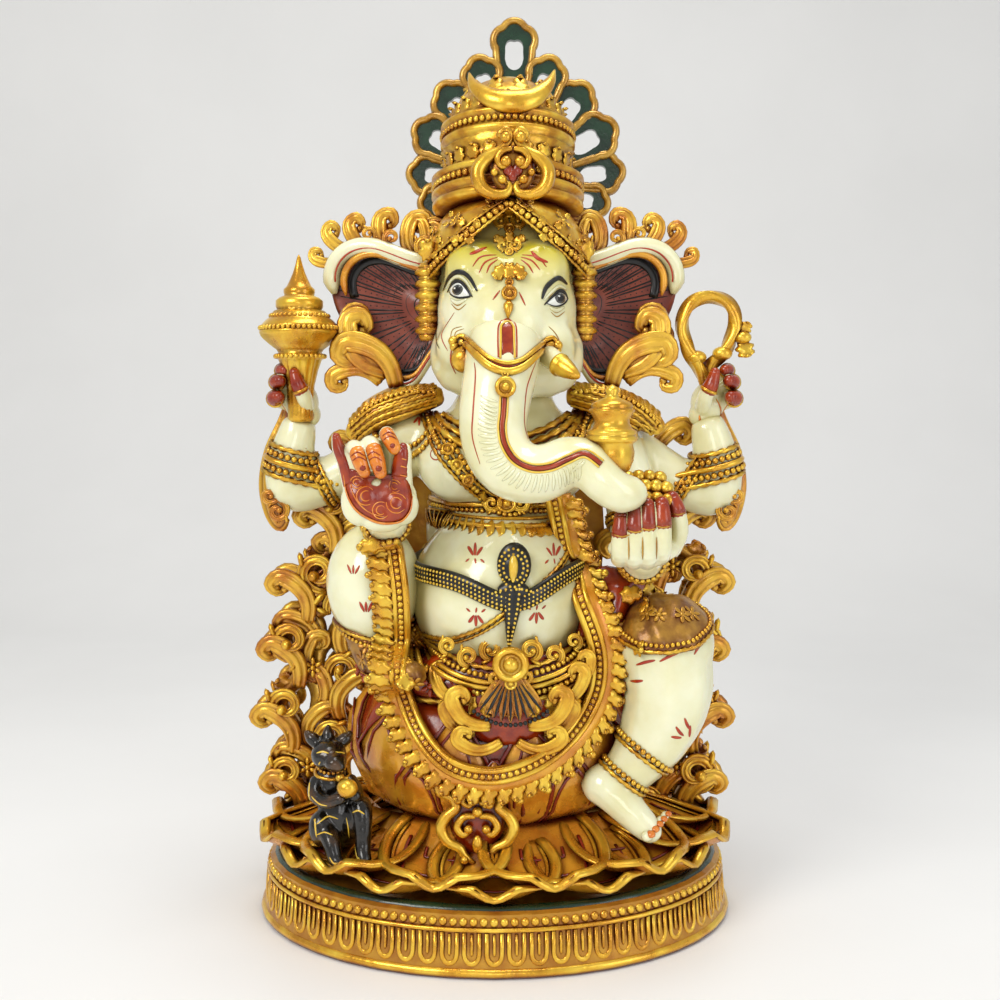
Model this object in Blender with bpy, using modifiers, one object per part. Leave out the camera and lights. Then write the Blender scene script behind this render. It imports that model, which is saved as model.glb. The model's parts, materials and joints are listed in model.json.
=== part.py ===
"""Seated elephant-headed idol on a lotus plinth, as an assembly of cast and bonded pieces.

Lengths are in metres, +Z is up and the figure faces -Y. The origin is the centre of the plinth's underside.
Sculpted pieces are laid out in named frames (body, head, crown, throne). Inside a frame a point is written in
millimetres at the nominal size, and the frame carries it to the real place and size. Pieces are placed one
after another, from the plinth up: each new piece is cut back from those already standing, with JOINT_GAP of
bonding clearance, so neighbours seat on each other and never overlap.
"""

import math

import bmesh
import bpy
from mathutils import Matrix, Vector
from mathutils.bvhtree import BVHTree

# ---- Driving dimensions ---------------------------------------------------------------------------------
PLINTH_WIDTH = 0.239
PLINTH_DEPTH = 0.182
PLINTH_HEIGHT = 0.0255
PLINTH_FLARE = 0.0035  # how far the foot of the plinth stands out past its waist
BEAD_DIAMETER = 0.0046
LOTUS_RISE = 0.022  # plinth top to the middle of the lotus
LOTUS_WIDTH = 0.244
LOTUS_DEPTH = 0.178
PETAL_COUNT = 10
PETAL_THICKNESS = 0.005
SEAT_WIDTH = 0.146
SEAT_DEPTH = 0.120
SEAT_HEIGHT = 0.067
SEAT_LOBES = 14
CUSHION_THICKNESS = 0.020
BODY_HEIGHT = 0.146  # cushion's underside to the neck
BELLY_WIDTH = 0.090
HEAD_WIDTH = 0.072
EAR_THICKNESS = 0.009
CROWN_WIDTH = 0.076
CREST_THICKNESS = 0.008
THRONE_HEIGHT = 0.200
THRONE_THICKNESS = 0.016
GARLAND_WIDTH = 0.012
MACE_WIDTH = 0.040
POT_WIDTH = 0.0225
MOUSE_HEIGHT = 0.056

JOINT_GAP = 0.0005  # bonding clearance between neighbouring pieces
FLAT_ENOUGH = math.radians(3)  # faces this nearly flat to each other are joined after a cut
MM = 0.001

# ---- Scene ------------------------------------------------------------------------------------------------
for old in list(bpy.data.objects):
    bpy.data.objects.remove(old)

PARTS = bpy.data.collections.new("elephant_headed_idol")
CUTTERS = bpy.data.collections.new("cutters")
for group in (PARTS, CUTTERS):
    bpy.context.scene.collection.children.link(group)


def finish_material(name, color, roughness, metallic=0.0):
    made = bpy.data.materials.new(name)
    made.use_nodes = True
    shader = made.node_tree.nodes["Principled BSDF"]
    shader.inputs["Base Color"].default_value = (*color, 1.0)
    shader.inputs["Roughness"].default_value = roughness
    shader.inputs["Metallic"].default_value = metallic
    return made


GOLD = finish_material("gold_leaf", (0.72, 0.42, 0.06), 0.32, 0.8)
MARBLE = finish_material("polished_marble", (0.78, 0.77, 0.52), 0.2)
HENNA = finish_material("henna_red", (0.36, 0.06, 0.02), 0.3)
EAR_RED = finish_material("ear_red", (0.27, 0.05, 0.03), 0.4)
CREST_GREEN = finish_material("crest_green", (0.02, 0.08, 0.04), 0.3)
MAROON = finish_material("maroon", (0.25, 0.02, 0.02), 0.4)
LACQUER = finish_material("brown_lacquer", (0.06, 0.03, 0.02), 0.2)
SNAKE = finish_material("black_snake", (0.03, 0.02, 0.02), 0.25)


# ---- Frames ------------------------------------------------------------------------------------------------
class Frame:
    """Carries nominal millimetre points to metres: a nominal anchor, where it really is, and a scale."""

    def __init__(self, anchor, place, scale=1.0):
        self.anchor = Vector(anchor) * MM
        self.place = Vector(place)
        self.scale = scale

    def at(self, x, y, z):
        return self.place + (Vector((x, y, z)) * MM - self.anchor) * self.scale

    def size(self, length):
        return length * MM * self.scale


lotus_top = PLINTH_HEIGHT + LOTUS_RISE
seat_top = lotus_top + SEAT_HEIGHT
body = Frame((4, 0, 114), (0.004, 0, seat_top), BODY_HEIGHT / 0.146)
head = Frame((5, -8, 262), body.at(5, -8, 262), HEAD_WIDTH / 0.072)
crown = Frame((7, -4, 346), head.at(7, -4, 346), CROWN_WIDTH / 0.076)
throne = Frame((0, 24, 30), (0, 0.024, PLINTH_HEIGHT + 0.0045), THRONE_HEIGHT / 0.200)
deck = Frame((0, 0, 48), (0, 0, lotus_top))


# ---- Mesh tools --------------------------------------------------------------------------------------------
def add_object(name, mesh, material, group=PARTS):
    made = bpy.data.objects.new(name, mesh)
    group.objects.link(made)
    mesh.materials.clear()
    mesh.materials.append(material)
    return made


def settle(obj):
    """Replaces the object's mesh by its evaluated one, with a curve's caps welded, and returns a mesh object."""
    bpy.context.view_layer.update()
    graph = bpy.context.evaluated_depsgraph_get()
    mesh = bpy.data.meshes.new_from_object(obj.evaluated_get(graph))
    mesh.transform(obj.matrix_world)
    shape = bmesh.new()
    shape.from_mesh(mesh)
    bmesh.ops.remove_doubles(shape, verts=shape.verts, dist=1e-6)
    bmesh.ops.triangulate(shape, faces=shape.faces)
    shape.to_mesh(mesh)
    shape.free()
    name, material, group = obj.name, obj.active_material, obj.users_collection[0]
    bpy.data.objects.remove(obj)
    return add_object(name, mesh, material, group)


def smooth_points(points, per_span=4, closed=False):
    """Points of a Catmull-Rom curve through the given ones. A point may carry its radius as a fourth number."""
    count = len(points)
    spans = count if closed else count - 1
    found = []
    for i in range(spans):
        ends = []
        for k in (i - 1, i, i + 1, i + 2):
            index = k % count if closed else min(max(k, 0), count - 1)
            ends.append(points[index])
        for step in range(per_span):
            t = step / per_span
            weights = (
                (-t + 2 * t**2 - t**3) / 2,
                (2 - 5 * t**2 + 3 * t**3) / 2,
                (t + 4 * t**2 - 3 * t**3) / 2,
                (-(t**2) + t**3) / 2,
            )
            found.append([sum(w * p[axis] for w, p in zip(weights, ends)) for axis in range(len(ends[0]))])
    if not closed:
        found.append(list(points[-1]))
    return found


def limb(points, sides=2, closed=False, per_span=4, name="limb", material=MARBLE):
    """A tube through (Vector, radius) pairs: a curve object with a bevel that follows each point's radius."""
    curve = bpy.data.curves.new(name, "CURVE")
    curve.dimensions = "3D"
    curve.bevel_depth = 1.0
    curve.bevel_resolution = sides
    curve.use_fill_caps = not closed
    spline = curve.splines.new("POLY")
    route = smooth_points([(*p, r) for p, r in points], per_span, closed)
    spline.points.add(len(route) - 1)
    for point, (x, y, z, radius) in zip(spline.points, route):
        point.co = (x, y, z, 1.0)
        point.radius = radius
    spline.use_cyclic_u = closed
    return settle(add_object_curve(name, curve, material))


def add_object_curve(name, curve, material):
    made = bpy.data.objects.new(name, curve)
    PARTS.objects.link(made)
    curve.materials.append(material)
    return made


def ball(centre, radii, turn=(0, 0, 0), name="ball", material=MARBLE, rings=12):
    """An ellipsoid with its scale applied. radii is one length or three."""
    sizes = radii if hasattr(radii, "__len__") else (radii,) * 3
    shape = bmesh.new()
    spin = Matrix.Rotation(turn[2], 4, "Z") @ Matrix.Rotation(turn[1], 4, "Y") @ Matrix.Rotation(turn[0], 4,
        "X")
    place = Matrix.Translation(centre) @ spin @ Matrix.Diagonal((*sizes, 1.0))
    bmesh.ops.create_uvsphere(shape, u_segments=rings + 4, v_segments=rings, radius=1.0, matrix=place)
    mesh = bpy.data.meshes.new(name)
    bmesh.ops.triangulate(shape, faces=shape.faces)
    shape.to_mesh(mesh)
    shape.free()
    return add_object(name, mesh, material)


def turned(name, profile, material, place, wide=1.0, deep=1.0, steps=24, tilt=0.0, lobes=0, lobe_depth=0.0):
    """A turned shape: (radius, height) pairs from the bottom centre to the top centre, made by a Screw."""
    mesh = bpy.data.meshes.new(name)
    ordered = list(reversed(profile))
    mesh.from_pydata([(r, 0, z) for r, z in ordered], [(i, i + 1) for i in range(len(ordered) - 1)], [])
    obj = add_object(name, mesh, material)
    screw = obj.modifiers.new("turn", "SCREW")
    screw.steps = screw.render_steps = steps
    screw.use_merge_vertices = True
    screw.merge_threshold = 1e-6
    obj = settle(obj)
    for vertex in obj.data.vertices:
        angle = math.atan2(vertex.co.y, vertex.co.x)
        swell = 1 + lobe_depth * abs(math.cos(lobes * angle / 2)) if lobes else 1.0
        vertex.co.x *= wide * swell
        vertex.co.y *= deep * swell
    obj.data.transform(Matrix.Translation(place) @ Matrix.Rotation(tilt, 4, "X"))
    return obj


def sculpt(name, shapes, material, voxel, faces, smoothing=4):
    """Melts overlapping shapes into one closed body: Remesh, Smooth, then Decimate to about that many faces."""
    shape = bmesh.new()
    for piece in shapes:
        shape.from_mesh(piece.data)
        bpy.data.objects.remove(piece)
    mesh = bpy.data.meshes.new(name)
    shape.to_mesh(mesh)
    shape.free()
    obj = add_object(name, mesh, material)
    melt = obj.modifiers.new("melt", "REMESH")
    melt.mode = "VOXEL"
    melt.voxel_size = voxel
    ease = obj.modifiers.new("ease", "SMOOTH")
    ease.iterations = smoothing
    ease.factor = 0.5
    obj = settle(obj)
    thin = obj.modifiers.new("thin", "DECIMATE")
    thin.ratio = min(1.0, faces / len(obj.data.polygons))
    return settle(obj)


def plate(name, outline, holes, thickness, place, material, tilt=0.0, per_span=3):
    """A flat openwork plate from smooth closed outlines in (x, z) metres, standing up and facing -Y."""
    curve = bpy.data.curves.new(name, "CURVE")
    curve.dimensions = "2D"
    curve.fill_mode = "BOTH"
    curve.extrude = thickness / 2
    for loop in (outline, *holes):
        route = smooth_points(loop, per_span, closed=True)
        spline = curve.splines.new("POLY")
        spline.points.add(len(route) - 1)
        for point, (x, z) in zip(spline.points, route):
            point.co = (x, z, 0, 1)
        spline.use_cyclic_u = True
    obj = settle(add_object_curve(name, curve, material))
    obj.data.transform(Matrix.Translation(place) @ Matrix.Rotation(math.pi / 2 + tilt, 4, "X"))
    return obj


# ---- Fitting pieces together -------------------------------------------------------------------------------
standing = []  # every piece placed so far, with its clearance cutter


def box_of(mesh, grow=0.0):
    corners = [v.co for v in mesh.vertices]
    low = [min(c[k] for c in corners) - grow for k in range(3)]
    high = [max(c[k] for c in corners) + grow for k in range(3)]
    return low, high


def boxes_meet(a, b):
    return all(a[0][k] < b[1][k] and b[0][k] < a[1][k] for k in range(3))


def clearance_copy(obj):
    """The piece grown by the bonding clearance, as the cutter for whatever is placed against it."""
    mesh = obj.data.copy()
    normals = [v.normal.copy() for v in mesh.vertices]
    for vertex, normal in zip(mesh.vertices, normals):
        vertex.co += normal * JOINT_GAP
    cutter = add_object(obj.name + ".clearance", mesh, obj.active_material, CUTTERS)
    cutter.hide_render = True
    cutter.display_type = "WIRE"
    return cutter


def keep_largest(mesh):
    """Drops the loose offcuts that a cut leaves behind a neighbour."""
    shape = bmesh.new()
    shape.from_mesh(mesh)
    bmesh.ops.remove_doubles(shape, verts=shape.verts, dist=2e-6)
    bmesh.ops.dissolve_degenerate(shape, edges=shape.edges, dist=2e-6)
    left = set(shape.verts)
    bodies = []
    while left:
        front = [left.pop()]
        body_verts = set(front)
        while front:
            vertex = front.pop()
            for edge in vertex.link_edges:
                other = edge.other_vert(vertex)
                if other in left:
                    left.discard(other)
                    body_verts.add(other)
                    front.append(other)
        bodies.append(body_verts)
    bodies.sort(key=len)
    for offcut in bodies[:-1]:
        bmesh.ops.delete(shape, geom=list(offcut), context="VERTS")
    bmesh.ops.dissolve_limit(shape, angle_limit=FLAT_ENOUGH, verts=shape.verts, edges=shape.edges)
    bmesh.ops.triangulate(shape, faces=shape.faces)
    shape.to_mesh(mesh)
    shape.free()
    return len(bodies)


def cut(obj, cutter):
    boolean = obj.modifiers.new("seat", "BOOLEAN")
    boolean.operation = "DIFFERENCE"
    boolean.solver = "EXACT"
    boolean.object = cutter
    return settle(obj)


def place(obj):
    """Cuts the piece back from every neighbour that already stands, then lets it stand too.

    The neighbours' cutters keep their shapes from before they were cut themselves, so they stay simple.
    """
    cutter = clearance_copy(obj)
    own = box_of(obj.data)
    was_cut = False
    for _, other, reach in standing:
        if boxes_meet(own, reach):
            obj = cut(obj, other)
            was_cut = True
    if was_cut:
        keep_largest(obj.data)
    obj.data.shade_smooth()
    obj.data.set_sharp_from_angle(angle=math.radians(40))
    standing.append((obj, cutter, box_of(cutter.data)))
    return obj


def surface_tree(names):
    """One search tree over the named pieces' surfaces."""
    points, faces = [], []
    for obj, _, _ in standing:
        if obj.name in names:
            start = len(points)
            points += [v.co.copy() for v in obj.data.vertices]
            faces += [[start + i for i in p.vertices] for p in obj.data.polygons]
    return BVHTree.FromPolygons(points, faces)


def laid_on(names, route, lift, frame):
    """Front-view points (x, z) in nominal mm, dropped on to the named pieces from the front."""
    tree = surface_tree(names)
    found = []
    for x, z in route:
        start = frame.at(x, -200, z)
        hit = tree.ray_cast(start, Vector((0, 1, 0)))[0]
        found.append(hit + Vector((0, -lift, 0)))
    return found


def girdle(names, centre, lean, side_lean, lift, count=28, first=0.0, last=2 * math.pi):
    """Points round the named pieces where a tilted plane through centre meets them, seen from outside."""
    tree = surface_tree(names)
    tilt = Matrix.Rotation(side_lean, 3, "Y") @ Matrix.Rotation(lean, 3, "X")
    found = []
    for i in range(count):
        angle = first + (last - first) * i / (count if last - first > 6.2 else count - 1)
        out = tilt @ Vector((math.sin(angle), -math.cos(angle), 0))
        hit = tree.ray_cast(centre + out * 0.3, -out)[0]
        found.append(hit + out * lift)
    return found


def band(name, route, radius, material=GOLD, closed=True, per_span=1):
    """A cord or rail along a route that already lies on its host."""
    return limb([(p, radius) for p in route], 1, closed, per_span, name, material)


# ---- Plinth, lotus and seat --------------------------------------------------------------------------------
half_width, half_depth = PLINTH_WIDTH / 2, PLINTH_DEPTH / 2
depth_ratio = PLINTH_DEPTH / PLINTH_WIDTH
waist = half_width - PLINTH_FLARE
place(
    turned(
        "plinth",
        [
            (0, 0),
            (half_width - 0.002, 0),
            (half_width, 0.004),
            (waist + 0.001, PLINTH_HEIGHT * 0.55),
            (waist, PLINTH_HEIGHT),
            (waist, PLINTH_HEIGHT + BEAD_DIAMETER * 0.6),
            (waist - BEAD_DIAMETER * 0.5, PLINTH_HEIGHT + BEAD_DIAMETER * 0.85),
            (waist - BEAD_DIAMETER, PLINTH_HEIGHT + BEAD_DIAMETER * 0.6),
            (waist - BEAD_DIAMETER - 0.0015, PLINTH_HEIGHT),
            (0, PLINTH_HEIGHT),
        ],
        GOLD,
        Vector((0, 0, 0)),
        deep=depth_ratio,
        steps=40,
    )
)


def petal_ring(name, low, high, wide, deep, count, phase, curl, inner, material):
    """A ring of overlapping petals as one casting: a rippled open dish given its thickness by Solidify."""
    steps, rows = count * 4, 3
    shape = bmesh.new()
    rings = []
    for row in range(rows + 1):
        share = row / rows
        ring = []
        for step in range(steps):
            angle = 2 * math.pi * step / steps
            bump = abs(math.cos(count * (angle - phase) / 2))
            reach = inner + (1 - inner) * share
            reach *= 1 - 0.075 * share**2 * (1 - bump**0.7)
            sag = math.sin(math.pi * share) * 0.10
            height = high + (low - high) * (share + sag) + curl * share**6 * bump
            height -= 0.0024 * share * (1 - bump)
            x = wide / 2 * reach * math.cos(angle)
            y = deep / 2 * reach * math.sin(angle)
            ring.append(shape.verts.new((x, y, height)))
        rings.append(ring)
    for lower, upper in zip(rings, rings[1:]):
        for i in range(steps):
            j = (i + 1) % steps
            shape.faces.new((lower[i], upper[i], upper[j], lower[j]))
    bmesh.ops.recalc_face_normals(shape, faces=shape.faces)
    mesh = bpy.data.meshes.new(name)
    shape.to_mesh(mesh)
    shape.free()
    obj = add_object(name, mesh, material)
    wall = obj.modifiers.new("wall", "SOLIDIFY")
    wall.thickness = PETAL_THICKNESS
    wall.offset = -1 if mesh.polygons[0].normal.z > 0 else 1
    return settle(obj)


petal_low = PLINTH_HEIGHT + BEAD_DIAMETER * 0.9 + PETAL_THICKNESS * 0.6
place(
    petal_ring(
        "lotus_petals_lower", petal_low + 0.001, lotus_top - 0.008, LOTUS_WIDTH * 0.95, LOTUS_DEPTH * 0.96,
        PETAL_COUNT, math.pi / 2, 0.0005, 0.50, GOLD,
    )
)
place(
    petal_ring(
        "lotus_petals_upper", petal_low + 0.0075, lotus_top + 0.001, LOTUS_WIDTH, LOTUS_DEPTH,
        PETAL_COUNT, math.pi / 2 + math.pi / PETAL_COUNT, 0.004, 0.42, GOLD,
    )
)

half_seat = SEAT_WIDTH / 2
place(
    turned(
        "lotus_seat",
        [
            (0, PLINTH_HEIGHT + JOINT_GAP),
            (half_seat * 0.59, PLINTH_HEIGHT + JOINT_GAP),
            (half_seat * 0.59, lotus_top + SEAT_HEIGHT * 0.03),
            (half_seat * 0.86, lotus_top + SEAT_HEIGHT * 0.22),
            (half_seat * 0.97, lotus_top + SEAT_HEIGHT * 0.50),
            (half_seat * 0.95, lotus_top + SEAT_HEIGHT * 0.74),
            (half_seat * 0.86, lotus_top + SEAT_HEIGHT * 0.93),
            (half_seat * 0.78, seat_top),
            (0, seat_top),
        ],
        GOLD,
        Vector((0, 0, 0)),
        deep=SEAT_DEPTH / SEAT_WIDTH,
        steps=SEAT_LOBES * 2,
        lobes=SEAT_LOBES,
        lobe_depth=0.035,
    )
)
place(
    turned(
        "seat_cushion",
        [
            (0, seat_top),
            (half_seat * 0.84, seat_top + 0.0002),
            (half_seat * 0.97, seat_top + CUSHION_THICKNESS * 0.35),
            (half_seat * 0.95, seat_top + CUSHION_THICKNESS * 0.70),
            (half_seat * 0.80, seat_top + CUSHION_THICKNESS),
            (0, seat_top + CUSHION_THICKNESS),
        ],
        MAROON,
        Vector((0, 0, 0)),
        deep=SEAT_DEPTH / SEAT_WIDTH,
        steps=24,
    )
)

# ---- Figure: torso, cloth, legs ----------------------------------------------------------------------------
belly = BELLY_WIDTH / 2
hip_spread = Vector((belly - body.size(45), 0, 0))
right_hip = Frame((0, 0, 0), body.at(0, 0, 0) - hip_spread, body.scale)  # the folded leg's side, at -X
left_hip = Frame((0, 0, 0), body.at(0, 0, 0) + hip_spread, body.scale)
place(
    sculpt(
        "torso",
        [
            ball(body.at(3, -18, 164), (belly, belly * 1.02, belly * 0.94), rings=16),
            ball(body.at(4, -5, 230), (body.size(44), body.size(32), body.size(30)), rings=16),
            ball(body.at(-18, -22, 229), body.size(20)),
            ball(body.at(28, -22, 229), body.size(20)),
            ball(body.at(-42, 3, 239), body.size(17)),
            ball(body.at(51, 3, 239), body.size(17)),
            ball(body.at(4, 14, 192), (body.size(40), body.size(24), body.size(54)), rings=16),
            ball(body.at(4, 0, 144), (body.size(42), body.size(38), body.size(18))),
            ball(body.at(5, -4, 258), (body.size(25), body.size(22), body.size(16))),
        ],
        MARBLE,
        0.0035,
        560,
        6,
    )
)
place(
    sculpt(
        "loincloth",
        [
            ball(body.at(4, 2, 142), (body.size(52), body.size(40), body.size(15)), rings=16),
            limb([(body.at(-26, -2, 146), body.size(20)), (right_hip.at(-44, -16, 154), body.size(20))]),
            limb(
                [
                    (body.at(30, -6, 147), body.size(23)),
                    (left_hip.at(52, -22, 154), body.size(24)),
                    (left_hip.at(70, -34, 154), body.size(23)),
                ]
            ),
            ball(body.at(6, -40, 128), (body.size(44), body.size(22), body.size(17)), rings=14),
            ball(body.at(6, -50, 110), (body.size(26), body.size(13), body.size(20)), rings=14),
        ],
        GOLD,
        0.0035,
        480,
        5,
    )
)
place(
    sculpt(
        "folded_leg",
        [
            ball(right_hip.at(-59, -30, 170), (body.size(23), body.size(25), body.size(30)), rings=16),
            limb(
                [
                    (right_hip.at(-58, -30, 158), body.size(19)),
                    (right_hip.at(-58, -34, 146), body.size(14)),
                    (right_hip.at(-58, -38, 138), body.size(10.5)),
                ]
            ),
            limb(
                [
                    (right_hip.at(-60, -36, 138), body.size(9)),
                    (right_hip.at(-54, -46, 134), body.size(8)),
                    (right_hip.at(-42, -56, 131), body.size(6.5)),
                    (right_hip.at(-34, -60, 130), body.size(5)),
                ]
            ),
        ],
        MARBLE,
        0.0028,
        440,
        4,
    )
)
place(
    sculpt(
        "hanging_leg",
        [
            ball(left_hip.at(82, -43, 143), (body.size(23), body.size(24), body.size(22)), rings=16),
            limb(
                [
                    (left_hip.at(82, -44, 140), body.size(22)),
                    (left_hip.at(83, -46, 118), body.size(21)),
                    (left_hip.at(76, -46, 98), body.size(17.5)),
                    (left_hip.at(66, -47, 84), body.size(13)),
                    (left_hip.at(58, -48, 76), body.size(11)),
                ]
            ),
            ball(left_hip.at(52, -50, 76), (body.size(11), body.size(11), body.size(10))),
            limb(
                [
                    (left_hip.at(50, -52, 77), body.size(9)),
                    (left_hip.at(60, -56, 69), body.size(8.5)),
                    (left_hip.at(70, -60, 60), body.size(7.5)),
                    (left_hip.at(77, -62, 53.5), body.size(5)),
                ]
            ),
            ball(left_hip.at(66, -57, 63), (body.size(11), body.size(9), body.size(6)), turn=(0, 0.7, 0)),
        ],
        MARBLE,
        0.0026,
        560,
        3,
    )
)
# ---- Arms and hands ----------------------------------------------------------------------------------------
def arm(name, joints, faces=200):
    return place(
        sculpt(name, [limb([(body.at(*p), body.size(r)) for p, r in joints], sides=3)], MARBLE, 0.0026, faces,
            3)
    )


arm("mace_arm", [
    ((-52, 8, 236), 15), ((-70, 10, 226), 12.5), ((-90, 8, 216), 12), ((-104, 5, 214), 12.5),
    ((-105, 3, 226), 12), ((-101, 2, 240), 10), ((-99, 1, 250), 8.5),
])
arm("noose_arm", [
    ((62, 8, 236), 15), ((82, 10, 225), 12.5), ((100, 8, 214), 12), ((113, 5, 212), 12.5),
    ((114, 3, 225), 12), ((110, 2, 240), 10), ((107, 1, 250), 8.5),
])
arm("blessing_arm", [
    ((-50, 0, 238), 14.5), ((-56, -6, 220), 13.5), ((-57, -14, 206), 13), ((-54, -32, 200), 12),
    ((-51, -50, 202), 10.5), ((-48, -64, 205), 9), ((-47, -70, 208), 7.5),
])
arm("sweets_arm", [
    ((60, 0, 238), 14.5), ((67, -6, 218), 13.5), ((70, -14, 196), 13), ((70, -34, 186), 12.5),
    ((69, -52, 185), 11), ((68, -66, 188), 9), ((67, -74, 190), 7),
])


def hand(name, palm, fingers, faces, material=MARBLE):
    """A palm of overlapping balls and one tapered limb per finger, melted together."""
    shapes = [ball(body.at(*c), [body.size(r) for r in radii], turn=turn) for c, radii, turn in palm]
    for route in fingers:
        shapes.append(limb([(body.at(*p), body.size(r)) for p, r in route], sides=2, per_span=3))
    return place(sculpt(name, shapes, material, 0.0011, faces, 3))


hand(
    "blessing_hand",
    [((-49, -73, 214), (16, 6.5, 13), (0.15, 0, 0)), ((-42, -73, 208), (9, 7, 8), (0, 0, 0))],
    [
        [((-62, -74, 218), 4.4), ((-67, -75, 231), 3.9), ((-70, -76, 242), 2.8)],
        [((-57, -74, 222), 4.6), ((-59, -77, 232), 4.5), ((-58, -84, 233), 4.2), ((-57, -86, 226), 3.7)],
        [((-49, -74, 222), 4.6), ((-50, -77, 234), 4.5), ((-49, -84, 235), 4.2), ((-49, -86, 227), 3.7)],
        [((-42, -74, 220), 4.6), ((-42, -76, 233), 4.3), ((-46, -78, 243), 3.6), ((-49, -79, 246), 2.8)],
        [((-37, -76, 210), 5.4), ((-34, -80, 222), 4.9), ((-38, -82, 232), 4.2), ((-40, -82, 236), 3.2)],
    ],
    520,
)
hand(
    "sweets_hand",
    [((67, -76, 192), (16, 9, 7), (0.2, 0, 0))],
    [
        [((56, -82, 188), 4.3), ((55, -88, 194), 4.2), ((56, -88, 204), 3.8), ((57, -86, 210), 3.0)],
        [((63, -83, 187), 4.3), ((62, -89, 193), 4.2), ((63, -89, 205), 3.8), ((63, -87, 212), 3.0)],
        [((70, -83, 188), 4.3), ((70, -89, 194), 4.2), ((70, -89, 206), 3.8), ((70, -87, 213), 3.0)],
        [((77, -81, 190), 4.3), ((77, -87, 196), 4.1), ((77, -87, 206), 3.7), ((76, -85, 212), 3.0)],
        [((82, -74, 195), 4.3), ((84, -79, 203), 4.3), ((82, -81, 210), 3.8), ((79, -80, 213), 3.0)],
    ],
    520,
)


def gripping_hand(name, side, x, z):
    """A rear hand seen from the front: it closes round a shaft that stands at (x, -2)."""
    return hand(
        name,
        [((x, 3, z), (8.5, 8, 10), (0, 0, 0))],
        [
            [((x + 3 * side, -2, z + 1), 3.9), ((x + side, -9, z + 5), 3.6), ((x - side, -10, z + 12), 2.9)],
            [((x - 7 * side, 2, z + 2), 4.0), ((x - 12 * side, 0, z + 3), 4.2),
                ((x - 10 * side, -7, z + 4), 3.6)],
            [((x - 6 * side, 4, z + 8), 3.8), ((x - 10 * side, 2, z + 12), 4.0),
                ((x - 8 * side, -5, z + 13), 3.5)],
        ],
        340,
    )


gripping_hand("mace_hand", 1, -98, 258)
gripping_hand("noose_hand", -1, 108, 258)

# ---- Head --------------------------------------------------------------------------------------------------
place(
    sculpt(
        "head",
        [
            ball(head.at(6, -4, 318), (head.size(36), head.size(33), head.size(34)), rings=16),
            ball(head.at(6, -20, 302), (head.size(34), head.size(32), head.size(33)), rings=16),
            ball(head.at(-12, -22, 280), head.size(20)),
            ball(head.at(24, -22, 280), head.size(20)),
            ball(head.at(-9, -34, 320), head.size(15)),
            ball(head.at(21, -34, 320), head.size(15)),
            ball(head.at(5, -44, 291), (head.size(20), head.size(15), head.size(22)), rings=14),
            ball(head.at(-16, -38, 284), head.size(12)),
            ball(head.at(27, -38, 284), head.size(12)),
            ball(head.at(5, -28, 268), (head.size(16), head.size(16), head.size(12))),
        ],
        MARBLE,
        0.003,
        560,
        6,
    )
)
place(
    sculpt(
        "trunk",
        [
            limb(
                [
                    (head.at(5, -54, 288), head.size(17.5)),
                    (head.at(3, -62, 272), head.size(16.8)),
                    (head.at(0, -69, 256), head.size(15.8)),
                    (head.at(0, -74, 241), head.size(15)),
                    (head.at(7, -79, 229), head.size(14)),
                    (head.at(20, -83, 226), head.size(12.5)),
                    (head.at(32, -85, 232), head.size(11.2)),
                    (head.at(40, -90, 232), head.size(10)),
                    (head.at(47, -93, 224), head.size(9.2)),
                    (head.at(56, -92, 218), head.size(8.5)),
                    (head.at(64, -88, 221), head.size(6.5)),
                ],
                sides=4,
                per_span=3,
            )
        ],
        MARBLE,
        0.0024,
        440,
        2,
    )
)


def ear(name, side, middle):
    """A broad fan-shaped ear rooted in the side of the head, its outer edge swept back."""
    mid = head.at(middle, 0, 300)
    outline = [
        (-14, 27), (4, 30), (26, 38), (40, 34), (47, 22), (42, 2), (26, -16), (12, -32), (2, -30), (-5, -18),
        (-14, -6),
    ]
    points = [(mid.x + side * head.size(x), mid.z + head.size(z)) for x, z in outline]
    obj = plate(name, points, [], EAR_THICKNESS, Vector((0, head.at(0, 2, 0).y, 0)), EAR_RED, per_span=2)
    for vertex in obj.data.vertices:
        out = max(0.0, side * (vertex.co.x - mid.x)) / head.size(45)
        vertex.co.y += head.size(9) * out * out
    return place(obj)


ear("right_ear", -1, -38)
ear("left_ear", 1, 47)
place(
    limb(
        [(head.at(-12, -40, 279), head.size(5.4)), (head.at(-13.5, -51, 277), head.size(5.2)),
            (head.at(-15, -58, 275.5), head.size(4.8))],
        3, False, 3, "broken_tusk", MARBLE,
    )
)
place(
    limb(
        [
            (head.at(23, -42, 281), head.size(5.4)),
            (head.at(27, -54, 276), head.size(4.9)),
            (head.at(33, -63, 271), head.size(3.6)),
            (head.at(38, -68, 268), head.size(1.6)),
        ],
        3, False, 3, "whole_tusk", MARBLE,
    )
)

# ---- Crown -------------------------------------------------------------------------------------------------
CROWN_LEAN = math.radians(-7)
cap_radii = (crown.size(40), crown.size(43), crown.size(36))
cap = ball(crown.at(6.5, -6, 322), cap_radii, name="crown_cap", material=GOLD, rings=12)
brow_cut = bpy.data.meshes.new("brow_cut")
wedge = bmesh.new()
corners = [crown.at(x, 0, z) for x, z in ((6.5, 349), (-60, 303), (-60, 250), (75, 250), (75, 303))]
front_face = [wedge.verts.new(c + Vector((0, -0.10, 0))) for c in corners]
face = wedge.faces.new(front_face)
pushed = bmesh.ops.extrude_face_region(wedge, geom=[face])
for vertex in pushed["geom"]:
    if isinstance(vertex, bmesh.types.BMVert):
        vertex.co.y += 0.10 + crown.size(4)
bmesh.ops.recalc_face_normals(wedge, faces=wedge.faces)
wedge.to_mesh(brow_cut)
wedge.free()
brow_cutter = add_object("brow_opening", brow_cut, GOLD, CUTTERS)
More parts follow.
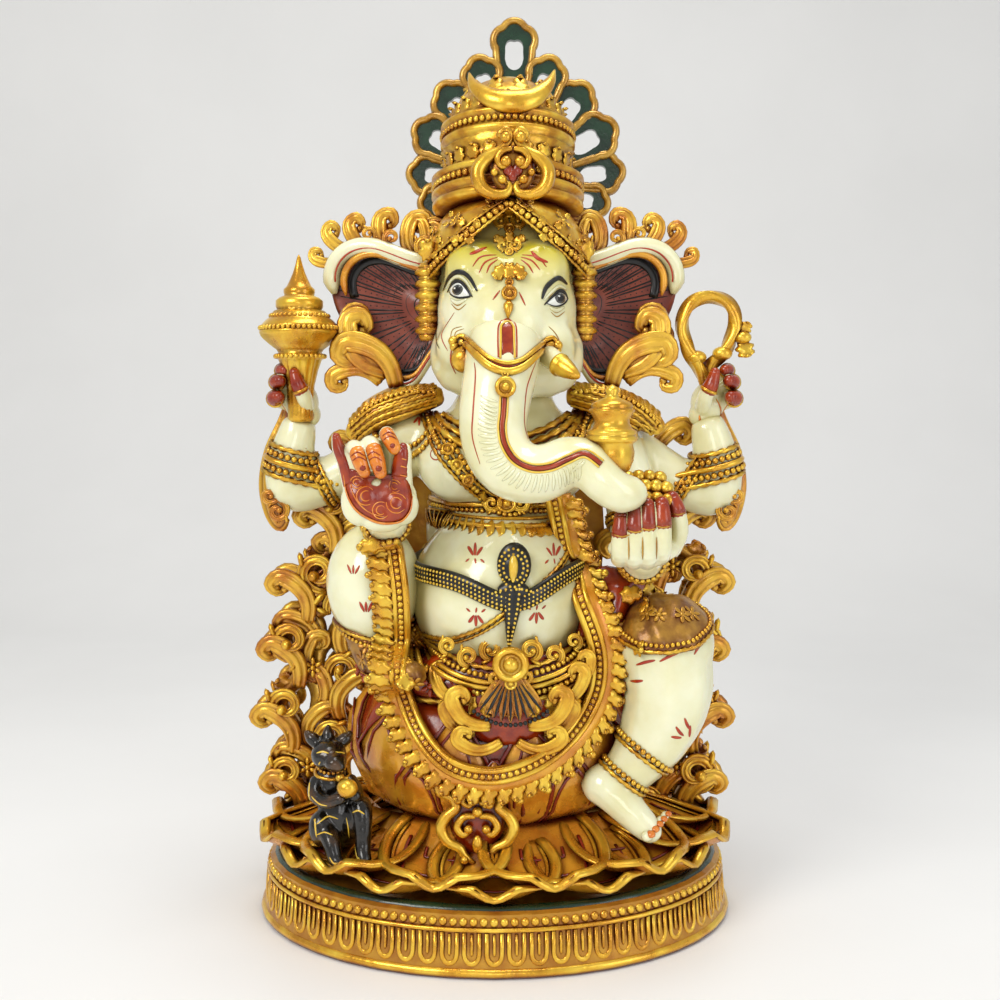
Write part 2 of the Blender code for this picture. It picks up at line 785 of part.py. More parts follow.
brow_cutter.hide_render = True
cap = cut(cap, brow_cutter)
nape = ball(crown.at(6.5, 20, 270), (crown.size(60), crown.size(60), crown.size(32)), name="nape_opening",
    material=GOLD)
CUTTERS.objects.link(nape)
PARTS.objects.unlink(nape)
nape.hide_render = True
cap = cut(cap, nape)
place(cap)


def crown_ring(name, profile, tilt=CROWN_LEAN, steps=22, material=GOLD):
    base = crown.at(6.5, -3, 351)
    return place(turned(name, [(crown.size(r), crown.size(z)) for r, z in profile], material, base,
        steps=steps, tilt=tilt))


crown_ring("crown_band", [(0, 0), (36, 0), (38, 3), (37.5, 8), (38.3, 12), (36.5, 16), (33, 18.5), (0, 18.5)])
crown_ring(
    "crown_dome",
    [(0, 19), (32, 19), (31.5, 25), (34, 35), (33, 41), (28.5, 44), (27, 50), (22, 58), (14, 64.5), (6, 67.5),
        (0, 68)],
)
place(
    limb(
        [
            (crown.at(-12, -16, 417), crown.size(1.2)),
            (crown.at(-7, -24, 407), crown.size(3.6)),
            (crown.at(8, -29, 400), crown.size(5.2)),
            (crown.at(22, -25, 407), crown.size(3.6)),
            (crown.at(29, -17, 419), crown.size(1.2)),
        ],
        3, False, 3, "crescent", GOLD,
    )
)
jewel_outline = [(0, 21), (9, 17), (13, 8), (18, -4), (15, -15), (6, -19), (0, -16), (-6, -19), (-15, -15),
    (-18, -4), (-13, 8), (-9, 17)]
jewel_holes = [[(4, 4), (11, -1), (9, -9), (3, -7)], [(-4, 4), (-3, -7), (-9, -9), (-11, -1)]]
jewel_place = crown.at(7, -42, 370)
place(
    plate(
        "crown_jewel",
        [(crown.size(x), crown.size(z)) for x, z in jewel_outline],
        [[(crown.size(x), crown.size(z)) for x, z in hole] for hole in jewel_holes],
        crown.size(7),
        jewel_place,
        GOLD,
        tilt=CROWN_LEAN,
        per_span=2,
    )
)

# Crest: a fan of pierced feathers behind the crown.
CREST_ANGLES = (-103, -84, -60, -37, -15, 0, 15, 37, 60, 84, 103)
CREST_REACH = (50, 55, 59, 63, 69, 84, 69, 63, 59, 55, 50)


def crest_point(reach, angle, aside=0.0):
    """Where a feather's point lies from the crest's root, in (x, z)."""
    turn = math.radians(angle)
    return (
        crown.size(reach * math.sin(turn) + aside * math.cos(turn)),
        crown.size(reach * math.cos(turn) - aside * math.sin(turn)),
    )


crest_outline = []
for angle, reach in zip(CREST_ANGLES, CREST_REACH):
    crest_outline += [crest_point(reach - 9, angle, -6.5), crest_point(reach, angle),
        crest_point(reach - 9, angle, 6.5)]
crest_outline += [crest_point(30, 135), crest_point(22, 180), crest_point(30, -135)]
crest_holes = []
for angle, reach in zip(CREST_ANGLES, CREST_REACH):
    crest_holes.append(
        [crest_point(reach - 8, angle), crest_point(reach - 13, angle, 4), crest_point(reach - 21, angle),
            crest_point(reach - 13, angle, -4)]
    )
place(
    plate("crest", crest_outline, crest_holes, CREST_THICKNESS, crown.at(10, 34, 372), CREST_GREEN,
        per_span=2)
)

# ---- Head ornaments ----------------------------------------------------------------------------------------
for name, x in (("right_ear_pendant", -32.5), ("left_ear_pendant", 43.5)):
    profile = [(0, -33), (4.5, -33), (5.6, -28), (5.0, -24), (6.0, -19), (5.2, -15), (6.2, -10), (5.4, -6),
        (6.2, -1), (5.0, 3), (0, 4)]
    place(
        turned(name, [(head.size(r), head.size(z)) for r, z in profile], GOLD, head.at(x, -18, 322), steps=14)
    )
trunk_band_route = [(-16, 284), (-9, 279), (-2, 273), (5, 271), (12, 273), (19, 279), (26, 285)]
trunk_band = laid_on(("head", "trunk"), trunk_band_route, head.size(0.8), head)
place(band("trunk_band", trunk_band, head.size(3), closed=False, per_span=2))

# ---- What the hands hold -----------------------------------------------------------------------------------
mace_unit = MACE_WIDTH / 40
mace_profile = [
    (0, -22), (5, -22), (6.2, -18), (7, -4), (10.5, 4), (12.5, 9), (18.5, 14), (20, 18.5), (17.5, 24),
    (13, 28),
    (11, 32), (11.4, 35), (8, 38), (6.4, 41), (7, 43.5), (3.6, 48), (1.4, 54), (0, 57),
]
place(turned("mace", [(r * mace_unit, z * mace_unit) for r, z in mace_profile], GOLD, body.at(-98, -2, 274),
    steps=14))

noose_loop = [
    (106, -2, 262, 4.2), (104, -3, 274, 4.6), (98, -3, 284, 4.8), (94, -2, 296, 4.8), (99, -2, 308, 4.8),
    (108, -2, 312, 4.8), (117, -2, 307, 4.8), (120, -2, 297, 4.8), (115, -2, 286, 4.6), (108, 1, 277, 4.2),
]
place(
    sculpt(
        "noose",
        [
            limb([(body.at(x, y, z), body.size(r)) for x, y, z, r in noose_loop], sides=2, per_span=3),
            limb([(body.at(106, 0, 276), body.size(5)), (body.at(107, 0, 262), body.size(5))]),
            limb([(body.at(107, -2, 313), body.size(5.5)), (body.at(107, -2, 319), body.size(4)),
                (body.at(107, -2, 327), body.size(1.2))]),
            ball(body.at(124, -2, 291), (body.size(5), body.size(4), body.size(7))),
        ],
        GOLD,
        0.0016,
        420,
        2,
    )
)
pot_unit = POT_WIDTH / 22.5
pot_profile = [
    (0, -16), (5, -15.5), (8.6, -11), (9.6, -5), (9.4, -1.5), (11.2, 0), (11.2, 4), (8.6, 5.5), (7.8, 9),
    (9.2, 12.5), (9.2, 14), (0, 14),
]
place(turned("pot", [(r * pot_unit, z * pot_unit) for r, z in pot_profile], GOLD, body.at(51.5, -86, 242),
    steps=14))
lid_profile = [(0, 14.3), (8.6, 14.3), (6.6, 17), (3, 18.5), (2.6, 20), (3.2, 21.5), (0, 24)]
place(turned("pot_lid", [(r * pot_unit, z * pot_unit) for r, z in lid_profile], GOLD, body.at(51.5, -86, 242),
    steps=12))
place(
    sculpt(
        "sweets",
        [
            ball(body.at(67, -77, 207), (body.size(13), body.size(8), body.size(8))),
            ball(body.at(58, -79, 213), body.size(4)),
            ball(body.at(66, -80, 215), body.size(4.2)),
            ball(body.at(74, -79, 214), body.size(4)),
        ],
        GOLD,
        0.0018,
        240,
        2,
    )
)

# ---- Jewellery and scarves on the body ---------------------------------------------------------------------
def ring_round(name, host, centre, lean, side_lean, thickness, material=GOLD, count=12):
    """A closed band round a limb, in a tilted plane."""
    route = girdle((host,), centre, lean, side_lean, thickness * 0.25, count)
    return place(band(name, route, thickness, material))


ring_round("belly_band", "torso", body.at(4, -8, 203), 0, math.radians(1.5), body.size(4.6), count=24)
ring_round("snake_belt", "torso", body.at(4, -8, 179), math.radians(4), math.radians(2), body.size(3.6),
    SNAKE, 24)
ring_round("blessing_bangle", "blessing_arm", body.at(-52, -45, 204), math.radians(80), 0, body.size(2.6))
ring_round("sweets_bangle", "sweets_arm", body.at(69, -48, 185), math.radians(90), 0, body.size(2.6))
ring_round("upper_anklet", "hanging_leg", left_hip.at(68, -47, 87), math.radians(8), math.radians(34),
    body.size(2.6))

waist_route = [(-38, 141), (-28, 135), (-14, 130), (6, 127.5), (24, 130), (38, 136), (47, 143)]
waist_points = laid_on(("torso", "loincloth", "folded_leg", "hanging_leg"), waist_route, body.size(1.0), body)
place(band("waist_belt", waist_points, body.size(5), closed=False))

necklace_route = [(-30, 251), (-22, 240), (-10, 230), (5, 226), (20, 230), (32, 240), (39, 251)]
place(
    band(
        "necklace",
        laid_on(("torso", "blessing_arm", "sweets_arm"), necklace_route, body.size(0.8), body),
        body.size(4.2), closed=False,
    )
)


def scarf(name, folds):
    """A folded scarf end lying over a shoulder."""
    shapes = [limb([(body.at(*p), body.size(r)) for p, r in route]) for route in folds]
    return place(sculpt(name, shapes, GOLD, 0.0026, 300, 2))


scarf("right_shoulder_scarf", [
    [((-26, -6, 262), 6), ((-44, -10, 257), 8), ((-62, -8, 250), 8), ((-73, -4, 240), 5)],
    [((-30, 6, 262), 6), ((-50, 4, 259), 8), ((-66, 4, 250), 8)],
])
scarf("left_shoulder_scarf", [
    [((36, -6, 262), 6), ((54, -10, 258), 8), ((71, -8, 252), 8), ((84, -4, 244), 5)],
    [((40, 6, 262), 6), ((60, 4, 259), 8), ((77, 4, 250), 8)],
])


def drape(name, side, x):
    """The scarf end that hangs outside a rear arm, from the hand to below the elbow."""
    route = [
        (body.at(x + 2 * side, 8, 262), body.size(3.6)),
        (body.at(x + 6 * side, 8, 248), body.size(5)),
        (body.at(x + 12 * side, 7, 232), body.size(6)),
        (body.at(x + 14 * side, 6, 216), body.size(6.5)),
        (body.at(x + 12 * side, 6, 201), body.size(6)),
        (body.at(x + 8 * side, 6, 195), body.size(4)),
    ]
    return place(sculpt(name, [limb(route)], GOLD, 0.0026, 220, 2))


drape("mace_arm_drape", -1, -101)
drape("noose_arm_drape", 1, 109)
ring_round("mace_cuff", "mace_arm", body.at(-105, 3, 229), 0, math.radians(-24), body.size(4.5))
ring_round("noose_cuff", "noose_arm", body.at(114, 3, 228), 0, math.radians(24), body.size(4.5))

garland_hosts = ("torso", "loincloth", "folded_leg", "hanging_leg", "lotus_seat", "seat_cushion")
garland_route = [
    (30, 216), (33, 200), (37, 180), (45, 160), (51, 142), (51, 122), (42, 104), (26, 91), (8, 84), (-8, 83),
    (-24, 88), (-37, 101), (-46, 118), (-51, 134), (-53, 150), (-53, 170), (-50, 186),
]
garland_points = laid_on(garland_hosts, garland_route, body.size(2.2), body)
for a, b in zip(garland_points, garland_points[1:]):
    b.y = max(min(b.y, a.y + body.size(11)), a.y - body.size(11))
place(band("garland", garland_points, GARLAND_WIDTH / 2, closed=False, per_span=2))
pendant_outline = [
    (0, 21), (12, 23), (19, 20), (17, 12), (19, 3), (14, -6), (8, -11), (9, -19), (4, -22), (0, -18),
    (-4, -22),
    (-9, -19), (-8, -11), (-14, -6), (-19, 3), (-17, 12), (-19, 20), (-12, 23),
]
pendant_holes = [[(4, 8), (10, 6), (9, 0), (4, 2)], [(-4, 8), (-4, 2), (-9, 0), (-10, 6)]]
garland_foot = min(garland_points, key=lambda p: p.z)
place(
    plate(
        "garland_pendant",
        [(body.size(x), body.size(z)) for x, z in pendant_outline],
        [[(body.size(x), body.size(z)) for x, z in hole] for hole in pendant_holes],
        body.size(7),
        garland_foot + Vector((0, body.size(-2), body.size(-23))),
        GOLD,
        tilt=math.radians(-8),
        per_span=2,
    )
)

place(
    sculpt(
        "sash_fan",
        [
            ball(body.at(7, -66, 132), (body.size(17), body.size(5), body.size(10))),
            ball(body.at(7, -67, 118), (body.size(13), body.size(5), body.size(13))),
        ],
        GOLD,
        0.0022,
        260,
        2,
    )
)

# ---- Throne back -------------------------------------------------------------------------------------------
throne_floor = 33


def throne_plate(name, outline, holes, back=0.0):
    def carried(loop):
        return [(throne.at(x, 0, z).x, throne.at(x, 0, z).z) for x, z in loop]

    middle = Vector((0, throne.at(0, 24, 0).y + back, 0))
    return place(plate(name, carried(outline), [carried(h) for h in holes], THRONE_THICKNESS, middle, GOLD,
        per_span=2))


throne_plate(
    "throne_back_right",
    [
        (-106, throne_floor), (-118, 50), (-123, 92), (-118, 122), (-120, 142), (-109, 158), (-102, 178),
        (-96, 196), (-96, 214),
        (-84, 224), (-70, 220), (-62, 204), (-56, 180), (-60, 150), (-66, 100), (-60, throne_floor),
    ],
    [[(-88, 152), (-82, 162), (-80, 148)], [(-90, 118), (-82, 128), (-78, 118), (-84, 112)],
        [(-80, 84), (-72, 96), (-70, 80)]],
)
throne_plate(
    "throne_back_left",
    [
        (60, throne_floor), (66, 100), (62, 150), (60, 180), (70, 206), (84, 220), (100, 218), (108, 203),
        (112, 188), (119, 176),
        (120, 156), (121, 136), (115, 126), (121, 104), (119, 62), (106, throne_floor),
    ],
    [[(100, 164), (106, 172), (110, 163)]],
)
throne_plate(
    "throne_back_middle",
    [(-52, 138), (-56, 170), (-52, 205), (-34, 226), (4, 236), (42, 226), (58, 205), (58, 170), (56, 138),
        (4, 137)],
    [],
    throne.size(21),
)

# ---- Mouse -------------------------------------------------------------------------------------------------
mouse = Frame((-72, -48, 50), deck.at(-72, -48, 46), MOUSE_HEIGHT / 0.056)


def mouse_limb(*joints):
    return limb([(mouse.at(*p), mouse.size(r)) for p, r in joints], sides=2, per_span=3)


place(
    sculpt(
        "mouse",
        [
            ball(mouse.at(-74, -46, 60), (mouse.size(12), mouse.size(11), mouse.size(15))),
            ball(mouse.at(-77, -47, 77), (mouse.size(9.5), mouse.size(9), mouse.size(11))),
            ball(mouse.at(-78, -50, 90), (mouse.size(9), mouse.size(10), mouse.size(8))),
            ball(mouse.at(-76, -59, 88), (mouse.size(5), mouse.size(6), mouse.size(5))),
            ball(mouse.at(-87, -46, 97), mouse.size(3.8)),
            ball(mouse.at(-69, -46, 98), mouse.size(3.8)),
            mouse_limb(((-66, -48, 54), 7.5), ((-61, -54, 62), 6), ((-62, -58, 50), 5), ((-62, -63, 47), 4)),
            mouse_limb(((-80, -50, 54), 6), ((-77, -58, 52), 5), ((-75, -64, 48), 4)),
            mouse_limb(((-70, -52, 77), 4.5), ((-64, -58, 72), 4), ((-63, -63, 77), 3.4)),
            mouse_limb(((-84, -50, 77), 4.5), ((-82, -58, 70), 4), ((-75, -63, 73), 3.4)),
        ],
        LACQUER,
        0.0020,
        520,
        2,
    )
)
place(ball(mouse.at(-68.5, -66, 80), mouse.size(5), name="mouse_sweet", material=GOLD, rings=7))
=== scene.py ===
# %% [markdown]
# # A seated Ganesha in painted and gilded marble
# The idol is carved in ivory-coloured marble, polished, then painted and gilded by hand.
# The frame brings the measured model: every size and place below is read from it.

import bmesh, bpy, json, math, random
from mathutils import Vector, Matrix, Quaternion, noise
from mathutils.bvhtree import BVHTree


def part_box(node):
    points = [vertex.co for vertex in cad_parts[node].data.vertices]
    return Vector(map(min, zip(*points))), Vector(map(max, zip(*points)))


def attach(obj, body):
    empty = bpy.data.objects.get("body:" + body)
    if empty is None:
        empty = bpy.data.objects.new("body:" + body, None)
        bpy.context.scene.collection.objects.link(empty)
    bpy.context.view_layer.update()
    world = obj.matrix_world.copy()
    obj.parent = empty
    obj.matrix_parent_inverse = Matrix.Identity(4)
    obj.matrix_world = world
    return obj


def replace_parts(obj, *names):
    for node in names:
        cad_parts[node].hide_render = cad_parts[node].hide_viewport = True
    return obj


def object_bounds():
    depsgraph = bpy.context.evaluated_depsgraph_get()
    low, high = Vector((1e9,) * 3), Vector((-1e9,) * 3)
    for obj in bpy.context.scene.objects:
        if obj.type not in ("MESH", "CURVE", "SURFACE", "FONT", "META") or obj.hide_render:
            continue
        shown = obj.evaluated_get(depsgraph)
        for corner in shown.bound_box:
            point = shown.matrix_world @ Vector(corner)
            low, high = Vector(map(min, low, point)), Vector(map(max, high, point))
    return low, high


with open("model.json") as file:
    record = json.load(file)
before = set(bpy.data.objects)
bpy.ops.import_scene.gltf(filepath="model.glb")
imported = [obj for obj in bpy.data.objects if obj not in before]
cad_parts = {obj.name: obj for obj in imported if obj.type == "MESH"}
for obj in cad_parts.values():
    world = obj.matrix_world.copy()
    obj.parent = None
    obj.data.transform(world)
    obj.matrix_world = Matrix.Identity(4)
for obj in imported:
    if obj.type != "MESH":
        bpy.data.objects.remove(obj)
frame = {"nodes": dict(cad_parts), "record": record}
CAD_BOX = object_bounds()
nodes = frame["nodes"]
scene = bpy.context.scene
MM = 0.001
print("the idol measures", [round((b - a) / MM, 1) for a, b in zip(*CAD_BOX)], "mm")

# %% [markdown]
# ## Drawing positions
# Ornament is set out in millimetres on a drawing of each main part.
# A region carries those numbers onto that part's measured box, so a wider head takes its ornaments along.

# %% Regions of the drawing
DRAWN = {
    "plinth": ((-119.5, -91, 0), (119.5, 91, 29)),
    "lotus_seat": ((-73, -59, 26), (73, 59, 114)),
    "torso": ((-57, -64, 134), (67, 38, 274)),
    "head": ((-31, -58, 257), (43, 28, 352)),
    "trunk": ((-15, -102, 211), (67, -45, 295)),
    "crown_cap": ((-33, -40, 298), (46, 37, 358)),
    "crown_band": ((-32, -40, 347), (45, 36, 374)),
    "crown_dome": ((-27, -32, 366), (40, 35, 419)),
    "crest": ((-45, 30, 350), (65, 38, 456)),
    "mace": ((-118, -21, 252), (-78, 17, 331)),
    "noose": ((89, -8, 263), (128, 5, 327)),
    "pot": ((40, -97, 227), (63, -75, 256)),
}


class Region:
    """Millimetres on the drawing of one CAD node, carried onto its box in the frame."""

    def __init__(self, node):
        (self.low, self.high), box = DRAWN[node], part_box(node)
        self.base = box[0]
        self.scale = [(box[1][i] - box[0][i]) / (self.high[i] - self.low[i]) for i in range(3)]

    def __call__(self, x, y, z):
        return Vector([self.base[i] + (v - self.low[i]) * self.scale[i] for i, v in enumerate((x, y, z))])


region = {name: Region(name) for name in DRAWN}
body, head, crown = region["torso"], region["head"], region["crown_band"]
print(len(region), "regions")

# %% [markdown]
# ## Camera, light and floor
# A soft box at the upper left, a weaker one at the right, one overhead and a small one in front.
# The floor sweeps up behind the idol in one pale curve.

# %% Camera, light and floor
CAMERA_BACK, CAMERA_UP, CAMERA_DIP, CAMERA_LENS = 0.62, 0.26, 4.74, 43.92
camera_data = bpy.data.cameras.new("camera")
camera_data.lens, camera_data.sensor_width = CAMERA_LENS, 36
camera_data.clip_start = 0.01
camera = bpy.data.objects.new("camera", camera_data)
camera.location = (0.0026, -CAMERA_BACK, CAMERA_UP)
camera.rotation_euler = (math.radians(90 - CAMERA_DIP), 0, 0)
scene.collection.objects.link(camera)
scene.camera = camera
scene.view_settings.view_transform = "Standard"
scene.view_settings.look = "None"


def area_light(name, place, aim, size, watts, tint=(1, 1, 1)):
    lamp = bpy.data.lights.new(name, "AREA")
    lamp.shape, lamp.size, lamp.size_y, lamp.energy, lamp.color = "RECTANGLE", *size, watts, tint
    lit = bpy.data.objects.new(name, lamp)
    lit.location = place
    lit.rotation_euler = (Vector(aim) - Vector(place)).to_track_quat("-Z", "Y").to_euler()
    scene.collection.objects.link(lit)


area_light("key", (-0.75, -0.95, 0.95), (0, 0, 0.22), (0.55, 0.55), 8.5, (1, 0.97, 0.92))
area_light("fill", (0.95, -0.75, 0.45), (0, 0, 0.2), (0.5, 0.8), 2.6)
area_light("top", (0.1, -0.1, 1.25), (0, 0, 0.3), (0.6, 0.4), 4.5)
area_light("front", (0.0, -1.3, 0.35), (0, 0, 0.22), (0.35, 0.35), 1.2)

world = bpy.data.worlds.new("studio")
world.use_nodes = True
world.node_tree.nodes["Background"].inputs["Color"].default_value = (1, 1, 1, 1)
world.node_tree.nodes["Background"].inputs["Strength"].default_value = 0.55
scene.world = world

# %% [markdown]
# ## Building tools
# A heap gathers points and faces, and becomes one smooth piece that rides on the idol.

# %% Building tools
class Heap:
    """Points and faces gathered for one piece."""

    def __init__(self):
        self.points, self.faces, self.marks = [], [], []

    def add(self, points, faces, mark=0.0):
        start = len(self.points)
        self.points += [Vector(p) for p in points]
        self.faces += [[start + i for i in face] for face in faces]
        self.marks += [mark] * len(points)

    def made(self, name, look, smooth=True):
        mesh = bpy.data.meshes.new(name)
        mesh.from_pydata(self.points, [], self.faces)
        mesh.polygons.foreach_set("use_smooth", [smooth] * len(mesh.polygons))
        mark = mesh.attributes.new("mark", "FLOAT", "POINT")
        mark.data.foreach_set("value", self.marks)
        mesh.update()
        return shown(bpy.data.objects.new(name, mesh), look)


def shown(piece, look):
    """The piece in the scene, in one of the looks, riding on the idol."""
    if piece.name not in scene.collection.objects:
        scene.collection.objects.link(piece)
    if not piece.data.materials:
        piece.data.materials.append(LOOKS[look][0])
    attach(piece, "root")
    return piece


def smooth_path(points, per_span=8, closed=False):
    """A Catmull-Rom curve through the points; a tuple's further numbers follow along with it."""
    pts = [list(p) for p in points]
    n = len(pts)
    spans = n if closed else n - 1
    out = []
    for i in range(spans):
        a, b, c, d = (pts[(i + k) % n] if closed else pts[min(max(i + k, 0), n - 1)] for k in (-1, 0, 1, 2))
        for s in range(per_span):
            t = s / per_span
            out.append([0.5 * (2 * b[j] + (c[j] - a[j]) * t + (2 * a[j] - 5 * b[j] + 4 * c[j] - d[j]) * t * t
                               + (3 * b[j] - a[j] - 3 * c[j] + d[j]) * t ** 3) for j in range(len(b))])
    return out if closed else out + [pts[-1]]


def sweep(heap, path, radius, sides=8, flat=1.0, out=None, closed=False, section=None, mark=0.0):
    """A tube along the path. radius is a number or one per point; flat squashes it along out, a direction or
    one per point; section is a list of (across, outward) points that takes the place of the circle."""
    path = [Vector(p[:3]) for p in path]
    n = len(path)
    radii = radius if isinstance(radius, (list, tuple)) else [radius] * n
    ring = section or [(math.cos(2 * math.pi * k / sides), flat * math.sin(2 * math.pi * k / sides))
                       for k in range(sides)]
    points, faces, last = [], [], None
    for i, p in enumerate(path):
        ahead = path[(i + 1) % n] if closed or i < n - 1 else p
        behind = path[i - 1] if closed or i > 0 else p
        along = (ahead - behind).normalized()
        if out is None:
            up = last if last is not None else (Vector((0, 0, 1)) if abs(along.z) < 0.9 else Vector((0, 1, 0)))
        else:
            up = out[i] if isinstance(out, list) else out
        up = (up - along * up.dot(along)).normalized()
        last = up
        side = along.cross(up)
        points += [p + (side * u + up * v) * radii[i] for u, v in ring]
    m = len(ring)
    for i in range(n if closed else n - 1):
        for k in range(m):
            a, b = i * m + k, i * m + (k + 1) % m
            faces.append([a, b, (b + m) % (n * m), (a + m) % (n * m)])
    if not closed:
        faces += [list(range(m))[::-1], list(range((n - 1) * m, n * m))]
    heap.add(points, [f[::-1] for f in faces], mark)


def lathe(heap, centre, axis, profile, sides=32, wave=None, arc=None, mark=0.0):
    """A turned shape: profile is (radius, height) from the bottom to the top, both ends on the axis or capped.
    wave(index, turn) multiplies a radius, for flutes and scallops."""
    axis = Vector(axis).normalized()
    across = axis.orthogonal().normalized() if abs(axis.z) < 0.7 else (Vector((1, 0, 0)) - axis * axis.x).normalized()
    other = axis.cross(across)
    points, faces = [], []
    for i, (r, h) in enumerate(profile):
        for k in range(sides):
            t = 2 * math.pi * k / sides
            f = wave(i, t) if wave else 1
            points.append(Vector(centre) + axis * h + (across * math.cos(t) + other * math.sin(t)) * r * f)
    for i in range(len(profile) - 1):
        for k in range(sides):
            a, b = i * sides + k, i * sides + (k + 1) % sides
            faces.append([a, b, b + sides, a + sides])
    last = (len(profile) - 1) * sides
    faces += [list(range(sides))[::-1], list(range(last, last + sides))]
    heap.add(points, faces, mark)


def blob(heap, centre, radius, squash=(1, 1, 1), turn=None, rings=8, sides=12, mark=0.0):
    """A closed round ball, squashed along its axes and turned."""
    turn = turn or Matrix.Identity(3)
    points = [Vector(centre) + turn @ Vector((0, 0, -radius * squash[2]))]
    for i in range(1, rings):
        a = math.pi * i / rings - math.pi / 2
        for k in range(sides):
            t = 2 * math.pi * k / sides
            points.append(Vector(centre) + turn @ Vector((math.cos(a) * math.cos(t) * squash[0] * radius,
                          math.cos(a) * math.sin(t) * squash[1] * radius, math.sin(a) * squash[2] * radius)))
    points.append(Vector(centre) + turn @ Vector((0, 0, radius * squash[2])))
    top = len(points) - 1
    faces = [[0, 1 + (k + 1) % sides, 1 + k] for k in range(sides)]
    for i in range(rings - 2):
        for k in range(sides):
            a, b = 1 + i * sides + k, 1 + i * sides + (k + 1) % sides
            faces.append([a, b, b + sides, a + sides])
    faces += [[top, top - sides + k, top - sides + (k + 1) % sides] for k in range(sides)]
    heap.add(points, faces, mark)


def mesh_copy(names, grow=0.0):
    """One mesh of copies of CAD nodes, welded, with fresh normals, each grown a little so that they join."""
    whole = bpy.data.meshes.new("copy")
    bm = bmesh.new()
    for name in names:
        part = bmesh.new()
        part.from_mesh(nodes[name].data)
        bmesh.ops.remove_doubles(part, verts=part.verts, dist=0.00002)
        bmesh.ops.recalc_face_normals(part, faces=part.faces)
        part.normal_update()
        for v, n in [(v, v.normal.copy()) for v in part.verts]:
            v.co += n * grow
        part.to_mesh(whole)
        part.free()
        bm.from_mesh(whole)
    bm.to_mesh(whole)
    bm.free()
    whole.materials.clear()
    return whole


def evaluated(piece):
    """The piece with its modifiers made real."""
    bpy.context.view_layer.update()
    graph = bpy.context.evaluated_depsgraph_get()
    mesh = bpy.data.meshes.new_from_object(piece.evaluated_get(graph))
    piece.modifiers.clear()
    piece.data = mesh
    mesh.name = piece.name
    return piece


def melted(name, mesh, voxel, ease, look, weight=0.5):
    """The mesh remade on a fine grid and eased, so that joined bodies flow into one another."""
    piece = bpy.data.objects.new(name, mesh)
    scene.collection.objects.link(piece)
    grid = piece.modifiers.new("grid", "REMESH")
    grid.mode, grid.voxel_size, grid.use_smooth_shade = "VOXEL", voxel, True
    soft = piece.modifiers.new("ease", "SMOOTH")
    soft.factor, soft.iterations = weight, ease
    evaluated(piece)
    piece.data.materials.clear()
    return shown(piece, look)


def skin_of(*pieces):
    """A search tree over the pieces' surfaces."""
    points, faces = [], []
    for piece in pieces:
        start = len(points)
        points += [v.co.copy() for v in piece.data.vertices]
        faces += [[start + i for i in p.vertices] for p in piece.data.polygons]
    return BVHTree.FromPolygons(points, faces)


FRONT = Vector((0, 1, 0))


def on_skin(skin, point, lift=0.0, way=FRONT, reach=0.25):
    """(place, outward normal) where a ray through the point, looking along way, first meets the skin."""
    point = Vector(point)
    hit, normal, _, _ = skin.ray_cast(point - way * reach, way, 2 * reach)
    if hit is None:
        hit, normal, _, _ = skin.find_nearest(point)
    if normal.dot(way) > 0:
        normal = -normal
    return hit + normal * lift, normal


print("tools ready")
